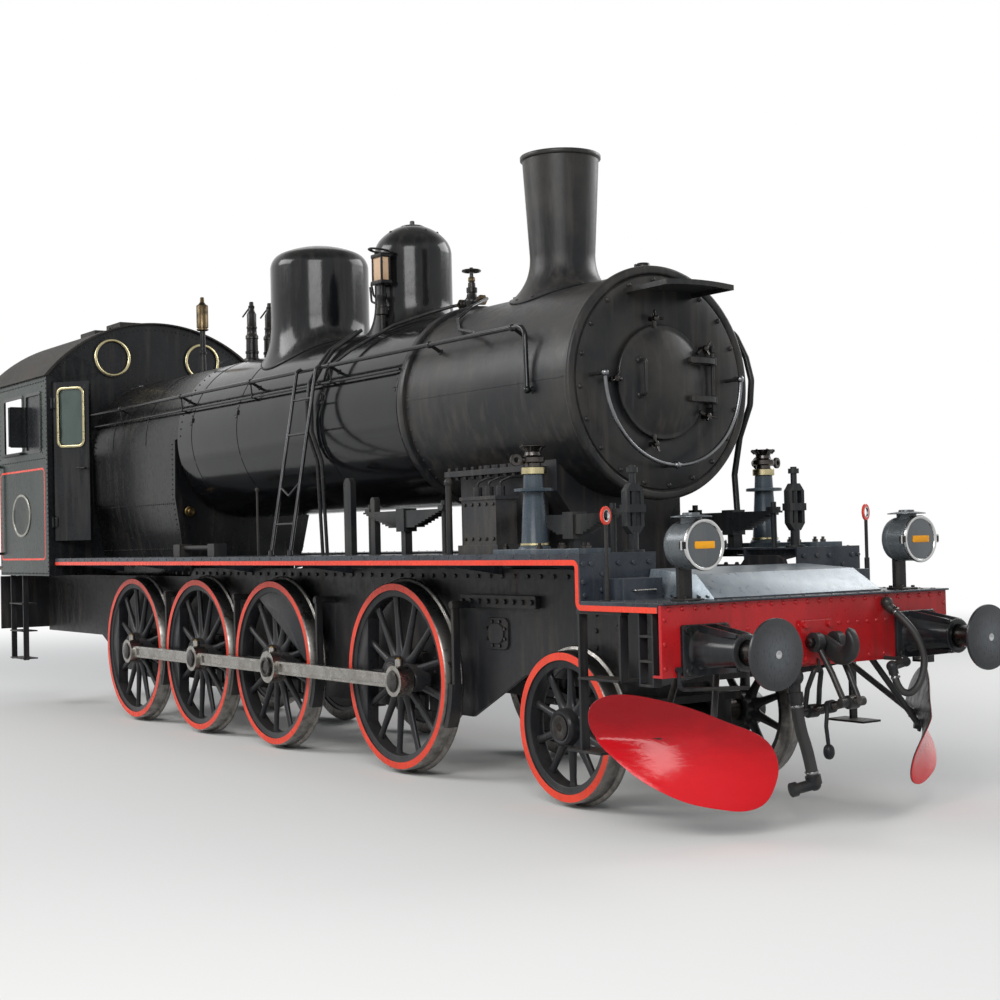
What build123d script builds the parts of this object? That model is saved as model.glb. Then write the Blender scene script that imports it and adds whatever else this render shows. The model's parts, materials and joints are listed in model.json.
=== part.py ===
from build123d import *
import math
import os

# A standard-gauge 2-8-0 steam locomotive with inside cylinders, without its tender.
# All sizes are millimetres. Stations (X) run forwards from the front coupled axle,
# Y runs to the engine's left and heights (Z) start at the top of the rail.
# save() moves everything to the part's own origin, under the middle of the engine.

# Track and wheels
BACK_TO_BACK = 1360
TYRE_WIDTH = 140
FLANGE_HEIGHT = 28
FLANGE_WIDTH = 32
TYRE_DEPTH = 62
RIM_DEPTH = 46
COUPLED_DIAMETER = 1388
LEADING_DIAMETER = 970
COUPLED_STATIONS = (0, -2000, -3500, -5000)
DRIVEN = 1
LEADING_STATION = 2054
COUPLED_SPOKES = 13
LEADING_SPOKES = 10
COUPLED_AXLE_R = 95
LEADING_AXLE_R = 80
RUNNING_FIT = 0.05
BODY_GAP = 0.3

# Cranks and rods
COUPLING_THROW = 254
MAIN_THROW = 320
RIGHT_CRANK_ANGLE = -3
CRANK_LEAD = 90
CRANKPIN_R = 52
ROD_BOSS_R = 112
ROD_INNER_Y = 878
ROD_OUTER_Y = 990
ROD_HEIGHT = 104
ROD_THICKNESS = 62
CYLINDER_LINE_Y = 290

# Frames
FRAME_OUTER_Y = 600
FRAME_PLATE = 30
FRAME_TOP = 1480
FRAME_BOTTOM = 430
BEAM_FACE_X = 3459
BEAM_PLATE = 24
BEAM_BOTTOM = 896
BEAM_HALF = 1187
REAR_BEAM_X = -8050
REAR_BEAM_BOTTOM = 760
BOARD_TOP = 1590
BOARD_PLATE = 12
BOARD_HALF = 1190
BOARD_REAR_X = -6150
BOARD_STEP_X = 2740
VALANCE_DEPTH = 70
VALANCE_PLATE = 14
PLATFORM_TOP = 1312
PLATFORM_BOTTOM = PLATFORM_TOP - BOARD_PLATE
PLATFORM_VALANCE = 57

# Boiler
BOILER_HEIGHT = 2700
BARREL_R = 750
SMOKEBOX_R = 744
SMOKEBOX_WALL = 16
SMOKEBOX_REAR_X = 90
SMOKEBOX_FRONT_X = 2092
FRONT_RING_R = SMOKEBOX_R + 36
FRONT_RING_X = SMOKEBOX_FRONT_X + 38
DOOR_R = 378
DOOR_HOLE_R = 350
DOOR_DEPTH = 92
FIREBOX_FRONT_X = -4060
FIREBOX_REAR_X = -6760
CHIMNEY_X = 1090
CHIMNEY_TOP = BOILER_HEIGHT + 1720
CHIMNEY_RIM_R = 290
CHIMNEY_TOP_R = 274
CHIMNEY_WAIST_R = 235
CHIMNEY_WAIST_Z = BOILER_HEIGHT + 1000
CHIMNEY_WALL = 18
SAND_DOME_X = -930
SAND_DOME_R = 318
SAND_DOME_TOP = BOILER_HEIGHT + BARREL_R + 820
STEAM_DOME_X = -2520
STEAM_DOME_R = 440
STEAM_DOME_TOP = BOILER_HEIGHT + BARREL_R + 900

# Cab
CAB_FRONT_X = -6200
CAB_REAR_X = -7760
CAB_HALF = 1240
CAB_PLATE = 16
CAB_BOTTOM = 1410
EAVES_Z = 3500
ROOF_TOP = 4112
ROOF_FRONT_X = -6150
ROOF_REAR_X = -8150
ROOF_OVERHANG = 36
ROOF_PLATE = 14
CAB_FLOOR_TOP = 1510
DOOR_OPENING = (CAB_HALF - 480, CAB_HALF - 55)
DOOR_Z = (1770, 3430)
DOOR_AJAR = 52

# Buffers
BUFFER_Y = 875
BUFFER_Z = 1038
BUFFER_FACE_X = 4050
BUFFER_HEAD_R = 195

# The part's origin, under the middle of the engine at the lowest point of the flanges
ORIGIN_X = (BUFFER_FACE_X + ROOF_REAR_X) / 2
TO_ORIGIN = Pos(-ORIGIN_X, 0, FLANGE_HEIGHT)

os.makedirs("parts", exist_ok=True)


def save(name, *shapes):
    """Write the solids of all the shapes as one node at the part's origin."""
    solids = [TO_ORIGIN * solid for shape in shapes for solid in shape.solids()]
    export_step(solids[0] if len(solids) == 1 else Compound(solids), f"parts/{name}.step")


def block(x, y, z):
    """A box from its three pairs of limits."""
    return Pos((x[0] + x[1]) / 2, (y[0] + y[1]) / 2, (z[0] + z[1]) / 2) * Box(
        abs(x[1] - x[0]), abs(y[1] - y[0]), abs(z[1] - z[0])
    )


def plate_xz(points, y):
    """A plate that stands along the engine, from its outline in X and Z."""
    outline = make_face(Polyline(*[(px, y[0], pz) for px, pz in points], close=True))
    return extrude(outline, amount=y[1] - y[0], dir=(0, 1, 0))


def plate_yz(points, x):
    """A plate that stands across the engine, from its outline in Y and Z."""
    outline = make_face(Polyline(*[(x[0], py, pz) for py, pz in points], close=True))
    return extrude(outline, amount=x[1] - x[0], dir=(1, 0, 0))


def plate_xy(points, z):
    """A flat plate from its outline in X and Y."""
    outline = make_face(Polyline(*[(px, py, z[0]) for px, py in points], close=True))
    return extrude(outline, amount=z[1] - z[0], dir=(0, 0, 1))


def bar(start, end, radius):
    """A round bar between two points."""
    start, end = Vector(*start), Vector(*end)
    run = end - start
    return Plane(origin=start, z_dir=run).location * Cylinder(
        radius, run.length, align=(Align.CENTER, Align.CENTER, Align.MIN)
    )


def turned(profile, origin, direction):
    """A turned piece: its profile is (distance along the axis, radius) pairs."""
    face = make_face(Polyline(*profile, close=True))
    side = (0, 0, 1) if abs(direction[2]) < 0.5 else (0, 1, 0)
    return Plane(origin=origin, x_dir=direction, z_dir=side).location * revolve(face, Axis.X)


def pipe(points, radius, bend):
    """A round pipe or rail along a route with rounded corners."""
    route = FilletPolyline(*points, radius=bend) if len(points) > 2 else Line(*points)
    section = Plane(origin=route @ 0, z_dir=route % 0) * Circle(radius)
    return sweep(section, path=route)


def left_of(shape):
    """The mirrored piece on the engine's left side."""
    return mirror(shape, about=Plane.XZ)


def pair(shape):
    """A right-hand piece with its mirrored copy on the left."""
    return Compound([*shape.solids(), *left_of(shape).solids()])


# Wheels: a turned tyre and rim, tapered spokes, a hub with its crank boss and a cast
# crescent weight. Everything is drawn for a wheel on the left and then placed.
TYRE_BACK_Y = BACK_TO_BACK / 2
TYRE_FACE_Y = TYRE_BACK_Y + TYRE_WIDTH
HUB_FACE_Y = TYRE_FACE_Y + 32
HUB_BACK_Y = TYRE_BACK_Y - 20
SPOKE_MIDDLE_Y = (TYRE_BACK_Y + TYRE_FACE_Y) / 2


def rim(tread_r):
    """The tyre with its flange and the rim inside it, as one turned ring."""
    inner = tread_r - TYRE_DEPTH - RIM_DEPTH
    seat = tread_r - TYRE_DEPTH
    back = TYRE_BACK_Y
    profile = [
        (back + 14, inner),
        (back + 14, seat),
        (back, seat),
        (back, tread_r + FLANGE_HEIGHT - 10),
        (back + 8, tread_r + FLANGE_HEIGHT),
        (back + 18, tread_r + FLANGE_HEIGHT),
        (back + FLANGE_WIDTH, tread_r + 3),
        (TYRE_FACE_Y - 8, tread_r - 3),
        (TYRE_FACE_Y, tread_r - 10),
        (TYRE_FACE_Y, seat),
        (TYRE_FACE_Y - 14, seat),
        (TYRE_FACE_Y - 14, inner),
    ]
    return turned(profile, (0, 0, 0), (0, 1, 0))


def wheel(tread_r, spokes, hub_r, bore_r, crank_angle=None, weight_angle=None, weight=0):
    """One wheel on the left side, its axle at the origin along Y."""
    inner = tread_r - TYRE_DEPTH - RIM_DEPTH
    root, tip = hub_r * 0.42, 24
    arm = [(root, hub_r - 20), (tip, inner + 8), (-tip, inner + 8), (-root, hub_r - 20)]
    spoke = plate_xz(arm, (SPOKE_MIDDLE_Y - 26, SPOKE_MIDDLE_Y + 26))
    body = rim(tread_r) + turned(
        [
            (HUB_BACK_Y, 0),
            (HUB_BACK_Y, hub_r),
            (HUB_FACE_Y - 20, hub_r),
            (HUB_FACE_Y, hub_r - 16),
            (HUB_FACE_Y, 0),
        ],
        (0, 0, 0),
        (0, 1, 0),
    )
    body = body + [Rot(0, (i + 0.5) * 360 / spokes, 0) * spoke for i in range(spokes)]
    if weight:
        disc = turned(
            [
                (SPOKE_MIDDLE_Y - 50, 0),
                (SPOKE_MIDDLE_Y - 50, inner + 6),
                (SPOKE_MIDDLE_Y + 50, inner + 6),
                (SPOKE_MIDDLE_Y + 50, 0),
            ],
            (0, 0, 0),
            (0, 1, 0),
        )
        keep = block((weight, tread_r), (0, 2 * TYRE_FACE_Y), (-tread_r, tread_r))
        body = body + Rot(0, -weight_angle, 0) * (disc & keep)
    if crank_angle is not None:
        web = block(
            (0, COUPLING_THROW), (SPOKE_MIDDLE_Y - 40, HUB_FACE_Y), (-CRANKPIN_R - 34, CRANKPIN_R + 34)
        )
        boss = bar((COUPLING_THROW, SPOKE_MIDDLE_Y - 40, 0), (COUPLING_THROW, HUB_FACE_Y, 0), CRANKPIN_R + 34)
        pin = bar((COUPLING_THROW, HUB_FACE_Y, 0), (COUPLING_THROW, ROD_OUTER_Y + 14, 0), CRANKPIN_R)
        body = body + Rot(0, -crank_angle, 0) * (web + boss + pin)
    return body - bar((0, 0, 0), (0, 2 * TYRE_FACE_Y, 0), bore_r)


def wheel_pair(station, tread_r, left, right):
    """Both wheels of an axle, the right one mirrored from a left pattern."""
    place = Pos(station, 0, tread_r)
    return Compound([*(place * left).solids(), *(place * left_of(right)).solids()])


COUPLED_R = COUPLED_DIAMETER / 2
LEADING_R = LEADING_DIAMETER / 2
LEFT_CRANK_ANGLE = RIGHT_CRANK_ANGLE + CRANK_LEAD
# Crescent weights: (angle from the crankpin, distance of the chord from the axle)
WEIGHTS = ((180, 430), (62, 330), (180, 430), (180, 430))
for number, station in enumerate(COUPLED_STATIONS):
    lag, chord = WEIGHTS[number]
    sides = [
        wheel(COUPLED_R, COUPLED_SPOKES, 150, COUPLED_AXLE_R, angle, angle + lag, chord)
        for angle in (LEFT_CRANK_ANGLE, RIGHT_CRANK_ANGLE)
    ]
    save(f"coupled_wheels_{number + 1}", wheel_pair(station, COUPLED_R, *sides))
leading = wheel(LEADING_R, LEADING_SPOKES, 120, LEADING_AXLE_R)
save("leading_wheels", wheel_pair(LEADING_STATION, LEADING_R, leading, leading))


# Axles: plain ones, and the driven axle with its two inside cranks
def plain_axle(station, height, radius):
    """A straight axle that ends flush in its hubs."""
    return Pos(station, 0, height) * bar((0, -HUB_FACE_Y, 0), (0, HUB_FACE_Y, 0), radius)


CRANK_WEB = 105
CRANK_JOURNAL = 120


def cranked_axle(station, height, radius):
    """The driven axle: two throws at a right angle, each between two webs."""
    axle = bar((0, -HUB_FACE_Y, 0), (0, HUB_FACE_Y, 0), radius)
    for side, angle in ((1, LEFT_CRANK_ANGLE + 180), (-1, RIGHT_CRANK_ANGLE + 180)):
        middle = side * CYLINDER_LINE_Y
        half = CRANK_JOURNAL / 2
        axle = axle - block(
            (-radius - 5, radius + 5), (middle - half, middle + half), (-radius - 5, radius + 5)
        )
        turn = Rot(0, -angle, 0)
        for web_y in (middle - half - CRANK_WEB, middle + half):
            web = block((-150, MAIN_THROW + 110), (web_y, web_y + CRANK_WEB), (-125, 125))
            axle = axle + turn * web
        pin = bar((MAIN_THROW, middle - half - 20, 0), (MAIN_THROW, middle + half + 20, 0), radius)
        axle = axle + turn * pin
    return Pos(station, 0, height) * axle


for number, station in enumerate(COUPLED_STATIONS):
    make = cranked_axle if number == DRIVEN else plain_axle
    save(f"coupled_axle_{number + 1}", make(station, COUPLED_R, COUPLED_AXLE_R))
save("leading_axle", plain_axle(LEADING_STATION, LEADING_R, LEADING_AXLE_R))


# Coupling rods: fluted bars between bushed bosses, level at every turn of the wheels
FLUTE_DEPTH = 16
FLUTE_EDGE = 20
ROD_MIDDLE_Y = (ROD_INNER_Y + ROD_OUTER_Y) / 2


def coupling_rod(angle, side):
    """The rod over all four crankpins of one side."""
    dx = COUPLING_THROW * math.cos(math.radians(angle))
    dz = COUPLED_R + COUPLING_THROW * math.sin(math.radians(angle))
    half_y, half_z = ROD_THICKNESS / 2, ROD_HEIGHT / 2
    pins = [station + dx for station in COUPLED_STATIONS]
    rod = block(
        (pins[-1], pins[0]), (ROD_MIDDLE_Y - half_y, ROD_MIDDLE_Y + half_y), (dz - half_z, dz + half_z)
    )
    for front, rear in zip(pins[:-1], pins[1:]):
        for face in (ROD_MIDDLE_Y + half_y - FLUTE_DEPTH, ROD_MIDDLE_Y - half_y):
            rod = rod - block(
                (rear + ROD_BOSS_R + 60, front - ROD_BOSS_R - 60),
                (face, face + FLUTE_DEPTH),
                (dz - half_z + FLUTE_EDGE, dz + half_z - FLUTE_EDGE),
            )
    for number, x in enumerate(pins):
        grown = 18 if number == DRIVEN else 0
        rod = rod + bar((x, ROD_INNER_Y, dz), (x, ROD_OUTER_Y, dz), ROD_BOSS_R + grown)
        rod = rod + bar((x, ROD_MIDDLE_Y, dz + ROD_BOSS_R - 10), (x, ROD_MIDDLE_Y, dz + ROD_BOSS_R + 45), 30)
    for x in pins:
        rod = rod - bar((x, ROD_INNER_Y - 5, dz), (x, ROD_OUTER_Y + 5, dz), CRANKPIN_R + RUNNING_FIT)
    return rod if side > 0 else left_of(rod)


save("coupling_rod_left", coupling_rod(LEFT_CRANK_ANGLE, 1))
save("coupling_rod_right", coupling_rod(RIGHT_CRANK_ANGLE, -1))


# Main frames: two plates with horn openings, held apart by stretchers
FRAME_INNER_Y = FRAME_OUTER_Y - FRAME_PLATE
HORN_HALF = 125
HORN_TOP = COUPLED_R + 175
EXTENSION_FRONT_X = BOARD_STEP_X - 70
EXTENSION_TOP = BOARD_TOP - 50
FRAME_OUTLINE = (
    (BEAM_FACE_X - BEAM_PLATE, BEAM_BOTTOM + 30),
    (BEAM_FACE_X - BEAM_PLATE, PLATFORM_BOTTOM),
    (EXTENSION_FRONT_X, PLATFORM_BOTTOM),
    (EXTENSION_FRONT_X, EXTENSION_TOP - 90),
    (EXTENSION_FRONT_X - 26, EXTENSION_TOP - 26),
    (EXTENSION_FRONT_X - 90, EXTENSION_TOP),
    (2300, EXTENSION_TOP),
    (2240, FRAME_TOP),
    (-4000, FRAME_TOP),
    (-4100, 1400),
    (REAR_BEAM_X, 1400),
    (REAR_BEAM_X, REAR_BEAM_BOTTOM),
    (-6400, REAR_BEAM_BOTTOM),
    (-5700, FRAME_BOTTOM),
    (700, FRAME_BOTTOM),
    (1350, 760),
    (2700, 760),
)
frame_plate = plate_xz(FRAME_OUTLINE, (FRAME_INNER_Y, FRAME_OUTER_Y))
for station in COUPLED_STATIONS:
    frame_plate = frame_plate - block(
        (station - HORN_HALF, station + HORN_HALF), (0, 900), (0, HORN_TOP)
    )
main_frame = frame_plate + left_of(frame_plate)
# Stretchers between the plates: (rear, front, bottom, top)
STRETCHERS = (
    (2900, 2940, 800, 1240),
    (-1060, -1020, 500, 1100),
    (-2920, -2880, 500, 1440),
    (-6900, -6860, 780, 1390),
)
for rear, front, low, high in STRETCHERS:
    main_frame = main_frame + block((rear, front), (-FRAME_INNER_Y, FRAME_INNER_Y), (low, high))
# The truck's pivot pin hangs from a cross member
TRUCK_PIVOT_X = 1010
TRUCK_PIVOT_Z = LEADING_R + 100
TRUCK_PIVOT_R = 60
pivot_z = (TRUCK_PIVOT_Z - 65, TRUCK_PIVOT_Z + 115)
pivot = bar((TRUCK_PIVOT_X, 0, pivot_z[0]), (TRUCK_PIVOT_X, 0, pivot_z[1]), TRUCK_PIVOT_R)
pivot = pivot + bar((TRUCK_PIVOT_X, 0, pivot_z[0] - 20), (TRUCK_PIVOT_X, 0, pivot_z[0]), TRUCK_PIVOT_R + 30)
pivot = pivot + block(
    (
        TRUCK_PIVOT_X - 90, TRUCK_PIVOT_X + 90
    ), (-FRAME_INNER_Y, FRAME_INNER_Y), (pivot_z[1] - 10, pivot_z[1] + 40)
)
save("main_frame", main_frame + pivot)

# Axleboxes in their horns, each with the keep that closes the horn
BOX_HALF = HORN_HALF - 2
axleboxes = []
for station in COUPLED_STATIONS:
    box = block(
        (station - BOX_HALF, station + BOX_HALF),
        (FRAME_INNER_Y - 40, HUB_BACK_Y - 12),
        (COUPLED_R - 150, COUPLED_R + 165),
    )
    box = box - block(
        (station - BOX_HALF - 5, station - 96), (FRAME_INNER_Y - 60, FRAME_INNER_Y - 2), (0, 1000)
    )
    box = box - block(
        (station + 96, station + BOX_HALF + 5), (FRAME_INNER_Y - 60, FRAME_INNER_Y - 2), (0, 1000)
    )
    keep = block(
        (station - HORN_HALF - 60, station + HORN_HALF + 60),
        (FRAME_INNER_Y - 20, FRAME_OUTER_Y + 20),
        (FRAME_BOTTOM - 45, FRAME_BOTTOM),
    )
    post = block(
        (station - 60, station + 60), (FRAME_INNER_Y, FRAME_OUTER_Y), (FRAME_BOTTOM, COUPLED_R - 150)
    )
    box = box + keep + post
    axleboxes.append(
        box - bar((station, 0, COUPLED_R), (station, 900, COUPLED_R), COUPLED_AXLE_R + RUNNING_FIT)
    )
save("axleboxes", *[pair(box) for box in axleboxes])

# Front buffer beam, with the angle under the deck's edge
BEAM_ANGLE = 60
buffer_beam = block(
    (BEAM_FACE_X - BEAM_PLATE, BEAM_FACE_X), (-BEAM_HALF, BEAM_HALF), (BEAM_BOTTOM, PLATFORM_BOTTOM)
)
buffer_beam = buffer_beam + block(
    (BEAM_FACE_X - BEAM_PLATE - BEAM_ANGLE, BEAM_FACE_X - BEAM_PLATE),
    (-BEAM_HALF, BEAM_HALF),
    (BEAM_BOTTOM, BEAM_BOTTOM + 14),
)
frame_slots = pair(
    block((BEAM_FACE_X - 200, BEAM_FACE_X - BEAM_PLATE), (-FRAME_OUTER_Y, -FRAME_INNER_Y), (0, 2000))
)
buffer_beam = buffer_beam - frame_slots
save("buffer_beam", buffer_beam)

# Drag beam and drag box at the rear, bored for the drawbar's pin
DRAWBAR_PIN_R = 45
DRAWBAR_PIN_X = REAR_BEAM_X + 160
DRAG_BOX_LENGTH = 560
DRAG_BOX_Z = (860, 1140)
DRAG_PLATE = 50
drag_beam = block(
    (REAR_BEAM_X - 30, REAR_BEAM_X), (-BEAM_HALF + 37, BEAM_HALF - 37), (REAR_BEAM_BOTTOM + 40, 1395)
)
drag_gap = (DRAG_BOX_Z[0] + DRAG_PLATE, DRAG_BOX_Z[1] - DRAG_PLATE)
drag_beam = drag_beam - block((REAR_BEAM_X - 40, REAR_BEAM_X + 10), (-230, 230), drag_gap)
for low in (DRAG_BOX_Z[0], DRAG_BOX_Z[1] - DRAG_PLATE):
    drag_beam = drag_beam + block(
        (REAR_BEAM_X, REAR_BEAM_X + DRAG_BOX_LENGTH), (-FRAME_INNER_Y, FRAME_INNER_Y), (low, low + DRAG_PLATE)
    )
drag_beam = drag_beam - bar(
    (DRAWBAR_PIN_X, 0, DRAG_BOX_Z[0] - 60), (DRAWBAR_PIN_X, 0, DRAG_BOX_Z[1] + 60), DRAWBAR_PIN_R
)
save("drag_beam", drag_beam)


def drum(x, radius):
    """A cylinder along the boiler's axis."""
    return bar((x[0], 0, BOILER_HEIGHT), (x[1], 0, BOILER_HEIGHT), radius)


def on_boiler(x, angle, radius):
    """A point on the boiler's right side, at an angle above its middle."""
    lean = math.radians(angle)
    return (x, -radius * math.cos(lean), BOILER_HEIGHT + radius * math.sin(lean))


# Cylinder casting with its saddle under the smokebox, and the bolted wings beside it
CYLINDER_REAR_X = 760
CYLINDER_FRONT_X = 1760
CYLINDER_Z = 1150
CYLINDER_COVER_R = 270
SADDLE_WAIST_Y = 430
WING_Y = 760
WING_REAR_X = 640
WING_FRONT_X = 1600
WING_Z = BOILER_HEIGHT - 550
saddle_half = (
    (FRAME_INNER_Y - 10, 1400), (FRAME_INNER_Y - 10, FRAME_TOP + 20), (SADDLE_WAIST_Y, FRAME_TOP + 160)
)
saddle_half = (*saddle_half, (SADDLE_WAIST_Y, WING_Z - 320), (FRAME_INNER_Y - 10, WING_Z - 150))
saddle_half = (*saddle_half, (FRAME_INNER_Y - 10, BOILER_HEIGHT - 400))
saddle_points = [(-y, z) for y, z in saddle_half] + list(reversed(saddle_half))
cylinder_block = block(
    (CYLINDER_REAR_X, CYLINDER_FRONT_X), (-FRAME_INNER_Y, FRAME_INNER_Y), (CYLINDER_Z - 320, CYLINDER_Z + 280)
)
cylinder_block = cylinder_block + plate_yz(saddle_points, (CYLINDER_REAR_X + 60, CYLINDER_FRONT_X - 60))
for side in (-1, 1):
    wing_y = sorted((side * (FRAME_INNER_Y - 60), side * WING_Y))
    cylinder_block = cylinder_block + block((WING_REAR_X, WING_FRONT_X), wing_y, (WING_Z - 20, WING_Z + 20))
    chest_y = sorted((side * (FRAME_INNER_Y - 60), side * (FRAME_OUTER_Y + 60)))
    chest = block((WING_REAR_X + 60, WING_FRONT_X - 60), chest_y, (BOARD_TOP + 30, WING_Z))
    cylinder_block = cylinder_block + chest
    line_y = side * CYLINDER_LINE_Y
    cylinder_block = cylinder_block + bar(
        (CYLINDER_FRONT_X, line_y, CYLINDER_Z), (CYLINDER_FRONT_X + 60, line_y, CYLINDER_Z), CYLINDER_COVER_R
    )
    cylinder_block = cylinder_block + bar(
        (CYLINDER_REAR_X, line_y, CYLINDER_Z), (
            CYLINDER_REAR_X - 70, line_y, CYLINDER_Z
        ), CYLINDER_COVER_R - 70
    )
cylinder_block = cylinder_block - drum((0, 3000), SMOKEBOX_R)
save("cylinder_block", cylinder_block)

# Slide bars for the two inside crossheads, from the cylinders back to a motion plate
MOTION_PLATE_X = -560
SLIDE_BAR_SPACE = 190
motion = block(
    (MOTION_PLATE_X - 40, MOTION_PLATE_X),
    (-FRAME_INNER_Y, FRAME_INNER_Y),
    (CYLINDER_Z - 230, CYLINDER_Z + 230),
)
for side in (-1, 1):
    line_y = side * CYLINDER_LINE_Y
    motion = motion - block(
        (MOTION_PLATE_X - 50, MOTION_PLATE_X + 10),
        (line_y - 90, line_y + 90),
        (CYLINDER_Z - 170, CYLINDER_Z + 60),
    )
    for z in (CYLINDER_Z - SLIDE_BAR_SPACE / 2, CYLINDER_Z + SLIDE_BAR_SPACE / 2):
        low = z - 60 if z < CYLINDER_Z else z
        motion = motion + block(
            (MOTION_PLATE_X - 20, CYLINDER_REAR_X - 70), (line_y - 45, line_y + 45), (low, low + 60)
        )
save("slide_bars", motion)

# Front platform: deck, its valances and the sloped cover over the cylinder fronts
COVER_HALF = 700
COVER_TOP_HALF = 660
COVER_FRONT_X = 3360
COVER_EDGE_X = 3170
COVER_RISE = 144
COVER_REAR_X = BOARD_STEP_X + 8
DECK_FRONT_X = BEAM_FACE_X + 24
platform = block((BOARD_STEP_X, DECK_FRONT_X), (-BOARD_HALF, BOARD_HALF), (PLATFORM_BOTTOM, PLATFORM_TOP))
for side in (-1, 1):
    edge = sorted((side * (BOARD_HALF - VALANCE_PLATE), side * BOARD_HALF))
    platform = platform + block(
        (BOARD_STEP_X, BEAM_FACE_X - BEAM_PLATE), edge, (PLATFORM_TOP - PLATFORM_VALANCE, PLATFORM_TOP)
    )
cover_bottom = (
    (COVER_REAR_X, -COVER_HALF),
    (COVER_REAR_X, COVER_HALF),
    (COVER_FRONT_X, COVER_HALF),
    (COVER_FRONT_X, -COVER_HALF),
)
cover = plate_xy(cover_bottom, (PLATFORM_TOP, PLATFORM_TOP + COVER_RISE + 60))
cover_side = (
    (COVER_REAR_X, PLATFORM_TOP),
    (COVER_FRONT_X, PLATFORM_TOP),
    (COVER_FRONT_X, PLATFORM_TOP + 10),
    (COVER_EDGE_X, PLATFORM_TOP + COVER_RISE),
    (COVER_REAR_X, PLATFORM_TOP + COVER_RISE + 30),
)
cover = cover & plate_xz(cover_side, (-COVER_HALF, COVER_HALF))
lean = COVER_HALF - COVER_TOP_HALF
for side in (-1, 1):
    shave = plate_yz(
        (
            (side * COVER_HALF, PLATFORM_TOP),
            (side * (COVER_HALF + 50), PLATFORM_TOP),
            (side * (COVER_HALF + 50), PLATFORM_TOP + 300),
            (side * (COVER_HALF - lean * 300 / COVER_RISE), PLATFORM_TOP + 300),
        ),
        (COVER_REAR_X - 10, COVER_FRONT_X + 10),
    )
    cover = cover - shave
platform = platform + cover
# Tool boxes behind the lamps: (rear, front, inner, outer, height)
TOOL_BOXES = ((2770, 2960, 740, 1040, 128),)
for rear, front, inner, outer, height in TOOL_BOXES:
    for side in (-1, 1):
        box_y = sorted((side * inner, side * outer))
        platform = platform + block((rear, front), box_y, (PLATFORM_TOP, PLATFORM_TOP + height))
save("front_platform", platform)

# The firebox's outline: round above the boiler's middle, drawn in between the frames.
# Rows are (inwards from the barrel's side, share of the way down to the frames).
FIREBOX_DRAW_IN = ((0, 0), (12, 0.45), (110, 0.885))
FIREBOX_BOTTOM = 900


def firebox_section(grow=0):
    """The firebox's outline in a plane across the engine."""
    drop = BOILER_HEIGHT - FRAME_TOP
    side = [(BARREL_R - inwards + grow, BOILER_HEIGHT - share * drop) for inwards, share in FIREBOX_DRAW_IN]
    foot_y = FRAME_INNER_Y - 22 + grow
    side = side + [(foot_y, FRAME_TOP - 10), (foot_y, FIREBOX_BOTTOM)]
    top_y = side[0][0]
    arc = ThreePointArc((0, -top_y, BOILER_HEIGHT), (0, 0, BOILER_HEIGHT + top_y), (0, top_y, BOILER_HEIGHT))
    down = [(0, y, z) for y, z in side]
    up = [(0, -y, z) for y, z in reversed(side)]
    return make_face([arc, Polyline(*down, *up)])


def firebox_run(rear_x, front_x, grow=0):
    """The firebox's outline carried along the engine."""
    return extrude(Pos(rear_x, 0, 0) * firebox_section(grow), amount=front_x - rear_x, dir=(1, 0, 0))


# Running boards: plate, valance and the drop down to the platform, with brackets below
VALANCE_FOOT = PLATFORM_TOP - PLATFORM_VALANCE
VALANCE_DROP = 36
valance_points = (
    (BOARD_REAR_X, BOARD_TOP),
    (BOARD_STEP_X, BOARD_TOP),
    (BOARD_STEP_X, VALANCE_FOOT),
    (BOARD_STEP_X - VALANCE_DROP, VALANCE_FOOT),
    (BOARD_STEP_X - VALANCE_DROP, BOARD_TOP - VALANCE_DEPTH),
    (BOARD_REAR_X, BOARD_TOP - VALANCE_DEPTH),
)
BOARD_INNER_Y = FRAME_OUTER_Y + 1
board = block((BOARD_REAR_X, BOARD_STEP_X), (BOARD_INNER_Y, BOARD_HALF), (BOARD_TOP - BOARD_PLATE, BOARD_TOP))
board = board + plate_xz(valance_points, (BOARD_HALF - VALANCE_PLATE, BOARD_HALF))
board = board + block(
    (BOARD_STEP_X - 12, BOARD_STEP_X), (BOARD_INNER_Y, BOARD_HALF), (PLATFORM_BOTTOM, BOARD_TOP)
)
BRACKET_STATIONS = (-5760, -4250, -2750, -1000, 1100, 2250)
bracket_points = (
    (FRAME_OUTER_Y, BOARD_TOP - BOARD_PLATE),
    (BOARD_HALF - 20, BOARD_TOP - BOARD_PLATE),
    (BOARD_HALF - 20, BOARD_TOP - 60),
    (FRAME_OUTER_Y, FRAME_TOP - 40),
)
for x in BRACKET_STATIONS:
    board = board + plate_yz(bracket_points, (x - 8, x + 8))
board = board - firebox_run(FIREBOX_REAR_X, FIREBOX_FRONT_X + 200, 2)
save("running_boards", pair(board))

# Smokebox: an open shell on the saddle, and the heavy front ring round the door's hole
smokebox = drum((SMOKEBOX_REAR_X, SMOKEBOX_FRONT_X), SMOKEBOX_R)
smokebox = smokebox - drum((SMOKEBOX_REAR_X - 1, SMOKEBOX_FRONT_X + 1), SMOKEBOX_R - SMOKEBOX_WALL)
smokebox = smokebox - bar(
    (CHIMNEY_X, 0, BOILER_HEIGHT + 600), (CHIMNEY_X, 0, BOILER_HEIGHT + 900), CHIMNEY_WAIST_R - CHIMNEY_WALL
)
save("smokebox", smokebox)
front_ring = drum((SMOKEBOX_FRONT_X, FRONT_RING_X), FRONT_RING_R)
front_ring = front_ring - drum((SMOKEBOX_FRONT_X - 1, FRONT_RING_X + 1), DOOR_HOLE_R)
save("smokebox_front", front_ring)

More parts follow.
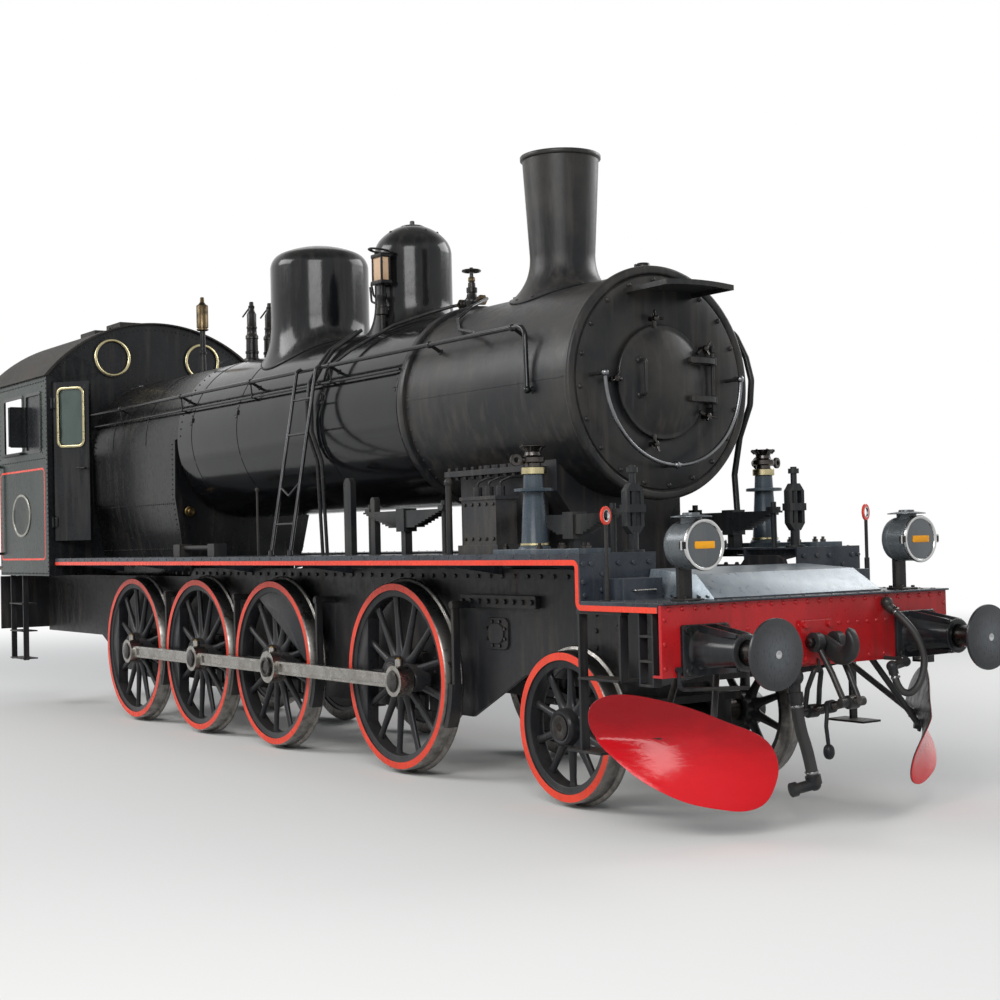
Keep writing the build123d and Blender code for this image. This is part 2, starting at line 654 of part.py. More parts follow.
# Smokebox door: a dished disc in its flat rim, with two straps from the hinge on the left
HINGE_Y = DOOR_R + 44
HINGE_X = FRONT_RING_X + 45
HINGE_PIN_R = 12
STRAP_Z = (BOILER_HEIGHT - 108, BOILER_HEIGHT + 150)
STRAP_TIP_Y = 180
STRAP_DEPTH = 46
LUG_Z = (BOILER_HEIGHT - 176, BOILER_HEIGHT + 230)
DOOR_RIM = 22
door_x = FRONT_RING_X + BODY_GAP
dish_r = DOOR_R - 26
dish_height = DOOR_DEPTH - DOOR_RIM
sphere_r = (dish_r**2 + dish_height**2) / (2 * dish_height)
half_turn = math.asin(dish_r / sphere_r) / 2
dish_middle = (DOOR_DEPTH - sphere_r + sphere_r * math.cos(half_turn), sphere_r * math.sin(half_turn))
dish_arc = ThreePointArc((DOOR_RIM, dish_r), dish_middle, (DOOR_DEPTH, 0))
dish_edges = Polyline((DOOR_DEPTH, 0), (0, 0), (0, DOOR_R), (DOOR_RIM, DOOR_R), (DOOR_RIM, dish_r))
door = Pos(door_x, 0, BOILER_HEIGHT) * revolve(make_face([dish_arc, dish_edges]), Axis.X)
for z in STRAP_Z:
    strap = (
        (door_x + 10, STRAP_TIP_Y),
        (HINGE_X + STRAP_DEPTH, STRAP_TIP_Y),
        (HINGE_X + 12, HINGE_Y),
        (HINGE_X - 12, HINGE_Y),
    )
    door = door + plate_xy(strap, (z - 21, z + 21))
    door = door + bar((HINGE_X, HINGE_Y, z - 26), (HINGE_X, HINGE_Y, z + 26), 27)
# Grab handle: (across, height of its foot, height of its top)
DOOR_GRAB = (-230, BOILER_HEIGHT - 95, BOILER_HEIGHT + 134)
grab_x = door_x + DOOR_DEPTH + 30
grab_route = [
    (door_x + 50, DOOR_GRAB[0], DOOR_GRAB[1]),
    (grab_x, DOOR_GRAB[0], DOOR_GRAB[1]),
    (grab_x, DOOR_GRAB[0], DOOR_GRAB[2]),
    (door_x + 50, DOOR_GRAB[0], DOOR_GRAB[2]),
]
door = door + pipe(grab_route, 10, 22)
# Middle lock: a screw with two handles
door = door + bar((door_x + 60, 0, BOILER_HEIGHT), (door_x + DOOR_DEPTH + 40, 0, BOILER_HEIGHT), 26)
door = door - bar(
    (HINGE_X, HINGE_Y, LUG_Z[0] - 60), (HINGE_X, HINGE_Y, LUG_Z[1] + 60), HINGE_PIN_R + RUNNING_FIT
)
save("smokebox_door", door)

# Fittings on the front ring: hinge pin with its lugs, curved rail, and the flat visor
front_fittings = bar((HINGE_X, HINGE_Y, LUG_Z[0] - 30), (HINGE_X, HINGE_Y, LUG_Z[1] + 30), HINGE_PIN_R)
for z in LUG_Z:
    lug = block((FRONT_RING_X, HINGE_X + 22), (HINGE_Y - 22, HINGE_Y + 22), (z - 18, z + 18))
    front_fittings = front_fittings + lug
RAIL_X = FRONT_RING_X + 140
RAIL_R = 585
RAIL_Z = BOILER_HEIGHT + 30
rail_arc = CenterArc((0, 0, 0), RAIL_R, 180, 180)
rail = sweep(Plane(origin=rail_arc @ 0, z_dir=rail_arc % 0) * Circle(13), path=rail_arc)
rail = Plane(origin=(RAIL_X, 0, RAIL_Z), x_dir=(0, 1, 0), z_dir=(1, 0, 0)).location * rail
for angle in (180, 270, 360):
    y = RAIL_R * math.cos(math.radians(angle))
    z = RAIL_Z + RAIL_R * math.sin(math.radians(angle))
    rail = rail + bar((FRONT_RING_X, y, z), (RAIL_X, y, z), 13) + Pos(RAIL_X, y, z) * Sphere(25)
VISOR_FRONT_X = 2540
VISOR_HALF = 287
VISOR_Z = BOILER_HEIGHT + 610
VISOR_ARCH = 50
VISOR_PLATE = 8
visor_r = (VISOR_HALF**2 + VISOR_ARCH**2) / (2 * VISOR_ARCH)
visor_axis_z = VISOR_Z + VISOR_ARCH - visor_r
visor = bar((FRONT_RING_X, 0, visor_axis_z), (VISOR_FRONT_X, 0, visor_axis_z), visor_r)
visor = visor - bar(
    (FRONT_RING_X - 1, 0, visor_axis_z), (VISOR_FRONT_X + 1, 0, visor_axis_z), visor_r - VISOR_PLATE
)
visor = visor & block((FRONT_RING_X, VISOR_FRONT_X), (-VISOR_HALF, VISOR_HALF), (VISOR_Z - 40, VISOR_Z + 200))
visor_foot = bar((FRONT_RING_X, 0, visor_axis_z), (FRONT_RING_X + 10, 0, visor_axis_z), visor_r)
visor_foot = visor_foot & block(
    (FRONT_RING_X, FRONT_RING_X + 10), (-VISOR_HALF, VISOR_HALF), (VISOR_Z - 90, VISOR_Z + 200)
)
visor = visor + visor_foot
save("smokebox_fittings", front_fittings, rail, visor)

# Chimney: saddle flange, flared foot, waist, straight taper up to a plain rim
CHIMNEY_BASE_Z = BOILER_HEIGHT + 600
CHIMNEY_FLANGE_R = CHIMNEY_WAIST_R + 145
chimney = turned(
    [
        (CHIMNEY_BASE_Z, CHIMNEY_WAIST_R + 60),
        (CHIMNEY_WAIST_Z - 170, CHIMNEY_WAIST_R + 48),
        (CHIMNEY_WAIST_Z - 90, CHIMNEY_WAIST_R + 12),
        (CHIMNEY_WAIST_Z, CHIMNEY_WAIST_R),
        (CHIMNEY_TOP - 36, CHIMNEY_TOP_R),
        (CHIMNEY_TOP - 30, CHIMNEY_RIM_R),
        (CHIMNEY_TOP, CHIMNEY_RIM_R),
        (CHIMNEY_TOP, CHIMNEY_TOP_R - CHIMNEY_WALL),
        (CHIMNEY_WAIST_Z, CHIMNEY_WAIST_R - CHIMNEY_WALL),
        (CHIMNEY_BASE_Z, CHIMNEY_WAIST_R - CHIMNEY_WALL),
    ],
    (CHIMNEY_X, 0, 0),
    (0, 0, 1),
)
flange = bar((CHIMNEY_X, 0, CHIMNEY_BASE_Z), (CHIMNEY_X, 0, CHIMNEY_WAIST_Z), CHIMNEY_FLANGE_R)
flange = flange - bar((CHIMNEY_X, 0, CHIMNEY_BASE_Z), (CHIMNEY_X, 0, CHIMNEY_WAIST_Z), CHIMNEY_WAIST_R)
flange = flange & drum((0, 2 * CHIMNEY_X), SMOKEBOX_R + 16)
chimney = chimney + flange - drum((0, 2 * CHIMNEY_X), SMOKEBOX_R)
save("chimney", chimney)

barrel = drum((FIREBOX_FRONT_X + 60, SMOKEBOX_REAR_X), BARREL_R)
save("boiler_barrel", barrel)

# Firebox: round top, flat sides and a throat plate that slopes back below the barrel
THROAT_BACK = 160
firebox = firebox_run(FIREBOX_REAR_X, FIREBOX_FRONT_X + 90)
throat = (
    (FIREBOX_FRONT_X, BOILER_HEIGHT),
    (FIREBOX_FRONT_X + 1000, BOILER_HEIGHT),
    (FIREBOX_FRONT_X + 1000, FIREBOX_BOTTOM - 100),
    (FIREBOX_FRONT_X - THROAT_BACK, FIREBOX_BOTTOM - 100),
)
firebox = firebox - plate_xz(throat, (-BARREL_R - 100, BARREL_R + 100))
firebox = firebox - drum((FIREBOX_FRONT_X + 60, FIREBOX_FRONT_X + 1000), BARREL_R + 100)
save("firebox", firebox)

# Backhead fittings in the cab: fire door, regulator, gauge glasses and the reversing screw
FIRE_DOOR_Z = CAB_FLOOR_TOP + 420
backhead = block((FIREBOX_REAR_X - 40, FIREBOX_REAR_X), (-240, 240), (FIRE_DOOR_Z - 190, FIRE_DOOR_Z + 190))
backhead_parts = [backhead]
regulator = bar((FIREBOX_REAR_X, 0, BOILER_HEIGHT + 380), (FIREBOX_REAR_X - 120, 0, BOILER_HEIGHT + 380), 50)
regulator = regulator + bar(
    (FIREBOX_REAR_X - 105, 0, BOILER_HEIGHT + 380), (FIREBOX_REAR_X - 105, -330, BOILER_HEIGHT + 60), 17
)
backhead_parts.append(regulator)
for y in (-380, 380):
    glass_post = bar(
        (FIREBOX_REAR_X - 70, y, BOILER_HEIGHT - 60), (FIREBOX_REAR_X - 70, y, BOILER_HEIGHT + 300), 22
    )
    for z in (BOILER_HEIGHT - 40, BOILER_HEIGHT + 280):
        glass_post = glass_post + bar((FIREBOX_REAR_X, y, z), (FIREBOX_REAR_X - 90, y, z), 24)
    backhead_parts.append(glass_post)
REVERSER_Y = -620
REVERSER_X = FIREBOX_REAR_X - 380
REVERSER_Z = CAB_FLOOR_TOP + 810
REVERSER_WHEEL_R = 190
wheel_x = REVERSER_X - 100
reverser = block(
    (REVERSER_X - 40, REVERSER_X + 40), (REVERSER_Y - 60, REVERSER_Y + 60), (CAB_FLOOR_TOP, REVERSER_Z + 70)
)
reverser = reverser + bar(
    (wheel_x - 20, REVERSER_Y, REVERSER_Z), (REVERSER_X + 180, REVERSER_Y, REVERSER_Z), 26
)
reverser_rim = bar(
    (wheel_x - 11, REVERSER_Y, REVERSER_Z), (wheel_x + 11, REVERSER_Y, REVERSER_Z), REVERSER_WHEEL_R
)
reverser_rim = reverser_rim - bar(
    (wheel_x - 12, REVERSER_Y, REVERSER_Z), (wheel_x + 12, REVERSER_Y, REVERSER_Z), REVERSER_WHEEL_R - 24
)
reverser = reverser + reverser_rim
for spoke in range(4):
    turn = math.radians(45 + 90 * spoke)
    reach = REVERSER_WHEEL_R - 12
    tip = (wheel_x, REVERSER_Y + reach * math.cos(turn), REVERSER_Z + reach * math.sin(turn))
    reverser = reverser + bar((wheel_x, REVERSER_Y, REVERSER_Z), tip, 9)
backhead_parts.append(reverser)
save("backhead_fittings", *backhead_parts)

# Ashpan below the firebox, arched over the rear axle
REAR_AXLE_X = COUPLED_STATIONS[-1]
ASHPAN_HALF = FRAME_INNER_Y - 50
ASHPAN_BOTTOM = COUPLED_R - 54
axle_room = COUPLED_AXLE_R + 60
ashpan = block(
    (CAB_FRONT_X + 20, FIREBOX_FRONT_X - 230), (-ASHPAN_HALF, ASHPAN_HALF), (ASHPAN_BOTTOM, FIREBOX_BOTTOM)
)
ashpan = ashpan - bar(
    (REAR_AXLE_X, -ASHPAN_HALF - 10, COUPLED_R), (REAR_AXLE_X, ASHPAN_HALF + 10, COUPLED_R), axle_room
)
ashpan = ashpan - block(
    (REAR_AXLE_X - axle_room, REAR_AXLE_X + axle_room), (-ASHPAN_HALF - 10, ASHPAN_HALF + 10), (0, COUPLED_R)
)
save("ashpan", ashpan)


# Domes on the barrel
def dome(station, radius, top, crown_r, knuckle, skirt):
    """A straight-sided dome with a shallow crown, a rounded shoulder and a foot on the barrel."""
    below = BOILER_HEIGHT + BARREL_R / 2
    crown_z = top - crown_r
    knuckle_y = radius - knuckle
    knuckle_z = crown_z + math.sqrt((crown_r - knuckle) ** 2 - knuckle_y**2)
    lean = math.atan2(knuckle_z - crown_z, knuckle_y)
    join = (crown_r * math.cos(lean), crown_z + crown_r * math.sin(lean))
    shoulder = (knuckle_y + knuckle * math.cos(lean / 2), knuckle_z + knuckle * math.sin(lean / 2))
    over = (math.pi / 2 + lean) / 2
    crown = (crown_r * math.cos(over), crown_z + crown_r * math.sin(over))
    edges = [
        Line((0, top), (0, below)),
        Line((0, below), (radius, below)),
        Line((radius, below), (radius, knuckle_z)),
        ThreePointArc((radius, knuckle_z), shoulder, join),
        ThreePointArc(join, crown, (0, top)),
    ]
    body = Plane(origin=(station, 0, 0), x_dir=(1, 0, 0), z_dir=(0, -1, 0)).location * make_face(edges)
    body = revolve(body, Axis((station, 0, 0), (0, 0, 1)))
    foot = bar((station, 0, below), (station, 0, BOILER_HEIGHT + BARREL_R + 60), radius + skirt)
    foot = foot & drum((station - 900, station + 900), BARREL_R + 14)
    return body + foot - drum((station - 900, station + 900), BARREL_R)


sand_dome = dome(SAND_DOME_X, SAND_DOME_R, SAND_DOME_TOP, 360, 200, 70)
sand_dome = sand_dome + bar((SAND_DOME_X, 0, SAND_DOME_TOP - 10), (SAND_DOME_X, 0, SAND_DOME_TOP + 60), 22)
save("sand_dome", sand_dome)
save("steam_dome", dome(STEAM_DOME_X, STEAM_DOME_R, STEAM_DOME_TOP, 900, 150, 90))

# On top of the boiler: safety valves, whistle, blower valve, gauge lamp and a small cap.
# Heights count from the boiler's top.
BOILER_CROWN = BOILER_HEIGHT + BARREL_R
VALVE_X = STEAM_DOME_X - STEAM_DOME_R - 750
WHISTLE_X = -5030
BLOWER_X = SMOKEBOX_REAR_X - 170
valve_profile = [(-60, 0), (-60, 62), (230, 62), (250, 48), (450, 48), (470, 30), (560, 22), (560, 0)]
whistle_profile = [(-60, 0), (-60, 34), (450, 34), (455, 60), (710, 60), (750, 20), (790, 20), (790, 0)]
blower_profile = [(-60, 0), (-60, 70), (110, 70), (110, 40), (250, 40), (250, 24), (310, 24), (310, 0)]
fittings = []
for y in (-95, 95):
    fittings.append(turned(valve_profile, (VALVE_X, y, BOILER_CROWN), (0, 0, 1)))
fittings.append(turned(whistle_profile, (WHISTLE_X, 0, BOILER_CROWN), (0, 0, 1)))
wheel_z = BOILER_CROWN + 322
blower = turned(blower_profile, (BLOWER_X, 0, BOILER_CROWN), (0, 0, 1))
hand_wheel = Pos(BLOWER_X, 0, wheel_z) * Torus(66, 11)
hand_wheel = hand_wheel + bar((BLOWER_X - 60, 0, wheel_z), (BLOWER_X + 60, 0, wheel_z), 9)
hand_wheel = hand_wheel + bar((BLOWER_X, -60, wheel_z), (BLOWER_X, 60, wheel_z), 9)
hand_wheel = hand_wheel + bar((BLOWER_X, 0, wheel_z - 22), (BLOWER_X, 0, wheel_z + 13), 20)
fittings.append(blower + hand_wheel)
GAUGE_LAMP = ((-1105, -905), (-SAND_DOME_R - 75, -SAND_DOME_R + 90), (BOILER_CROWN + 270, BOILER_CROWN + 560))
gauge_lamp = block(*GAUGE_LAMP) - bar(
    (SAND_DOME_X, 0, BOILER_CROWN), (SAND_DOME_X, 0, SAND_DOME_TOP), SAND_DOME_R
)
fittings.append(gauge_lamp)
fittings.append(
    bar((1978, 0, BOILER_HEIGHT + SMOKEBOX_R - 30), (1978, 0, BOILER_HEIGHT + SMOKEBOX_R + 74), 36)
)
boiler_skin = drum((CAB_FRONT_X, SMOKEBOX_REAR_X), BARREL_R) + drum(
    (SMOKEBOX_REAR_X, SMOKEBOX_FRONT_X), SMOKEBOX_R
)
save("boiler_fittings", *[item - boiler_skin for item in fittings])

# Handrails along the boiler, bent down beside the smokebox, each on ball stanchions
RAIL_ANGLE = 28
RAIL_DISTANCE = SMOKEBOX_R + 106
RAIL_TUBE_R = 17
RAIL_BEND_X = 1640
RAIL_END_DROP = 435
STANCHIONS = (-5400, -3900, -2430, -1020, 470, 1500)
rail_x, rail_y, rail_z = on_boiler(0, RAIL_ANGLE, RAIL_DISTANCE)
rail_end = (RAIL_BEND_X + 55, rail_y - 30, rail_z - RAIL_END_DROP)
handrail = pipe([(CAB_FRONT_X + 1, rail_y, rail_z), (RAIL_BEND_X, rail_y, rail_z), rail_end], RAIL_TUBE_R, 90)
for x in STANCHIONS:
    handrail = handrail + bar(on_boiler(x, RAIL_ANGLE, BARREL_R - 20), (x, rail_y, rail_z), 13)
    handrail = handrail + Pos(x, rail_y, rail_z) * Sphere(27)
handrail = handrail + bar(
    rail_end, (rail_end[0], -SMOKEBOX_R + 20, rail_end[2]), 13
) + Pos(*rail_end) * Sphere(26)
handrail = handrail - boiler_skin
# A thin pipe below the handrail, in clips on the same stanchions
PIPE_ANGLE = 20
PIPE_DISTANCE = BARREL_R + 34
pipe_start = on_boiler(CAB_FRONT_X + 1, PIPE_ANGLE, PIPE_DISTANCE)
pipe_end = on_boiler(SMOKEBOX_REAR_X - 60, PIPE_ANGLE, PIPE_DISTANCE)
handrail = handrail + bar(pipe_start, pipe_end, 11)
for x in STANCHIONS[:-2]:
    clip_foot = on_boiler(x, PIPE_ANGLE, BARREL_R)
    handrail = handrail + bar(on_boiler(x, PIPE_ANGLE, PIPE_DISTANCE), (x, rail_y, rail_z), 7)
    handrail = handrail + bar(clip_foot, on_boiler(x, PIPE_ANGLE, PIPE_DISTANCE), 8)
handrail = handrail - boiler_skin
save("handrails", pair(handrail))

# Ladders from the running board to the handrail: stringers, three rungs and a bent one
LADDER_FEET_X = (-1373, -1046)
LADDER_TOP_SHIFT = -104
LADDER_FOOT_Y = -1120
LADDER_TOP = (rail_y - 50, rail_z - 10)
LADDER_TUBE_R = 15


def on_ladder(foot_x, share):
    """A point on a ladder stringer, at a share of the way up."""
    return (
        foot_x + share * LADDER_TOP_SHIFT,
        LADDER_FOOT_Y + share * (LADDER_TOP[0] - LADDER_FOOT_Y),
        BOARD_TOP + share * (LADDER_TOP[1] - BOARD_TOP),
    )


ladder = bar(on_ladder(LADDER_FEET_X[0], 0.02), on_ladder(LADDER_FEET_X[0], 1), LADDER_TUBE_R)
ladder = ladder + bar(on_ladder(LADDER_FEET_X[1], 0.02), on_ladder(LADDER_FEET_X[1], 1), LADDER_TUBE_R)
for foot_x in LADDER_FEET_X:
    foot = block(
        (foot_x - 32, foot_x + 32), (LADDER_FOOT_Y - 30, LADDER_FOOT_Y + 30), (BOARD_TOP, BOARD_TOP + 40)
    )
    ladder = ladder + foot + bar(on_ladder(foot_x, 1), (on_ladder(foot_x, 1)[0], rail_y, rail_z - 10), 13)
for share in (0.17, 0.65, 0.84):
    ladder = ladder + bar(on_ladder(LADDER_FEET_X[0], share), on_ladder(LADDER_FEET_X[1], share), 10)
bent = [
    on_ladder(LADDER_FEET_X[0], 0.37),
    on_ladder(sum(LADDER_FEET_X) / 2, 0.32),
    on_ladder(LADDER_FEET_X[1], 0.39),
]
ladder = ladder + bar(bent[0], bent[1], 9) + bar(bent[1], bent[2], 9) + Pos(*bent[1]) * Sphere(9)
ladder = ladder - handrail
save("ladders", pair(ladder))

# Sand pipes from the sand dome round the barrel down to the board.
# The route's rows are (station, angle above the boiler's middle, distance from it).
SAND_PIPE_R = 15
SAND_ROUTE = (
    (-1300, 66, 800),
    (-1374, 46, 790),
    (-1340, 30, 800),
    (-1320, 20, 822),
    (-1306, 8, 812),
    (-1330, -8, 800),
    (-1306, -26, 800),
)
SAND_FOOT = (-1299, -690, BOARD_TOP - 5)
below_boards = block((-7000, 3000), (-1200, 1200), (BOARD_TOP - 100, BOARD_TOP))
sand_pipes = []
for shift in (0, 75):
    route = [on_boiler(x + shift, angle, distance) for x, angle, distance in SAND_ROUTE]
    route.append((SAND_FOOT[0] + shift, SAND_FOOT[1], SAND_FOOT[2]))
    sand_pipes.append(pipe(route, SAND_PIPE_R, 60) - boiler_skin - below_boards)
save("sand_pipes", *[pair(item) for item in sand_pipes])

# Bent pipe down the left side of the smokebox to the platform
SIDE_PIPE = (
    (1900, 690, BOILER_HEIGHT + 466),
    (1990, 800, BOILER_HEIGHT + 378),
    (2040, 850, BOILER_HEIGHT + 218),
    (2077, 862, BOILER_HEIGHT + 54),
    (2060, 860, BOILER_HEIGHT - 119),
    (1960, 850, BOILER_HEIGHT - 336),
    (1930, 820, BOILER_HEIGHT - 600),
    (1990, 800, BOARD_TOP - 5),
)
save("side_pipe", pipe([*SIDE_PIPE], 14, 60) - boiler_skin - below_boards)

# Cab: front wall round the firebox, side sheets, roof, floor, glass and front doors
CAB_INNER = CAB_HALF - CAB_PLATE
CROWN_UNDER = ROOF_TOP - ROOF_PLATE


def wall_section(half, eaves, crown, bottom):
    """The outline of a cab wall: straight sides under an arched top."""
    arc = ThreePointArc((0, -half, eaves), (0, 0, crown), (0, half, eaves))
    sides = Polyline((0, half, eaves), (0, half, bottom), (0, -half, bottom), (0, -half, eaves))
    return make_face([arc, sides])


def wall_run(section, x):
    """A cab section carried along the engine between two stations."""
    return extrude(Pos(x[0], 0, 0) * section, amount=x[1] - x[0], dir=(1, 0, 0))


PORTHOLE_Y = CAB_HALF - 723
PORTHOLE_Z = EAVES_Z + 215
PORTHOLE_R = 175
PORTHOLE_RING = 36
CAB_HINGE_R = 8
HINGE_OUT = 8
HINGE_LINE_X = CAB_FRONT_X + 17
HINGE_HEIGHTS = (DOOR_Z[0] + 200, DOOR_Z[1] - 220)
KNUCKLE_HALF = 50
cab_front = wall_run(
    wall_section(CAB_HALF, EAVES_Z, CROWN_UNDER, CAB_BOTTOM), (CAB_FRONT_X - CAB_PLATE, CAB_FRONT_X)
)
cab_front = cab_front - firebox_run(CAB_FRONT_X - 50, CAB_FRONT_X + 50, 1)
for side in (-1, 1):
    opening = sorted((side * DOOR_OPENING[0], side * DOOR_OPENING[1]))
    cab_front = cab_front - block((CAB_FRONT_X - 50, CAB_FRONT_X + 50), opening, DOOR_Z)
    middle = (side * PORTHOLE_Y, PORTHOLE_Z)
    cab_front = cab_front + bar(
        (CAB_FRONT_X - 1, *middle), (CAB_FRONT_X + 18, *middle), PORTHOLE_R + PORTHOLE_RING
    )
    cab_front = cab_front - bar((CAB_FRONT_X - 50, *middle), (CAB_FRONT_X + 50, *middle), PORTHOLE_R)
    pin_y = side * (DOOR_OPENING[1] + HINGE_OUT)
    for z in HINGE_HEIGHTS:
        reach = KNUCKLE_HALF + 14
        cab_front = cab_front + bar(
            (HINGE_LINE_X, pin_y, z - reach), (HINGE_LINE_X, pin_y, z + reach), CAB_HINGE_R
        )
        for low in (z - reach, z + KNUCKLE_HALF + 0.5):
            cab_front = cab_front + block(
                (CAB_FRONT_X, HINGE_LINE_X + 12), (pin_y - 12, pin_y + 12), (low, low + 13.5)
            )
save("cab_front", cab_front)

# Side sheets with a fixed front window and an open one behind it, and the rear handrail
WINDOW_Z = (2735, 3330)
FIXED_WINDOW = (-6830, -6390)
OPEN_WINDOW = (-7560, -6950)
LEDGE = 26
side_sheet = block((CAB_REAR_X, CAB_FRONT_X - CAB_PLATE), (CAB_INNER, CAB_HALF), (CAB_BOTTOM, EAVES_Z))
for opening_x in (FIXED_WINDOW, OPEN_WINDOW):
    side_sheet = side_sheet - block(opening_x, (CAB_INNER - 100, CAB_HALF + 100), WINDOW_Z)
side_sheet = side_sheet + block(
    (
        OPEN_WINDOW[0] - 20, OPEN_WINDOW[1] + 20
    ), (CAB_INNER - 60, CAB_HALF + 50), (WINDOW_Z[0] - LEDGE, WINDOW_Z[0])
)
side_sheet = side_sheet + block(
    (CAB_REAR_X, CAB_REAR_X + 40), (CAB_INNER - 40, CAB_INNER), (CAB_FLOOR_TOP, EAVES_Z)
)
rear_rail = [
    (CAB_REAR_X + 40, CAB_HALF, CAB_BOTTOM + 240),
    (CAB_REAR_X + 40, CAB_HALF + 48, CAB_BOTTOM + 240),
    (CAB_REAR_X + 40, CAB_HALF + 48, WINDOW_Z[0] - 120),
    (CAB_REAR_X + 40, CAB_HALF, WINDOW_Z[0] - 120),
]
side_sheet = side_sheet + pipe(rear_rail, 15, 24)
save("cab_sides", pair(side_sheet))

# Roof: an arched plate with two hatches and the beads along its edges
ROOF_HATCHES = ((-6900, -6500), (-7700, -7250))
HATCH_HALF = 300
under_roof = wall_run(
    wall_section(CAB_HALF, EAVES_Z, CROWN_UNDER, EAVES_Z - 500), (ROOF_REAR_X - 10, ROOF_FRONT_X + 10)
)
roof = wall_run(
    wall_section(CAB_HALF + ROOF_OVERHANG, EAVES_Z, ROOF_TOP, EAVES_Z - 1), (ROOF_REAR_X, ROOF_FRONT_X)
)
for hatch in ROOF_HATCHES:
    roof = roof + block(hatch, (-HATCH_HALF, HATCH_HALF), (ROOF_TOP - 60, ROOF_TOP + 40))
save("cab_roof", roof - under_roof)

# Cab floor, and the crew's two seats on it
SEAT = ((-7500, -7150), (CAB_INNER - 324, CAB_INNER - 20), 560)
floor = block(
    (ROOF_REAR_X + 40, CAB_FRONT_X - CAB_PLATE), (-CAB_INNER, CAB_INNER), (CAB_FLOOR_TOP - 40, CAB_FLOOR_TOP)
)
floor = floor - firebox_run(FIREBOX_REAR_X - 2, FIREBOX_REAR_X + 900, 2)
save("cab_floor", floor)
seat = block(SEAT[0], SEAT[1], (CAB_FLOOR_TOP, CAB_FLOOR_TOP + SEAT[2]))
save("cab_seats", pair(seat))

# Window glass: fixed side panes, the wind deflectors and the two round front lights
GLASS = 6
DEFLECTOR = (170, 420)
pane = block(FIXED_WINDOW, (CAB_INNER + 5, CAB_INNER + 5 + GLASS), WINDOW_Z)
light = bar(
    (CAB_FRONT_X - 10, PORTHOLE_Y, PORTHOLE_Z), (CAB_FRONT_X - 10 + GLASS, PORTHOLE_Y, PORTHOLE_Z), PORTHOLE_R
)
deflector = block(
    (OPEN_WINDOW[1] + 28, OPEN_WINDOW[1] + 28 + GLASS), (CAB_HALF, CAB_HALF + DEFLECTOR[0]), (
        WINDOW_Z[0] + 60, WINDOW_Z[0] + 60 + DEFLECTOR[1]
    )
)
save("cab_glass", pair(pane), pair(light), pair(deflector))

# Cab doors in the front wall, hinged at the outer edge; the right one stands ajar
DOOR_PLATE = 18
DOOR_CLEAR = 4
DOOR_LIGHT_HALF = 138
DOOR_LIGHT_Z = (DOOR_Z[1] - 665, DOOR_Z[1] - 85)
DOOR_FRAME = 25
DOOR_HANDLE_Z = (DOOR_Z[0] + DOOR_Z[1]) / 2 - 80


def cab_door(opened):
    """The left door in its opening, turned about its hinge by the angle it stands at."""
    inner, outer = DOOR_OPENING
    leaf = block(
        (CAB_FRONT_X - DOOR_PLATE, CAB_FRONT_X), (inner + DOOR_CLEAR, outer - DOOR_CLEAR), (
            DOOR_Z[0] + DOOR_CLEAR, DOOR_Z[1] - DOOR_CLEAR
        )
    )
    middle = (inner + outer) / 2
    light = block(
        (CAB_FRONT_X - 60, CAB_FRONT_X + 60),
        (middle - DOOR_LIGHT_HALF, middle + DOOR_LIGHT_HALF),
        DOOR_LIGHT_Z,
    )
    light = fillet(light.edges().filter_by(Axis.X), 50)
    frame_half = DOOR_LIGHT_HALF + DOOR_FRAME
    frame_z = (DOOR_LIGHT_Z[0] - DOOR_FRAME, DOOR_LIGHT_Z[1] + DOOR_FRAME)
    frame = block((CAB_FRONT_X - 1, CAB_FRONT_X + 10), (middle - frame_half, middle + frame_half), frame_z)
    frame = fillet(frame.edges().filter_by(Axis.X), 70)
    leaf = leaf + frame - light
    handle_y = inner + 50
    leaf = leaf + bar(
        (CAB_FRONT_X - 1, handle_y, DOOR_HANDLE_Z), (CAB_FRONT_X + 50, handle_y, DOOR_HANDLE_Z), 10
    )
    leaf = leaf + bar(
        (CAB_FRONT_X + 50, handle_y - 20, DOOR_HANDLE_Z), (CAB_FRONT_X + 50, handle_y + 80, DOOR_HANDLE_Z), 10
    )
    hinge = (HINGE_LINE_X, outer + HINGE_OUT)
    for z in HINGE_HEIGHTS:
        knuckle_z = (z - KNUCKLE_HALF, z + KNUCKLE_HALF)
        leaf = leaf + block((CAB_FRONT_X - 2, CAB_FRONT_X + 2), (outer - 40, outer - DOOR_CLEAR), knuckle_z)
        leaf = leaf + block((CAB_FRONT_X + 1, CAB_FRONT_X + 12), (outer - 40, hinge[1]), knuckle_z)
        leaf = leaf + bar((*hinge, knuckle_z[0]), (*hinge, knuckle_z[1]), 16)
        leaf = leaf - bar((*hinge, z - 60), (*hinge, z + 60), CAB_HINGE_R + RUNNING_FIT)
    return Pos(*hinge, 0) * Rot(0, 0, opened) * Pos(-hinge[0], -hinge[1], 0) * leaf


save("cab_door_left", cab_door(0))
save("cab_door_right", left_of(cab_door(DOOR_AJAR)))

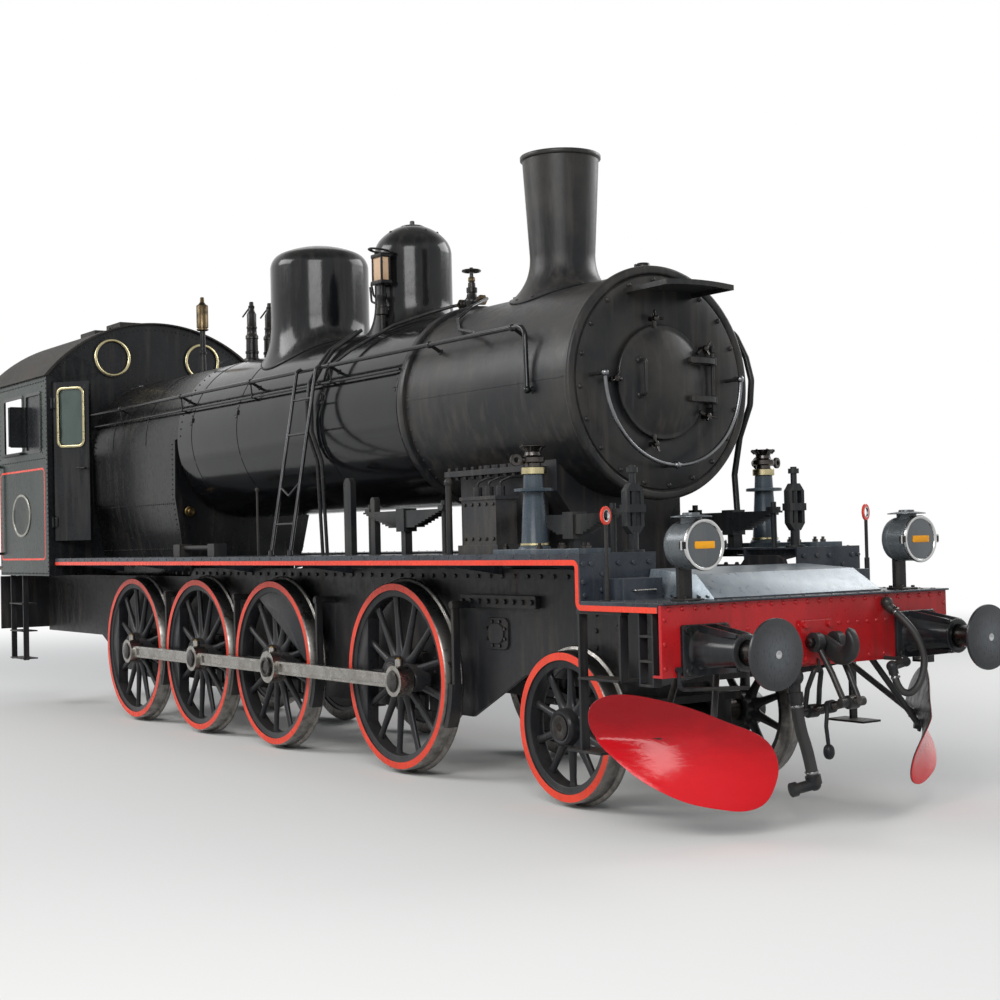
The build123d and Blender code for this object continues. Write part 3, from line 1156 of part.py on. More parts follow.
# Leading truck: a radial arm from its pivot to the axle's boxes, with a cross beam
TRUCK_PLATE_Z = (TRUCK_PIVOT_Z - 25, TRUCK_PIVOT_Z + 25)
TRUCK_HALF = 480
BEAM_X = (LEADING_STATION - 264, LEADING_STATION + 256)
arm = plate_xy(
    (
        (TRUCK_PIVOT_X - 120, -110),
        (TRUCK_PIVOT_X - 120, 110),
        (TRUCK_PIVOT_X + 100, 150),
        (BEAM_X[0] + 30, TRUCK_HALF),
        (BEAM_X[0] + 30, -TRUCK_HALF),
        (TRUCK_PIVOT_X + 100, -150),
    ),
    TRUCK_PLATE_Z,
)
window = (
    (TRUCK_PIVOT_X + 240, -100), (TRUCK_PIVOT_X + 240, 100), (BEAM_X[0] - 30, 340), (BEAM_X[0] - 30, -340)
)
arm = arm - plate_xy(window, (TRUCK_PIVOT_Z - 100, TRUCK_PIVOT_Z + 100))
truck = arm + block(BEAM_X, (-TRUCK_HALF, TRUCK_HALF), (TRUCK_PIVOT_Z + 5, TRUCK_PIVOT_Z + 55))
truck = truck + block(
    (BEAM_X[0] + 70, BEAM_X[1] - 70), (-200, 200), (TRUCK_PIVOT_Z + 55, TRUCK_PIVOT_Z + 150)
)
for side in (-1, 1):
    box_y = sorted((side * (TRUCK_HALF - 130), side * TRUCK_HALF))
    truck = truck + block(
        (LEADING_STATION - 154, LEADING_STATION + 156), box_y, (LEADING_R - 135, TRUCK_PIVOT_Z + 15)
    )
truck = truck - bar(
    (LEADING_STATION, -900, LEADING_R), (LEADING_STATION, 900, LEADING_R), LEADING_AXLE_R + RUNNING_FIT
)
truck = truck - bar((TRUCK_PIVOT_X, 0, 400), (TRUCK_PIVOT_X, 0, 800), TRUCK_PIVOT_R + RUNNING_FIT)
save("leading_truck", truck)

# Leaf springs over the front coupled axle and the leading axle, with their hangers.
# Rows are (station, distance from the middle, top of the stack, half length, leaves).
SPRINGS = ((0, 690, 1915, 560, 9), (LEADING_STATION, 690, 1835, 430, 9))
LEAF = 14
LEAF_HALF_WIDTH = 45
HANGER_TOP_RISE = 60


def leaf_spring(station, y, top, half_length, leaves):
    """A stepped stack of leaves in its buckle, on a pillar, between two hangers."""
    stack = block((station - 30, station + 30), (y - 30, y + 30), (BOARD_TOP, top - LEAF * leaves))
    for number in range(leaves):
        reach = half_length * (1 - 0.75 * number / leaves)
        leaf_z = (top - LEAF * (number + 1), top - LEAF * number)
        stack = stack + block(
            (station - reach, station + reach), (y - LEAF_HALF_WIDTH, y + LEAF_HALF_WIDTH), leaf_z
        )
    buckle_y = (y - LEAF_HALF_WIDTH - 12, y + LEAF_HALF_WIDTH + 12)
    stack = stack + block((station - 55, station + 55), buckle_y, (top - LEAF * leaves - 30, top + 16))
    for end in (-1, 1):
        x = station + end * (half_length - 40)
        stack = stack + bar((x, y, BOARD_TOP), (x, y, top + HANGER_TOP_RISE), 20)
        stack = stack + block((x - 34, x + 34), (y - 34, y + 34), (top, top + 26))
    return stack


springs = [
    leaf_spring(station, -y, top, half_length, leaves) for station, y, top, half_length, leaves in SPRINGS
]
# Turnbuckles ahead of the leading springs: an open frame on a stem, a nut and the screw's neck
TURNBUCKLE = (2640, -690)
TURNBUCKLE_Z = (BOARD_TOP + 110, BOARD_TOP + 420)
TURNBUCKLE_HALF = 68
TURNBUCKLE_NECK_HALF = 30
TURNBUCKLE_THICK_HALF = 26
TURNBUCKLE_BAR = 26
TURNBUCKLE_TOP = BOARD_TOP + 530
SHOULDER = 48
SCREW_R = 21
STEM_R = 31
COLLAR_R = 36
COLLAR_FROM_TOP = (44, 12)
FOOT_R = 66
FOOT_THICK = 14
NUT_HALF = 24
NUT_PROUD = 7
OVERLAP = 10
x, y = TURNBUCKLE
low, high = TURNBUCKLE_Z
shoulders = (
    (y - TURNBUCKLE_NECK_HALF, low),
    (y + TURNBUCKLE_NECK_HALF, low),
    (y + TURNBUCKLE_HALF, low + SHOULDER),
    (y + TURNBUCKLE_HALF, high - SHOULDER),
    (y + TURNBUCKLE_NECK_HALF, high),
    (y - TURNBUCKLE_NECK_HALF, high),
    (y - TURNBUCKLE_HALF, high - SHOULDER),
    (y - TURNBUCKLE_HALF, low + SHOULDER),
)
turnbuckle = plate_yz(shoulders, (x - TURNBUCKLE_THICK_HALF, x + TURNBUCKLE_THICK_HALF))
inside = TURNBUCKLE_HALF - TURNBUCKLE_BAR
turnbuckle = turnbuckle - block(
    (x - COLLAR_R, x + COLLAR_R), (y - inside, y + inside), (low + SHOULDER, high - SHOULDER)
)
turnbuckle = turnbuckle + bar((x, y, low + OVERLAP), (x, y, TURNBUCKLE_TOP), SCREW_R)
turnbuckle = turnbuckle + bar((x, y, BOARD_TOP), (x, y, low + OVERLAP), STEM_R)
nut_z = (low + high) / 2
nut_half_width = TURNBUCKLE_HALF + NUT_PROUD
turnbuckle = turnbuckle + block(
    (x - COLLAR_R, x + COLLAR_R),
    (y - nut_half_width, y + nut_half_width),
    (nut_z - NUT_HALF, nut_z + NUT_HALF),
)
turnbuckle = turnbuckle + bar(
    (x, y, TURNBUCKLE_TOP - COLLAR_FROM_TOP[0]), (x, y, TURNBUCKLE_TOP - COLLAR_FROM_TOP[1]), COLLAR_R
)
turnbuckle = turnbuckle + bar((x, y, BOARD_TOP), (x, y, BOARD_TOP + FOOT_THICK), FOOT_R)
springs.append(turnbuckle)
# Stay plates behind the front springs: (station, half width, top)
STAYS = ((-840, 55, 2195), (-452, 32, 2030))
for x, half, top in STAYS:
    foot = block((x - half, x + half), (-715, -665), (BOARD_TOP, top - half))
    springs.append(foot + bar((x, -715, top - half), (x, -665, top - half), half))
save("leaf_springs", *[pair(item) for item in springs])

# Brake gear: a hanger and block ahead of each coupled wheel
brakes = []
BRAKE_Y = (TYRE_BACK_Y + FLANGE_WIDTH + 6, TYRE_FACE_Y - 14)
BRAKE_CLEAR = 14
HANGER_REACH = 50
HANGER_TOP = 1230
for station in COUPLED_STATIONS:
    reach = COUPLED_R + BRAKE_CLEAR
    shoe = bar((station, BRAKE_Y[0], COUPLED_R), (station, BRAKE_Y[1], COUPLED_R), reach + 46)
    shoe = shoe - bar((station, 0, COUPLED_R), (station, 1000, COUPLED_R), reach)
    shoe = shoe & block(
        (station + COUPLED_R - 130, station + COUPLED_R + 70), (600, 900), (COUPLED_R - 330, COUPLED_R - 20)
    )
    hanger_x = station + COUPLED_R + HANGER_REACH
    shoe = shoe + block((hanger_x - 15, hanger_x + 15), (735, 790), (COUPLED_R - 60, HANGER_TOP + 30))
    shoe = shoe + bar((hanger_x, FRAME_OUTER_Y, HANGER_TOP), (hanger_x, 800, HANGER_TOP), 26)
    brakes.append(shoe)
save("brake_gear", *[pair(item) for item in brakes])

# Buffers: base plate, tapered housing, plunger and domed head
BUFFER_BASE = 177
HOUSING_LENGTH = 350
buffer = turned(
    [
        (BEAM_FACE_X, 0),
        (BEAM_FACE_X, 140),
        (BEAM_FACE_X + 34, 128),
        (BEAM_FACE_X + HOUSING_LENGTH - 20, 92),
        (BEAM_FACE_X + HOUSING_LENGTH - 18, 104),
        (BEAM_FACE_X + HOUSING_LENGTH, 104),
        (BEAM_FACE_X + HOUSING_LENGTH + 2, 66),
        (BUFFER_FACE_X - 70, 66),
        (BUFFER_FACE_X - 60, 130),
        (BUFFER_FACE_X - 34, BUFFER_HEAD_R),
        (BUFFER_FACE_X - 14, BUFFER_HEAD_R),
        (BUFFER_FACE_X - 4, 120),
        (BUFFER_FACE_X, 60),
        (BUFFER_FACE_X, 0),
    ],
    (0, -BUFFER_Y, BUFFER_Z),
    (1, 0, 0),
)
base = block(
    (BEAM_FACE_X, BEAM_FACE_X + 22),
    (-BUFFER_Y - BUFFER_BASE, -BUFFER_Y + BUFFER_BASE),
    (BUFFER_Z - 142, BUFFER_Z + 150),
)
save("buffers", pair(buffer + base))

# Draw hook with the screw coupling that hangs from it
HOOK_X = BEAM_FACE_X + 200
hook = block((BEAM_FACE_X, BEAM_FACE_X + 30), (-130, 130), (BUFFER_Z - 130, BUFFER_Z + 130))
hook = hook + block((BEAM_FACE_X, HOOK_X - 10), (-28, 28), (BUFFER_Z - 45, BUFFER_Z + 45))
hook_curl = bar((HOOK_X, -28, BUFFER_Z), (HOOK_X, 28, BUFFER_Z), 100)
hook_curl = hook_curl - bar((HOOK_X + 10, -40, BUFFER_Z + 20), (HOOK_X + 10, 40, BUFFER_Z + 20), 42)
hook_curl = hook_curl - block((HOOK_X - 20, HOOK_X + 120), (-40, 40), (BUFFER_Z + 30, BUFFER_Z + 200))
hook = hook + hook_curl
SHACKLE_X = BEAM_FACE_X + 108
LINK_HALF = 62
SCREW_TOP = BUFFER_Z - 190
SCREW_BOTTOM = BUFFER_Z - 430
coupling = bar((SHACKLE_X, -LINK_HALF, BUFFER_Z), (SHACKLE_X, LINK_HALF, BUFFER_Z), 20)
for y in (-LINK_HALF, LINK_HALF):
    coupling = coupling + bar((SHACKLE_X, y, BUFFER_Z), (SHACKLE_X + 20, y, SCREW_TOP), 17)
    coupling = coupling + bar((SHACKLE_X + 20, y, SCREW_BOTTOM), (SHACKLE_X + 5, y, SCREW_BOTTOM - 190), 17)
for z in (SCREW_TOP, SCREW_BOTTOM):
    coupling = coupling + bar((SHACKLE_X + 20, -LINK_HALF - 22, z), (SHACKLE_X + 20, LINK_HALF + 22, z), 27)
coupling = coupling + bar((SHACKLE_X + 20, 0, SCREW_BOTTOM - 30), (SHACKLE_X + 20, 0, SCREW_TOP + 30), 21)
coupling = coupling + bar(
    (SHACKLE_X + 5, -LINK_HALF, SCREW_BOTTOM - 190), (SHACKLE_X + 5, LINK_HALF, SCREW_BOTTOM - 190), 17
)
handle_z = (SCREW_TOP + SCREW_BOTTOM) / 2
coupling = coupling + bar((SHACKLE_X + 20, 0, handle_z), (SHACKLE_X + 60, 150, handle_z - 70), 12)
coupling = coupling + Pos(SHACKLE_X + 60, 150, handle_z - 70) * Sphere(30)
save("draw_gear", hook + coupling)

# Headlamps on their posts, and the marker discs on their rods
LAMP = (3450, 900, 1629)
LAMP_R = 135
LAMP_CAP_R = 92
LAMP_NECK_R = 80
LAMP_CAP_RISE = 34
LAMP_CAP_THICK = 10
LAMP_CAP_SUNK = 30
lamp_profile = [
    (0, 0), (0, LAMP_R - 15), (8, LAMP_R - 7), (128, LAMP_R - 7), (134, LAMP_R), (150, LAMP_R), (150, 0)
]
lamp = turned(lamp_profile, (LAMP[0] - 80, -LAMP[1], LAMP[2]), (1, 0, 0))
cap_z = LAMP[2] + LAMP_R + LAMP_CAP_RISE
lamp = lamp + bar(
    (LAMP[0], -LAMP[1], LAMP[2] + LAMP_R - LAMP_CAP_SUNK), (LAMP[0], -LAMP[1], cap_z), LAMP_NECK_R
)
lamp = lamp + bar((LAMP[0], -LAMP[1], cap_z - LAMP_CAP_THICK), (LAMP[0], -LAMP[1], cap_z), LAMP_CAP_R)
# The bracket stands behind the drum, on a foot
LAMP_BRACKET_X = (3318, 3346)
LAMP_BRACKET_HALF = 48
LAMP_FOOT_X = (3290, 3420)
LAMP_FOOT_HALF = 70
LAMP_FOOT_THICK = 14
bracket_y = (-LAMP[1] - LAMP_BRACKET_HALF, -LAMP[1] + LAMP_BRACKET_HALF)
lamp = lamp + block(LAMP_BRACKET_X, bracket_y, (PLATFORM_TOP, LAMP[2] + LAMP_BRACKET_HALF))
lamp = lamp + block((LAMP_BRACKET_X[0], LAMP[0]), bracket_y, (LAMP[2] - LAMP_BRACKET_HALF, LAMP[2] + LAMP_BRACKET_HALF))
foot_y = (-LAMP[1] - LAMP_FOOT_HALF, -LAMP[1] + LAMP_FOOT_HALF)
lamp = lamp + block(LAMP_FOOT_X, foot_y, (PLATFORM_TOP, PLATFORM_TOP + LAMP_FOOT_THICK))
MARKER = (2930, 1100, 1820)
MARKER_R = 55
MARKER_HOLE_R = 31
marker = bar((MARKER[0], -MARKER[1], PLATFORM_TOP), (MARKER[0], -MARKER[1], MARKER[2] - MARKER_R + 8), 11)
marker = marker + bar(
    (MARKER[0] - 7, -MARKER[1], MARKER[2]), (MARKER[0] + 7, -MARKER[1], MARKER[2]), MARKER_R
)
marker = marker - bar(
    (MARKER[0] - MARKER_R, -MARKER[1], MARKER[2]),
    (MARKER[0] + MARKER_R, -MARKER[1], MARKER[2]),
    MARKER_HOLE_R,
)
save("lamps", pair(lamp), pair(marker))

# Rail ploughs: dished plates ahead of the leading wheels, on stays from the frames.
# The plate's plane leans and turns outwards; its outline is (along, up) from the middle.
PLOUGH_MIDDLE = Vector(3402, -950, 452)
PLOUGH_ALONG = Vector(0.766, 0.643, 0)
PLOUGH_NORMAL = Vector(0.633, -0.754, -0.174)
PLOUGH_DISH_R = 1150
PLOUGH_PLATE = 12
PLOUGH_OUTLINE = (
    (-568, 222),
    (-538, 102),
    (-457, -9),
    (-331, -122),
    (-165, -219),
    (-3, -278),
    (176, -306),
    (310, -309),
    (406, -269),
    (459, -190),
    (487, -40),
    (422, 94),
    (266, 176),
    (25, 278),
    (-169, 335),
    (-352, 364),
    (-470, 345),
    (-543, 293),
)
outline = make_face(Spline(*[Vector(along, up) for along, up in PLOUGH_OUTLINE], periodic=True))
outline = extrude(outline, amount=400, both=True)
shell = Cylinder(PLOUGH_DISH_R + PLOUGH_PLATE, 1600) - Cylinder(PLOUGH_DISH_R, 1700)
shell = Pos(0, 0, PLOUGH_DISH_R) * Rot(0, 90, 0) * shell
plate = outline & shell & Pos(0, 0, 200) * Box(3000, 3000, 640)
plough = Plane(origin=PLOUGH_MIDDLE, x_dir=PLOUGH_ALONG, z_dir=PLOUGH_NORMAL).location * plate
foot_y = -FRAME_OUTER_Y - 14
plough = plough + block((2930, 3330), (foot_y, -FRAME_OUTER_Y), (920, 1010))
# Stays: (foot along the engine, share along the plate, up the plate)
PLOUGH_STAYS = ((2980, -180, 60), (3280, 120, 20))
up_plate = PLOUGH_NORMAL.cross(PLOUGH_ALONG)
for foot_x, along, up in PLOUGH_STAYS:
    tip = PLOUGH_MIDDLE + PLOUGH_ALONG * along + up_plate * up - PLOUGH_NORMAL * (PLOUGH_PLATE / 2)
    plough = plough + bar((foot_x, foot_y, 960), (tip.X, tip.Y, tip.Z), 20)
plough = plough - block((2900, 3400), (-FRAME_OUTER_Y, 0), (700, 1200))
save("rail_ploughs", pair(plough))

# Steps: irons below the platform's corner, rungs behind the beam, and below the cab
STEP_Y = (-1170, -1110)
TREAD_Y = (-1185, -1015)
STEP_IRON = 20
TREAD = 14
# Front irons: (station, bottom); the rung and the tread: (rear, front, height)
FRONT_IRONS = ((2690, 420), (3070, 850))
FRONT_TREADS = ((2690, 3070, 850), (2570, 2890, 420))
step = block(
    (2690 - STEP_IRON, 3070 + STEP_IRON),
    STEP_Y,
    (PLATFORM_TOP - PLATFORM_VALANCE - 20, PLATFORM_TOP - PLATFORM_VALANCE),
)
for x, bottom in FRONT_IRONS:
    top = PLATFORM_BOTTOM if x > BOARD_STEP_X else PLATFORM_TOP - PLATFORM_VALANCE
    step = step + block((x - STEP_IRON / 2, x + STEP_IRON / 2), STEP_Y, (bottom, top))
for rear, front, z in FRONT_TREADS:
    step = step + block((rear, front), TREAD_Y, (z, z + TREAD))
SIDE_RUNGS_X = (3236, 3366)
rungs = block((SIDE_RUNGS_X[0], SIDE_RUNGS_X[0] + 14), STEP_Y, (840, PLATFORM_BOTTOM))
rungs = rungs + block((SIDE_RUNGS_X[1] - 14, SIDE_RUNGS_X[1]), STEP_Y, (840, PLATFORM_BOTTOM))
for z in (840, 976, 1116):
    rungs = rungs + block(SIDE_RUNGS_X, STEP_Y, (z, z + TREAD))
CAB_STEP_X = (CAB_REAR_X + 100, CAB_REAR_X + 520)
cab_step_top = CAB_FLOOR_TOP - 40
cab_step = block((CAB_STEP_X[0], CAB_STEP_X[0] + STEP_IRON), STEP_Y, (480, cab_step_top))
cab_step = cab_step + block((CAB_STEP_X[1] - STEP_IRON, CAB_STEP_X[1]), STEP_Y, (480, cab_step_top))
for z in (490, 790, 1090):
    cab_step = cab_step + block(CAB_STEP_X, TREAD_Y, (z, z + TREAD))
save("steps", pair(step), pair(rungs), pair(cab_step))

# Screw jacks carried on the running boards, each on its foot slab
JACK = (2040, -1000)
jack_profile = [(0, 0), (0, 105), (40, 100), (60, 86), (390, 66), (392, 125), (412, 125), (414, 64)]
jack_profile = jack_profile + [
    (500, 60),
    (505, 74),
    (545, 74),
    (550, 50),
    (570, 50),
    (575, 74),
    (610, 74),
    (640, 50),
    (680, 86),
    (680, 0),
]
jack = turned(jack_profile, (*JACK, BOARD_TOP), (0, 0, 1))
jack = jack + block(
    (JACK[0] - 290, JACK[0] + 610), (JACK[1] - 120, JACK[1] + 120), (BOARD_TOP, BOARD_TOP + 30)
)
jack = jack + bar((JACK[0] - 90, JACK[1], BOARD_TOP + 590), (JACK[0] - 20, JACK[1], BOARD_TOP + 590), 26)
save("screw_jacks", pair(jack))

# Mechanical lubricator beside the smokebox saddle, its post, and the gear on the right board
lubricator = block((1170, 1560), (-960, -790), (BOARD_TOP + 60, BOARD_TOP + 360))
lubricator = lubricator + block((1130, 1600), (-980, -775), (BOARD_TOP, BOARD_TOP + 60))
lubricator = lubricator + block((1150, 1580), (-975, -780), (BOARD_TOP + 360, BOARD_TOP + 384))
for x in (1230, 1365, 1500):
    lubricator = lubricator + bar((x, -875, BOARD_TOP + 380), (x, -875, BOARD_TOP + 450), 30)
save("lubricator", lubricator)
# Posts and rods on the board: (station, distance out, top, radius)
BOARD_POSTS = ((1060, 1000, 2100, 22), (-1840, 1000, 2160, 9))
board_gear = []
for x, y, top, post_r in BOARD_POSTS:
    post = bar((x, -y, BOARD_TOP), (x, -y, top - 20), post_r) + Pos(x, -y, top - 20) * Sphere(post_r + 9)
    board_gear.append(post)
REVERSE_ROD = ((-3650, -2790), 900, BOARD_TOP + 78)
rod = bar(
    (REVERSE_ROD[0][0], -REVERSE_ROD[1], REVERSE_ROD[2]),
    (REVERSE_ROD[0][1], -REVERSE_ROD[1], REVERSE_ROD[2]),
    24,
)
for x in (REVERSE_ROD[0][0] + 60, REVERSE_ROD[0][1] - 60):
    rod = rod + block(
        (x - 70, x + 70), (-REVERSE_ROD[1] - 60, -REVERSE_ROD[1] + 60), (BOARD_TOP, REVERSE_ROD[2] + 36)
    )
board_gear.append(rod)
save("board_gear", *board_gear)

# Under the beam: tap and holder of the brake hose, hose for steam heat with its collars,
# and the coupling handle
HOSE_R = 22
HOSE_POINTS = (
    (3525, 620, 1195),
    (3610, 632, 1135),
    (3675, 680, 1015),
    (3690, 705, 880),
    (3675, 665, 745),
    (3650, 590, 690),
    (3620, 530, 735),
    (3600, 525, 815),
)
HEAT_HOSE_R = 35
HEAT_HOSE_POINTS = ((3550, -256, 700), (3560, -246, 560), (3592, -215, 420), (3600, -190, 280))


def tangent_radii(points):
    """The bend at each inner point: 0.45 of the shorter run over the half turn's tangent."""
    radii = []
    for before, corner, after in zip(points[:-2], points[1:-1], points[2:]):
        come = Vector(*corner) - Vector(*before)
        go = Vector(*after) - Vector(*corner)
        radii.append(0.45 * min(come.length, go.length) / math.tan(math.radians(come.get_angle(go) / 2)))
    return radii


def cord(points, radius):
    """A hose along straight runs, joined by an arc of its own at each corner."""
    vectors = [Vector(*point) for point in points]
    edges = []
    last = vectors[0]
    for number, bend in enumerate(tangent_radii(points)):
        corner = vectors[number + 1]
        come = (corner - vectors[number]).normalized()
        go = (vectors[number + 2] - corner).normalized()
        half = math.radians(come.get_angle(go) / 2)
        cut = bend * math.tan(half)
        start, end = corner - come * cut, corner + go * cut
        inward = (go - come).normalized()
        middle = corner + inward * (bend / math.cos(half) - bend)
        edges.append(Line(last, start))
        edges.append(ThreePointArc(start, middle, end))
        last = end
    edges.append(Line(last, vectors[-1]))
    route = Wire(edges)
    section = Plane(origin=vectors[0], z_dir=vectors[1] - vectors[0]) * Circle(radius)
    print("cord radii", [round(bend) for bend in tangent_radii(points)], "length", round(route.length))
    return sweep(section, path=route)


def collar(end, towards, radius, length):
    """A short round collar whose face meets a hose's end."""
    away = (Vector(*end) - Vector(*towards)).normalized() * length
    tip = Vector(*end) + away
    return bar(end, (tip.X, tip.Y, tip.Z), radius)


save("brake_hose", cord(HOSE_POINTS, HOSE_R))
save("heating_hose", cord(HEAT_HOSE_POINTS, HEAT_HOSE_R))
beam_space = block(
    (BEAM_FACE_X - 300, BEAM_FACE_X), (-BEAM_HALF, BEAM_HALF), (BEAM_BOTTOM - 60, PLATFORM_TOP)
)
TAP = (3487, 608, 1244)
hose_tap = collar(HOSE_POINTS[0], HOSE_POINTS[1], 30, 62) + Pos(*TAP) * Sphere(36)
hose_tap = hose_tap + bar((BEAM_FACE_X, TAP[1], TAP[2]), TAP, 28)
# The hose's coupling head hangs on its holder
HOLDER = (3578, 600, 905)
HEAD = (3589, 522, 864)
HEAD_TIP = (3589, 645, 884)
HOOK_Z = 880
hose_end = collar(HOSE_POINTS[-1], HOSE_POINTS[-2], 30, 45) + Pos(*HEAD) * Sphere(36)
hose_end = hose_end + bar(HEAD, HEAD_TIP, 26) + Pos(*HEAD_TIP) * Sphere(30)
hose_end = hose_end + bar((HOLDER[0], HOLDER[1], HOOK_Z), HOLDER, 12)
hose_end = hose_end + bar((BEAM_FACE_X, HOLDER[1], HOLDER[2]), (HOLDER[0] + 10, HOLDER[1], HOLDER[2]), 12)
# Tap of the steam heat hose below the beam, and the elbow at the hose's lower end
HEAT_TAP = (3546, -260, 850)
heat_tap = collar(HEAT_HOSE_POINTS[0], HEAT_HOSE_POINTS[1], 46, 60)
heat_tap = heat_tap + bar((HEAT_TAP[0], HEAT_TAP[1], 750), HEAT_TAP, 34) + Pos(*HEAT_TAP) * Sphere(52)
heat_tap = heat_tap + bar((BEAM_FACE_X - 10, HEAT_TAP[1], 950), HEAT_TAP, 34)
HEAT_ELBOW = (3603, -181, 231)
HEAT_MOUTH = (3560, -325, 205)
heat_end = collar(HEAT_HOSE_POINTS[-1], HEAT_HOSE_POINTS[-2], 46, 50)
heat_end = heat_end + Pos(*HEAT_ELBOW) * Sphere(40) + bar(HEAT_ELBOW, HEAT_MOUTH, 32)
heat_end = heat_end + bar((3570, -293, 211), HEAT_MOUTH, 42)
# Handle of the coupling gear, bent round below the right buffer's base
HANDLE_X = BEAM_FACE_X + 14
HANDLE_OUT = (-BUFFER_Y - BUFFER_BASE - 26, BUFFER_Z - 100)
HANDLE_IN = (-FRAME_OUTER_Y + 40, BUFFER_Z - 232)
handle = pipe(
    [(HANDLE_X, *HANDLE_OUT), (HANDLE_X, HANDLE_OUT[0], HANDLE_IN[1] + 25), (HANDLE_X, *HANDLE_IN)], 12, 40
)
handle = handle + bar((BEAM_FACE_X, *HANDLE_OUT), (HANDLE_X + 12, *HANDLE_OUT), 18)
handle = handle + bar((HANDLE_X, *HANDLE_IN), (HANDLE_X, HANDLE_IN[0], BEAM_BOTTOM + 20), 12)
handle = handle + bar(
    (BEAM_FACE_X, HANDLE_IN[0], BEAM_BOTTOM + 30), (HANDLE_X + 12, HANDLE_IN[0], BEAM_BOTTOM + 30), 18
)
save("beam_fittings", *[item - beam_space for item in (hose_tap, hose_end, heat_tap, heat_end, handle)])
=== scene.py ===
import json
import math

import bmesh
import bpy
import numpy as np
from mathutils import Matrix, Vector

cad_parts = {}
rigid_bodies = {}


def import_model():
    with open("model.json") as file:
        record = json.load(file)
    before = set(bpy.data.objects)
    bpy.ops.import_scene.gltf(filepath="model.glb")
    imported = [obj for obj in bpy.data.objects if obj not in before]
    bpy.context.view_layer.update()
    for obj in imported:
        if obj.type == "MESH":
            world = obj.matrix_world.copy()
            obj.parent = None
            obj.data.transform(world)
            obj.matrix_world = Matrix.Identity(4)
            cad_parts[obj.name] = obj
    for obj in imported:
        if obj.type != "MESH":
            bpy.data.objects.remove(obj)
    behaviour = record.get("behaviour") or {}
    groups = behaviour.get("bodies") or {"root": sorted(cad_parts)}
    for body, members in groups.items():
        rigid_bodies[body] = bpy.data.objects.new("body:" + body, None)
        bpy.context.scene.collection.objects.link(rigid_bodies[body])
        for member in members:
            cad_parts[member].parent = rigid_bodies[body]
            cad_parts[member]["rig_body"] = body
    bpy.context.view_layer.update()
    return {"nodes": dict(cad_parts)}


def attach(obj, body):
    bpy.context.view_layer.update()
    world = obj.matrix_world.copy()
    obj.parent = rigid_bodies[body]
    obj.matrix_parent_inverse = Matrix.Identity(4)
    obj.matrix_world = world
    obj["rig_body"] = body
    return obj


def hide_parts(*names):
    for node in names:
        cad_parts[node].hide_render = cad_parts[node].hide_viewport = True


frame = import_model()
bpy.context.scene.view_settings.view_transform = "Standard"

# Camera: it stands ahead of the engine's right side at eye height, about ten metres off,
# with a normal lens, level but for a slight lean.
camera_data = bpy.data.cameras.new("camera")
camera_data.sensor_width = 36
camera_data.lens = 58.19
camera_data.clip_start, camera_data.clip_end = 0.1, 400
camera = bpy.data.objects.new("camera", camera_data)
camera.matrix_world = Matrix((
    (0.57193, 0.032837, 0.819645, 12.325),
    (0.81998, 0.00512, -0.572369, -7.01),
    (-0.022991, 0.999448, -0.023998, 1.717),
    (0, 0, 0, 1),
))
bpy.context.scene.collection.objects.link(camera)
bpy.context.scene.camera = camera

# Studio: a pale floor that runs out into a white surround, lit by three large soft
# boxes and a dome that dims overhead, so that black paint keeps its shape through its reflections.


def linear(code):
    """An sRGB hex colour as linear RGBA, by the sRGB curve."""
    code = code.lstrip("#")
    part = np.array([int(code[i:i + 2], 16) / 255 for i in (0, 2, 4)])
    part = np.where(part <= 0.04045, part / 12.92, ((part + 0.055) / 1.055) ** 2.4)
    return (*part.tolist(), 1.0)


def add(tree, kind, links=None, **settings):
    """A node with its settings; links name an input and what feeds it, a socket or a value."""
    node = tree.nodes.new(kind)
    for name, value in settings.items():
        setattr(node, name, value)
    for name, value in (links or {}).items():
        socket = node.inputs[name]
        if isinstance(value, bpy.types.NodeSocket):
            tree.links.new(value, socket)
        else:
            socket.default_value = value
    return node


def mixed(tree, share, first, second):
    """The colour first + share (second - first), each a hex colour or a node's output."""
    first, second = (linear(c) if isinstance(c, str) else c for c in (first, second))
    return add(tree, "ShaderNodeMix", {0: share, 6: first, 7: second}, data_type="RGBA").outputs[2]


def ranged(tree, value, low=0.0, high=1.0, first=0.0, last=1.0, **more):
    """first + (last - first) (value - low) / (high - low), held between first and last."""
    names = ("Value", "From Min", "From Max", "To Min", "To Max")
    inputs = dict(zip(names, (value, low, high, first, last)))
    return add(tree, "ShaderNodeMapRange", inputs, **more).outputs[0]


def maths(tree, operation, *values):
    """One step of arithmetic on values, by the name that Blender gives it."""
    return add(tree, "ShaderNodeMath", dict(enumerate(values)), operation=operation).outputs[0]


def dented(tree, height, strength, distance):
    """A normal tilted by the slope of a height, as fine dents in the surface would."""
    return add(tree, "ShaderNodeBump", {"Height": height, "Strength": strength,
        "Distance": distance}).outputs[0]


def surfaced(tree, inputs):
    """Ends a material's tree with one principled surface that has these inputs."""
    shader = add(tree, "ShaderNodeBsdfPrincipled", inputs)
    add(tree, "ShaderNodeOutputMaterial", {"Surface": shader.outputs[0]})


def blank(name):
    """A new material with an empty node tree."""
    material = bpy.data.materials.new(name)
    material.use_nodes = True
    material.node_tree.nodes.clear()
    return material, material.node_tree


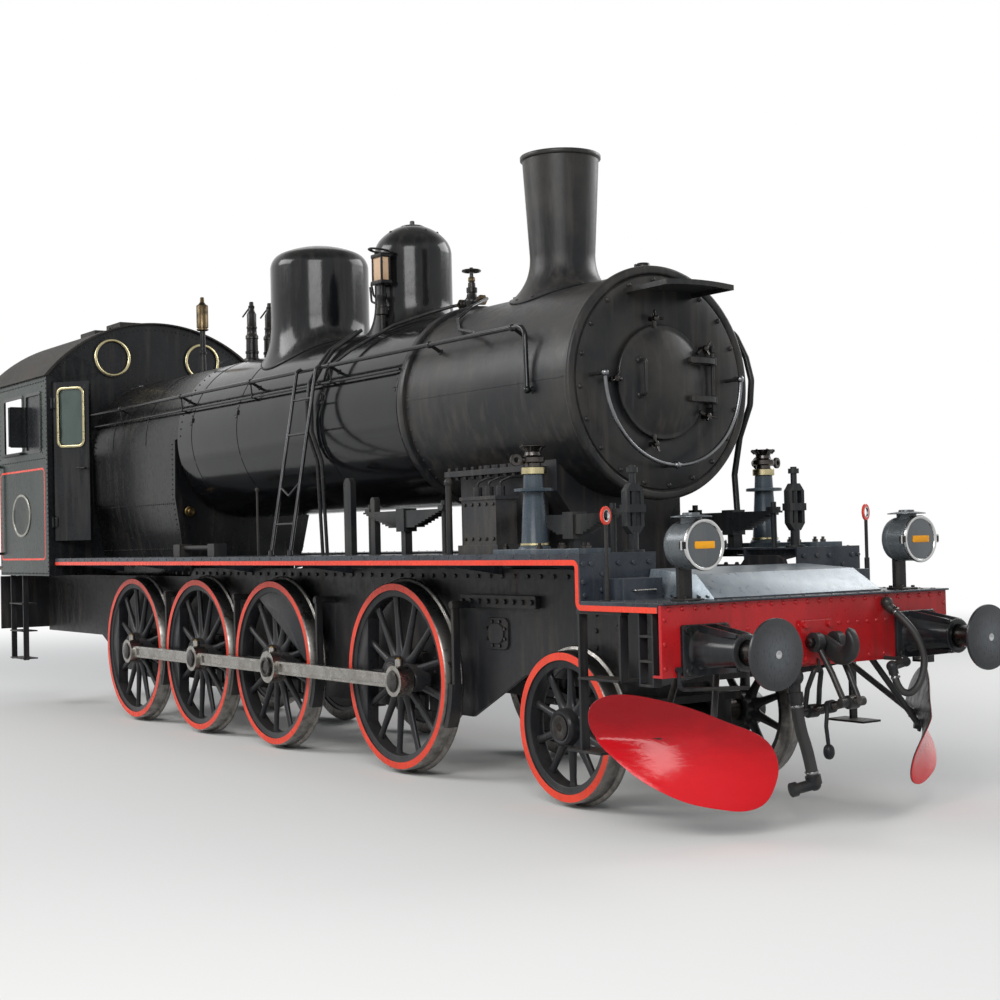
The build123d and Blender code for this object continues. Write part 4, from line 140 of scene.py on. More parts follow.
world = bpy.data.worlds.new("studio")
world.use_nodes = True
tree = world.node_tree
tree.nodes.clear()
path = add(tree, "ShaderNodeLightPath")
seen = add(tree, "ShaderNodeMath", {0: path.outputs["Is Camera Ray"],
    1: path.outputs["Is Transmission Ray"]}, operation="MAXIMUM")
seen = add(tree, "ShaderNodeMath", {0: seen.outputs[0], 1: path.outputs["Is Glossy Ray"]},
    operation="MAXIMUM")
dome = add(tree, "ShaderNodeBackground", {"Color": linear("#dfe6ee"), "Strength": 0.62})
place = add(tree, "ShaderNodeTexCoord")
rise = add(tree, "ShaderNodeSeparateXYZ", {0: place.outputs["Generated"]})
ceiling = add(tree, "ShaderNodeMapRange", {"Value": rise.outputs["Z"], "From Min": 0.5,
    "From Max": 0.85, "To Min": 1.0, "To Max": 0.22}, interpolation_type="SMOOTHSTEP")
plain = add(tree, "ShaderNodeBackground",
    {"Color": (1, 1, 1, 1), "Strength": ceiling.outputs["Result"]})
both = add(tree, "ShaderNodeMixShader", {0: seen.outputs[0], 1: dome.outputs[0],
    2: plain.outputs[0]})
add(tree, "ShaderNodeOutputWorld", {"Surface": both.outputs[0]})
bpy.context.scene.world = world

floor_material, tree = blank("pale_floor")
path = add(tree, "ShaderNodeLightPath")
place = add(tree, "ShaderNodeTexCoord")
reach = add(tree, "ShaderNodeVectorMath", {0: place.outputs["Object"]}, operation="LENGTH")
fade = add(tree, "ShaderNodeMapRange", {"Value": reach.outputs["Value"], "From Min": 9.0,
    "From Max": 24.0}, interpolation_type="SMOOTHSTEP")
direct = add(tree, "ShaderNodeMath", {0: path.outputs["Is Camera Ray"],
    1: path.outputs["Is Glossy Ray"]}, operation="MAXIMUM")
direct = add(tree, "ShaderNodeMath", {0: direct.outputs[0], 1: path.outputs["Is Transmission Ray"]},
    operation="MAXIMUM")
shown = add(tree, "ShaderNodeMath", {0: fade.outputs["Result"], 1: direct.outputs[0]},
    operation="MULTIPLY")
matt = add(tree, "ShaderNodeBsdfDiffuse", {"Color": linear("#dcdad6")})
white = add(tree, "ShaderNodeEmission", {"Color": (1, 1, 1, 1), "Strength": 1.0})
both = add(tree, "ShaderNodeMixShader", {0: shown.outputs[0], 1: matt.outputs[0],
    2: white.outputs[0]})
add(tree, "ShaderNodeOutputMaterial", {"Surface": both.outputs[0]})
floor_mesh = bpy.data.meshes.new("floor")
floor_mesh.from_pydata([(-120, -120, -0.001), (120, -120, -0.001), (120, 120, -0.001),
    (-120, 120, -0.001)], [], [(0, 1, 2, 3)])
floor_mesh.materials.append(floor_material)
floor = bpy.data.objects.new("floor", floor_mesh)
bpy.context.scene.collection.objects.link(floor)

# Soft boxes: (place, what it faces, width, height, watts)
SOFT_BOXES = (
    ((13.0, -11.0, 9.0), (1.5, 0.0, 2.0), 9.0, 6.0, 1500),
    ((-7.0, -12.0, 10.0), (-1.5, 0.0, 2.0), 10.0, 5.0, 1300),
    ((3.0, 12.0, 9.0), (0.0, 0.0, 2.0), 10.0, 5.0, 800),
)
for number, (place, aim, width, height, watts) in enumerate(SOFT_BOXES):
    light = bpy.data.lights.new(f"soft_box_{number}", "AREA")
    light.shape, light.size, light.size_y, light.energy = "RECTANGLE", width, height, watts
    lamp = bpy.data.objects.new(f"soft_box_{number}", light)
    lamp.location = place
    lamp.rotation_euler = (Vector(aim) - Vector(place)).to_track_quat("-Z", "Y").to_euler()
    bpy.context.scene.collection.objects.link(lamp)

# Wheels: cast spoked centres with shrunk-on steel tyres. The centres are painted black,
# the tyres' outer faces carry a red ring, and the treads are worn bright.
ENGINE = np.array((2.05, 0.0, 0.028))  # the front coupled axle at rail height, in this frame
AHEAD, LEFT, UP = (1, 0, 0), (0, 1, 0), (0, 0, 1)
TREAD_R = {"coupled": 0.694, "leading": 0.485}
TYRE_BACK, TYRE_FACE = 0.680, 0.820
RED_RING = "#e0452f"


def solid(name, vertices, quads, materials=(), kinds=None, body="engine", smooth=40):
    """A mesh from vertices and four-cornered faces; a face with two corners alike is a
    triangle. Unused vertices are dropped, and edges under the angle smooth are shaded smooth."""
    used, back = np.unique(quads, return_inverse=True)
    quads = back.reshape(quads.shape)
    same = np.roll(quads, -1, axis=1) == quads
    keep = same.sum(axis=1) < 2
    quads, same = quads[keep], same[keep]
    kinds = None if kinds is None else np.asarray(kinds)[keep]
    three = same.any(axis=1)
    corner = np.argmax(same, axis=1)
    order = (corner[:, None] + np.arange(1, 4)) % 4
    tris = np.take_along_axis(quads, order, axis=1)[three]
    faces = quads[~three].tolist() + tris.tolist()
    mesh = bpy.data.meshes.new(name)
    mesh.from_pydata(np.asarray(vertices)[used].tolist(), [], faces)
    for material in materials:
        mesh.materials.append(material)
    if kinds is not None:
        mesh.polygons.foreach_set("material_index",
            np.concatenate((kinds[~three], kinds[three])).astype(np.int32))
    mesh.polygons.foreach_set("use_smooth", np.ones(len(mesh.polygons), bool))
    if smooth:
        mesh.set_sharp_from_angle(angle=math.radians(smooth))
    mesh.update()
    piece = bpy.data.objects.new(name, mesh)
    bpy.context.scene.collection.objects.link(piece)
    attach(piece, body)
    return piece


def join(*parts):
    """One vertex list and one face list from several (vertices, faces, kinds) parts."""
    offsets = np.cumsum([0] + [len(vertices) for vertices, _, _ in parts])
    vertices = np.vstack([vertices for vertices, _, _ in parts])
    quads = np.vstack([faces + offset for (_, faces, _), offset in zip(parts, offsets)])
    kinds = np.concatenate([np.broadcast_to(kind, len(faces)) for _, faces, kind in parts])
    return vertices, quads, kinds


def grid_part(points, kind=0, loop_u=False, loop_v=False, flip=False):
    """The (vertices, faces, kind) part of a grid surface."""
    rows, columns = points.shape[:2]
    index = np.arange(rows * columns).reshape(rows, columns)
    pole = np.ptp(points, axis=1).max(axis=1) < 1e-9
    index[pole] = index[pole][:, :1]
    pole = np.ptp(points, axis=0).max(axis=1) < 1e-9
    index[:, pole] = index[:1, pole]
    a = np.vstack((index, index[:1])) if loop_u else index
    a = np.hstack((a, a[:, :1])) if loop_v else a
    quads = np.stack((a[:-1, :-1], a[1:, :-1], a[1:, 1:], a[:-1, 1:]), -1).reshape(-1, 4)
    kind = np.tile(np.asarray(kind), a.shape[0] - 1) if np.ndim(kind) else kind
    return points.reshape(-1, 3), quads[:, ::-1] if flip else quads, kind


def assembled(name, parts, materials, body="engine", node=None, smooth=40):
    """One piece from several parts. Where node is given, the piece stands for that CAD node."""
    vertices, quads, kinds = join(*parts)
    piece = solid(name, vertices, quads, materials, kinds, body, smooth)
    if node:
        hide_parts(node)
    return piece


def turning(profile, centre, axis, steps=64, kind=0):
    """A turned surface: each (distance along the axis, radius) carried round the axis."""
    profile = np.asarray(profile, float)
    axis = np.asarray(axis, float) / np.linalg.norm(axis)
    side = np.cross(axis, (0, 0, 1) if abs(axis[2]) < 0.9 else (1, 0, 0))
    side /= np.linalg.norm(side)
    third = np.cross(axis, side)
    turn = np.linspace(0, 2 * np.pi, steps, endpoint=False)[:, None, None]
    ring = np.cos(turn) * side + np.sin(turn) * third
    points = np.asarray(centre) + profile[:, 0][None, :, None] * axis + profile[:, 1][None, :,
        None] * ring
    return grid_part(points, kind, loop_u=True)


def slab(outline, rows, along, kind=0):
    """A bevelled slab from a convex outline in X and Z: each row is (height across, inset
    towards the middle), closed by a point at both ends."""
    outline = np.asarray(outline, float)
    middle = outline.mean(axis=0)
    outward = outline - middle
    outward /= np.linalg.norm(outward, axis=1)[:, None]
    rings = [np.column_stack((outline[:, 0] - inset * outward[:, 0], np.full(len(outline), y),
        outline[:, 1] - inset * outward[:, 1])) for y, inset in rows]
    ends = [np.broadcast_to((middle[0], y, middle[1]), rings[0].shape) for y in (rows[0][0],
        rows[-1][0])]
    points = np.stack([ends[0], *rings, ends[1]], axis=1)
    return grid_part(points, kind, loop_u=True, flip=along < 0)


def clouds(tree, size_mm, detail=4.0, rough=0.55, stretch=None):
    """Fractal noise whose patches are about size_mm across, on the piece's own coordinates."""
    place = add(tree, "ShaderNodeTexCoord").outputs["Object"]
    if stretch:
        place = add(tree, "ShaderNodeMapping", {"Vector": place, "Scale": stretch}).outputs[0]
    noise = add(tree, "ShaderNodeTexNoise", {"Vector": place, "Scale": 1000 / size_mm,
        "Detail": detail, "Roughness": rough})
    return noise.outputs["Fac"]


def painted(name, colour, worn, dust, rough=(0.22, 0.38), dusty=0.35, metallic=0.0, coat=0.0,
        grain_mm=9, bump=0.12, streak=0.25, shine=0.22):
    """Brushed enamel on steel plate. colour drifts to worn in patches half a metre across,
    grime runs down in streaks, dust lies on what faces up, and the brushed film has a fine
    orange peel. rough is the range of gloss between clean and grimed paint, shine how much of the
    surroundings it gives back."""
    material, tree = blank(name)
    broad = clouds(tree, 520, 5.0, 0.6)
    fine = clouds(tree, 42, 6.0, 0.65)
    runs = clouds(tree, 70, 4.0, 0.6, (1.0, 1.0, 0.09))
    patch = ranged(tree, broad, low=0.42, high=0.68)
    base = mixed(tree, patch, colour, worn)
    runs = ranged(tree, runs, low=0.5, high=0.74, last=streak)
    base = mixed(tree, runs, base, dust)
    normal = add(tree, "ShaderNodeNewGeometry").outputs["Normal"]
    up = add(tree, "ShaderNodeSeparateXYZ", {0: normal}).outputs["Z"]
    lying = ranged(tree, up, low=0.25, high=1.0, last=dusty)
    lying = maths(tree, "MULTIPLY", lying, fine)
    base = mixed(tree, lying, base, dust)
    grime = maths(tree, "ADD", runs, lying)
    grime = maths(tree, "ADD", grime, fine, 0.0)
    gloss = ranged(tree, grime, low=0.35, high=1.0, first=rough[0], last=rough[1])
    peel = clouds(tree, grain_mm, 3.0, 0.5)
    height = dented(tree, peel, bump, 0.0012)
    dent = add(tree, "ShaderNodeBump", {"Height": broad, "Strength": 0.25, "Distance": 0.012,
        "Normal": height}).outputs[0]
    surfaced(tree, {"Base Color": base, "Roughness": gloss, "Normal": dent, "Metallic": metallic,
        "IOR": 1.5, "Coat Weight": coat, "Coat Roughness": 0.12, "Specular IOR Level": shine})
    return material


def bare_metal(name, colour, stain, rough=(0.25, 0.5), grain_mm=6, stained=0.5, bump=0.15,
        stretch=None):
    """Bare metal: fine marks from working it, with darker oil or oxide in patches."""
    material, tree = blank(name)
    patch = clouds(tree, 90, 6.0, 0.62)
    marks = clouds(tree, grain_mm, 4.0, 0.6, stretch)
    oiled = ranged(tree, patch, low=0.45, high=0.66, last=stained)
    base = mixed(tree, oiled, colour, stain)
    gloss = ranged(tree, patch, low=0.35, high=0.7, first=rough[0], last=rough[1])
    height = dented(tree, marks, bump, 0.0008)
    surfaced(tree, {"Base Color": base, "Roughness": gloss, "Normal": height, "Metallic": 1.0})
    return material


# Black enamel on the wheel centres, with brake dust that has baked on as brown grey
wheel_black = painted("wheel_black_enamel", "#1d1e21", "#2a2a2c", "#4a443d", rough=(0.26, 0.5),
    dusty=0.5, grain_mm=7, bump=0.25)
# Red enamel of the rings, brushed by hand, a little chalky with age
ring_red = painted("ring_red_enamel", RED_RING, "#c93c2a", "#7b4a3c", rough=(0.25, 0.42),
    dusty=0.12, streak=0.3, grain_mm=8, bump=0.1)
# Tyre steel that brake blocks and rails keep half bright
tread_steel = bare_metal("worn_tyre_steel", "#85827e", "#3b3937", rough=(0.24, 0.5), stained=0.6,
    stretch=(1, 0.1, 1))
# Dark forged steel, oily, for crankpins, axle ends and their nuts
oily_steel = bare_metal("oily_forged_steel", "#4b4846", "#1f1c1a", rough=(0.22, 0.45), stained=0.8)

BLACK, RED, TREAD, STEEL = range(4)
WHEEL_SKINS = (wheel_black, ring_red, tread_steel, oily_steel)
SPOKE_MIDDLE = 0.75
HUB_FACE = 0.852


def tyre_and_rim(tread):
    """The tyre's and rim's profile turned about the axle: flange, coned tread, red face
    ring, the lip of the shrink ring and the rim's rounded inner side."""
    seat, inner = tread - 0.062, tread - 0.108
    back, face = TYRE_BACK, TYRE_FACE
    corner = np.radians(np.linspace(0, 180, 9))
    flange = np.column_stack((back + 0.016 - 0.016 * np.cos(corner), tread + 0.012 + 0.016
        * np.sin(corner)))
    profile = [(back + 0.014, inner + 0.006), (back + 0.014, seat - 0.004), (back + 0.012, seat),
        (back, seat)]
    profile += flange.tolist()
    profile += [(back + 0.036, tread + 0.003), (back + 0.05, tread), (face - 0.01, tread - 0.003),
        (face, tread - 0.012)]
    profile += [(face, tread - 0.012), (face, seat + 0.002), (face - 0.002, seat),
        (face - 0.012, seat - 0.001), (face - 0.014, seat - 0.004)]
    profile += [(face - 0.014, inner + 0.01), (face - 0.018, inner + 0.002),
        (SPOKE_MIDDLE + 0.03, inner - 0.004), (SPOKE_MIDDLE - 0.03, inner - 0.004),
        (back + 0.018, inner + 0.002), (back + 0.014, inner + 0.006)]
    profile = np.array(profile)
    kind = np.full(len(profile) - 1, BLACK)
    kind[3:16] = TREAD
    kind[16:18] = RED
    return turning(profile, (0, 0, 0), LEFT, 128, kind)


def spokes(count, start, end, root, tip):
    """Cast spokes: an oval carried out from hub to rim, tapering, and flared where it
    runs into each."""
    out = np.linspace(0, 1, 13)
    flare = 0.9 * np.exp(-out / 0.09) + 0.75 * np.exp(-(1 - out) / 0.07)
    wide = (root + (tip - root) * out) * (1 + flare)
    thick = (0.027 - 0.008 * out) * (1 + 0.35 * flare)
    turn = np.linspace(0, 2 * np.pi, 16, endpoint=False)
    radius = start + (end - start) * out
    across = np.cos(turn)[None, :] * wide[:, None]
    deep = np.sin(turn)[None, :] * thick[:, None] + SPOKE_MIDDLE
    lean = (np.arange(count) + 0.5) * 2 * np.pi / count
    x = radius[None, :, None] * np.cos(lean)[:, None, None] - across[None] * np.sin(lean)[:, None,
        None]
    z = radius[None, :, None] * np.sin(lean)[:, None, None] + across[None] * np.cos(lean)[:, None,
        None]
    return [grid_part(np.stack((x[n], deep, z[n]), -1), BLACK, loop_v=True, flip=True)
        for n in range(count)]


def two_circles(first, first_r, second, second_r, steps=24):
    """The convex outline round two circles in X and Z, as on a crank's web."""
    gap = np.subtract(second, first)
    heading, lean = math.atan2(gap[1], gap[0]), math.acos((first_r - second_r) / np.hypot(*gap))
    a = heading + lean + np.linspace(0, 2 * np.pi - 2 * lean, steps)
    b = heading - lean + np.linspace(0, 2 * lean, steps)
    one = np.column_stack((first[0] + first_r * np.cos(a), first[1] + first_r * np.sin(a)))
    two = np.column_stack((second[0] + second_r * np.cos(b), second[1] + second_r * np.sin(b)))
    return np.vstack((one, two))


def hub(radius, axle_r):
    """The hub's boss with a dished face, and the axle's end with its centre hole."""
    face, back = HUB_FACE, TYRE_BACK - 0.02
    boss = [(back, axle_r), (back, radius - 0.01), (back + 0.01, radius), (face - 0.03, radius),
        (face - 0.012, radius - 0.006), (face, radius - 0.02), (face, axle_r + 0.012),
        (face - 0.006, axle_r + 0.004), (face - 0.006, axle_r)]
    end = [(face - 0.006, axle_r), (face + 0.001, axle_r - 0.003), (face + 0.003, axle_r - 0.01),
        (face + 0.003, 0.03), (face - 0.01, 0.012), (face - 0.01, 0)]
    return [turning(boss, (0, 0, 0), LEFT, 64, BLACK), turning(end, (0, 0, 0), LEFT, 48, STEEL)]


def crescent(chord, radius):
    """The outline of a balance weight: an arc inside the rim closed by a chord."""
    half = math.acos(chord / radius)
    turn = np.linspace(-half, half, 33)
    arc = np.column_stack((radius * np.cos(turn), radius * np.sin(turn)))
    line = np.column_stack((np.full(9, chord), np.linspace(arc[-1, 1], arc[0, 1], 11)[1:-1]))
    return np.vstack((arc, line))


def turned_by(part, angle):
    """The part turned about the axle by an angle in degrees, X towards Z."""
    vertices, faces, kind = part
    c, s = math.cos(math.radians(angle)), math.sin(math.radians(angle))
    return vertices @ np.array(((c, 0, s), (0, 1, 0), (-s, 0, c))), faces, kind


def placed(part, station, height, side):
    """The left-hand part set at its station, mirrored for the right side."""
    vertices, faces, kind = part
    moved = vertices * (1, side, 1) + (station + ENGINE[0], 0, height + ENGINE[2])
    return moved, faces if side > 0 else faces[:, ::-1], kind


THROW = 0.254
CRANK_ANGLES = {1: 87, -1: -3}
# Rows are (station, weight's angle from the crankpin, distance of its chord)
COUPLED = ((0, 180, 0.43), (-2, 62, 0.33), (-3.5, 180, 0.43), (-5, 180, 0.43))
STATIONS = [row[0] for row in COUPLED]
for number, (station, lag, chord) in enumerate(COUPLED):
    parts = []
    tread = TREAD_R["coupled"]
    for side, crank in CRANK_ANGLES.items():
        wheel = [tyre_and_rim(tread), *spokes(13, 0.135, tread - 0.1, 0.036, 0.021),
            *hub(0.15, 0.095)]
        web = two_circles((0, 0), 0.118, (THROW, 0), 0.088)
        wheel.append(turned_by(slab(web, [(0.72, 0), (0.838, 0), (0.848, 0.006), (0.852, 0.014)], 1,
            BLACK), crank))
        wheel.append(turned_by(slab(crescent(chord, tread - 0.104), [(0.7, 0.004), (0.704, 0),
            (0.792, 0), (0.798, 0.004), (0.8, 0.01)], 1, BLACK), crank + lag))
        pin = [(0.85, 0.052), (0.99, 0.052), (0.991, 0.07), (1.0, 0.07), (1.003, 0.064),
            (1.004, 0.02), (1.004, 0)]
        wheel.append(turned_by(turning(pin, (THROW, 0, 0), LEFT, 40, STEEL), crank))
        parts += [placed(part, station, tread, side) for part in wheel]
    name = f"coupled_wheels_{number + 1}"
    assembled(f"{name}_cast", parts, WHEEL_SKINS, f"coupled_wheelset_{number + 1}",
        name)
parts = []
for side in (1, -1):
    tread = TREAD_R["leading"]
    wheel = [tyre_and_rim(tread), *spokes(10, 0.105, tread - 0.1, 0.034, 0.021), *hub(0.12, 0.08)]
    parts += [placed(part, 2.054, tread, side) for part in wheel]
assembled("leading_wheels_cast", parts, WHEEL_SKINS, "leading_wheelset",
    "leading_wheels")

# Axles: forged steel, turned at the seats and left black between them, filmed with oil
# and road dirt.
axle_steel = bare_metal("forged_axle_steel", "#3b3733", "#1e1a17", rough=(0.35, 0.6), stained=0.8)


def finish_node(name, *materials):
    """The CAD node keeps its shape and takes a finish of its own."""
    node = frame["nodes"][name]
    node.data.materials.clear()
    for material in materials:
        node.data.materials.append(material)
    return node


for name in ("coupled_axle_1", "coupled_axle_2", "coupled_axle_3", "coupled_axle_4",
        "leading_axle"):
    finish_node(name, axle_steel)


def faces_of(piece):
    """The middles of a piece's faces, from the front coupled axle, and their normals."""
    found = [np.empty((len(piece.data.polygons), 3)) for _ in range(2)]
    for values, kind in zip(found, ("center", "normal")):
        piece.data.polygons.foreach_get(kind, values.ravel())
    return found[0] - ENGINE, found[1]


def eased(name, width=0.003, finishes=(), angle=35, segments=2):
    """A plate or forging: the CAD node's own faces, merged and flattened, with every hard
    edge rounded as a file or years of paint leave it."""
    node = frame["nodes"][name]
    mesh = node.data.copy()
    mesh.name = f"{name}_eased"
    work = bmesh.new()
    work.from_mesh(mesh)
    bmesh.ops.remove_doubles(work, verts=work.verts, dist=1e-5)
    bmesh.ops.dissolve_limit(work, angle_limit=math.radians(0.6), verts=work.verts,
        edges=work.edges)
    work.to_mesh(mesh)
    work.free()
    mesh.materials.clear()
    for material in finishes:
        mesh.materials.append(material)
    mesh.polygons.foreach_set("use_smooth", np.ones(len(mesh.polygons), bool))
    mesh.set_sharp_from_angle(angle=math.radians(angle))
    piece = bpy.data.objects.new(f"{name}_eased", mesh)
    bpy.context.scene.collection.objects.link(piece)
    bevel = piece.modifiers.new("edges", "BEVEL")
    bevel.width, bevel.segments = width, segments
    bevel.limit_method, bevel.angle_limit = "ANGLE", math.radians(angle)
    bevel.harden_normals = True
    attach(piece, node["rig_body"])
    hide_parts(name)
    return piece


# Frames and running gear below: plate frames with their cut-outs, the cylinder casting,
# truck, axleboxes, slide bars, brake gear and ashpan. Rolled plate and cast iron, black
# paint dulled by oil, brake dust and ash, bolted with fitted bolts.
frame_black = painted("oily_frame_black", "#202124", "#2c2b2b", "#544c43", rough=(0.3, 0.6),
    dusty=0.65, grain_mm=12, bump=0.3, streak=0.45)
pan_black = painted("scorched_plate", "#26241f", "#3a332b", "#5a4c3e", rough=(0.5, 0.75), dusty=0.5,
    grain_mm=14, bump=0.4, streak=0.5)
for name in ("main_frame", "cylinder_block", "leading_truck", "axleboxes", "slide_bars",
        "drag_beam", "brake_gear"):
    eased(name, 0.0025, (frame_black,))
eased("ashpan", 0.004, (pan_black,))


def heads(name, places, outward, radius, height, material, body="engine", hexagon=False,
        slot="black_paint"):
    """Rivet or bolt heads, one at each place: rings of points that rise along outward and
    close in a point, domed by a quarter sine or flat with a chamfer for a hexagon."""
    places = np.atleast_2d(np.asarray(places, float))
    outward = np.broadcast_to(np.asarray(outward, float), places.shape)
    outward = outward / np.linalg.norm(outward, axis=1)[:, None]
    helper = np.where(np.abs(outward[:, 2:]) < 0.9, (0.0, 0.0, 1.0), (1.0, 0.0, 0.0))
    side = np.cross(outward, helper)
    side /= np.linalg.norm(side, axis=1)[:, None]
    third = np.cross(outward, side)
    sides = 6 if hexagon else 8
    rows = np.array([(-0.1, 1), (0.82, 1), (1, 0.86), (1, 0)]) if hexagon else np.array([(-0.1, 1),
        (0.5, 0.87), (0.87, 0.5), (1, 0)])
    turn = np.arange(sides) * 2 * np.pi / sides
    ring = np.cos(turn)[:, None, None] * side + np.sin(turn)[:, None, None] * third
    points = places + rows[:, 0][:, None, None, None] * height * outward + rows[:, 1][:, None, None,
        None] * radius * ring[None]
    index = np.arange(points.shape[0] * sides * len(places)).reshape(points.shape[0], sides,
        len(places))
    index[-1] = index[-1, :1]
    around = np.concatenate((index, index[:, :1]), axis=1)
    quads = np.stack((around[:-1, :-1], around[:-1, 1:], around[1:, 1:], around[1:, :-1]),
        -1).reshape(-1, 4)
    return solid(name, points.reshape(-1, 3), quads, (material,), None, body)


def line(start, end, count):
    """count places evenly spaced from start to end, both included."""
    return np.linspace(start, end, count)


def engine(places):
    """Places given from the front coupled axle at rail height, moved into this frame."""
    return np.atleast_2d(np.asarray(places, float)) + ENGINE


def both_sides(places):
    """The right-hand places and their mirror images on the left."""
    places = np.atleast_2d(np.asarray(places, float))
    return np.vstack((places, places * (1, -1, 1)))


def outwards(places):
    """Unit vectors across the engine, away from its middle."""
    return np.column_stack((np.zeros(len(places)), np.sign(places[:, 1]), np.zeros(len(places))))


def side_heads(name, places, *rest, **options):
    """Heads on upright plates: they stand outwards at places from the front coupled axle."""
    return heads(name, engine(places), outwards(places), *rest, **options)


# Fitted bolts and rivets in the frame plates: along the top edge, round each horn, at
# the stretchers and where the front extension is bolted on
FRAME_FACE = -0.6
rows = [line((-4.4, FRAME_FACE, 1.43), (2.0, FRAME_FACE, 1.43), 44), line((2.06, FRAME_FACE, 1.48),
    (2.6, FRAME_FACE, 1.48), 6)]
rows += [line((2.62, FRAME_FACE, 0.98), (2.62, FRAME_FACE, 1.42), 6), line((2.14, FRAME_FACE, 1.3),
    (2.14, FRAME_FACE, 0.98), 4), line((2.36, FRAME_FACE, 1.34), (2.36, FRAME_FACE, 1.0), 4)]
for station in STATIONS:
    rows += [line((station - 0.21, FRAME_FACE, 0.62), (station - 0.21, FRAME_FACE, 0.92), 4),
        line((station + 0.21, FRAME_FACE, 0.62), (station + 0.21, FRAME_FACE, 0.92), 4)]
places = both_sides(np.vstack(rows))
side_heads("frame_bolts", places, 0.017, 0.013, frame_black, hexagon=True)

# Cover plate over the valve rods' cross shaft, and the long bolted bracket ahead of it
COVER = ((0.904, 1.174), (0.924, 1.143))


def rounded(x, z, corner, radius=None, steps=8):
    """Places round a rectangle between two pairs of limits: at each corner a quarter circle of
    the given radius about a point that lies corner in from both edges."""
    radius = corner if radius is None else radius
    quarter = np.linspace(0, np.pi / 2, steps)
    hearts = [(x[1] - corner, z[1] - corner), (x[0] + corner, z[1] - corner),
        (x[0] + corner, z[0] + corner), (x[1] - corner, z[0] + corner)]
    arcs = [np.column_stack((cx + radius * np.cos(quarter + n * np.pi / 2),
        cz + radius * np.sin(quarter + n * np.pi / 2))) for n, (cx, cz) in enumerate(hearts)]
    return np.vstack(arcs)


def rounded_plate(name, x, z, y, thick, corner, material):
    """A flat plate with round corners standing off the frame, its edge eased."""
    outline = rounded(x, z, corner, steps=7)
    parts = []
    for side in (-1, 1):
        plate = slab(outline, [(side * y, 0), (side * (y + thick - 0.003), 0),
            (side * (y + thick), 0.003)], side, 0)
        vertices, faces, kind = plate
        parts.append((vertices + ENGINE, faces, kind))
    return assembled(name, parts, (material,))


rounded_plate("frame_cover_plates", *COVER, 0.6, 0.016, 0.05, frame_black)
rounded_plate("frame_cover_bosses", (0.944, 1.134), (0.964, 1.103), 0.615, 0.014, 0.07, frame_black)
rounded_plate("frame_brackets", (0.64, 1.55), (1.215, 1.3), 0.6, 0.05, 0.012, frame_black)
rows = [line((0.68, -0.651, 1.257), (1.51, -0.651, 1.257), 9)]
places = both_sides(np.vstack(rows))
side_heads("bracket_bolts", places, 0.02, 0.016, frame_black, hexagon=True)
turn = np.radians(np.arange(0, 360, 45) + 22.5)
places = both_sides(np.column_stack((1.039 + 0.115 * np.cos(turn), np.full(8, -0.616),
    1.033 + 0.09 * np.sin(turn))))
side_heads("cover_bolts", places, 0.013, 0.012, oily_steel, hexagon=True)
# The wings' flanges are bolted from below, a hand's breadth apart
places = both_sides(np.vstack((line((0.68, -0.735, 2.13), (1.56, -0.735, 2.13), 10),
    line((0.68, -0.735, 2.17), (1.56, -0.735, 2.17), 10))))
up = np.where(places[:, 2:] > 2.15, (0.0, 0.0, 1.0), (0.0, 0.0, -1.0))
heads("wing_bolts", engine(places), up, 0.019, 0.024, frame_black, hexagon=True)

# Coupling rods: forged and milled bright, with a flute along each side, round bosses with steel
# bushes, and an oil cup forged on top of each under a bronze lid. They carry an oily grey film.
rod_steel = bare_metal("milled_rod_steel", "#a19e99", "#6a645c", rough=(0.22, 0.38), stained=0.5,
    grain_mm=4, stretch=(0.12, 1, 1))
bush_bronze = bare_metal("oiled_bronze", "#a07c42", "#4e3b22", rough=(0.25, 0.45), stained=0.6)
ROD_MIDDLE, ROD_BOSS_FACE = 0.934, 0.990
for word, side, crank in (("right", -1, -3), ("left", 1, 87)):
    body = f"coupling_rod_{word}"
    eased(body, 0.003, (rod_steel,), segments=3)
    shift = np.array((THROW * math.cos(math.radians(crank)), 0, TREAD_R["coupled"] + THROW
        * math.sin(math.radians(crank))))
    parts = []
    for station in STATIONS:
        face = ROD_BOSS_FACE + (0.018 if station == -2 else 0)
        ring = [(face - 0.004, 0.053), (face + 0.0015, 0.054), (face + 0.003, 0.057),
            (face + 0.003, 0.078), (face + 0.0005, 0.081), (face - 0.004, 0.081)]
        vertices, faces, kind = turning(np.array(ring) * (side, 1), (station, 0, 0) + shift
            + ENGINE, LEFT, 48)
        parts.append((vertices, faces if side > 0 else faces[:, ::-1], kind))
    assembled(f"rod_bushes_{word}", parts, (oily_steel,), body)
    lids = engine([(station, side * ROD_MIDDLE, 0.157) + shift for station in STATIONS])
    heads(f"oil_cup_lids_{word}", lids, UP, 0.02, 0.012, bush_bronze, body, hexagon=True,
        slot="rod_steel")

# Leaf springs: stacks of tempered strip held by a forged buckle, hung at their ends
spring_steel = painted("spring_paint", "#26282a", "#393938", "#5a554e", rough=(0.26, 0.44),
    dusty=0.5, metallic=0.35, grain_mm=5, bump=0.3, streak=0.35)
eased("leaf_springs", 0.0018, (spring_steel,))

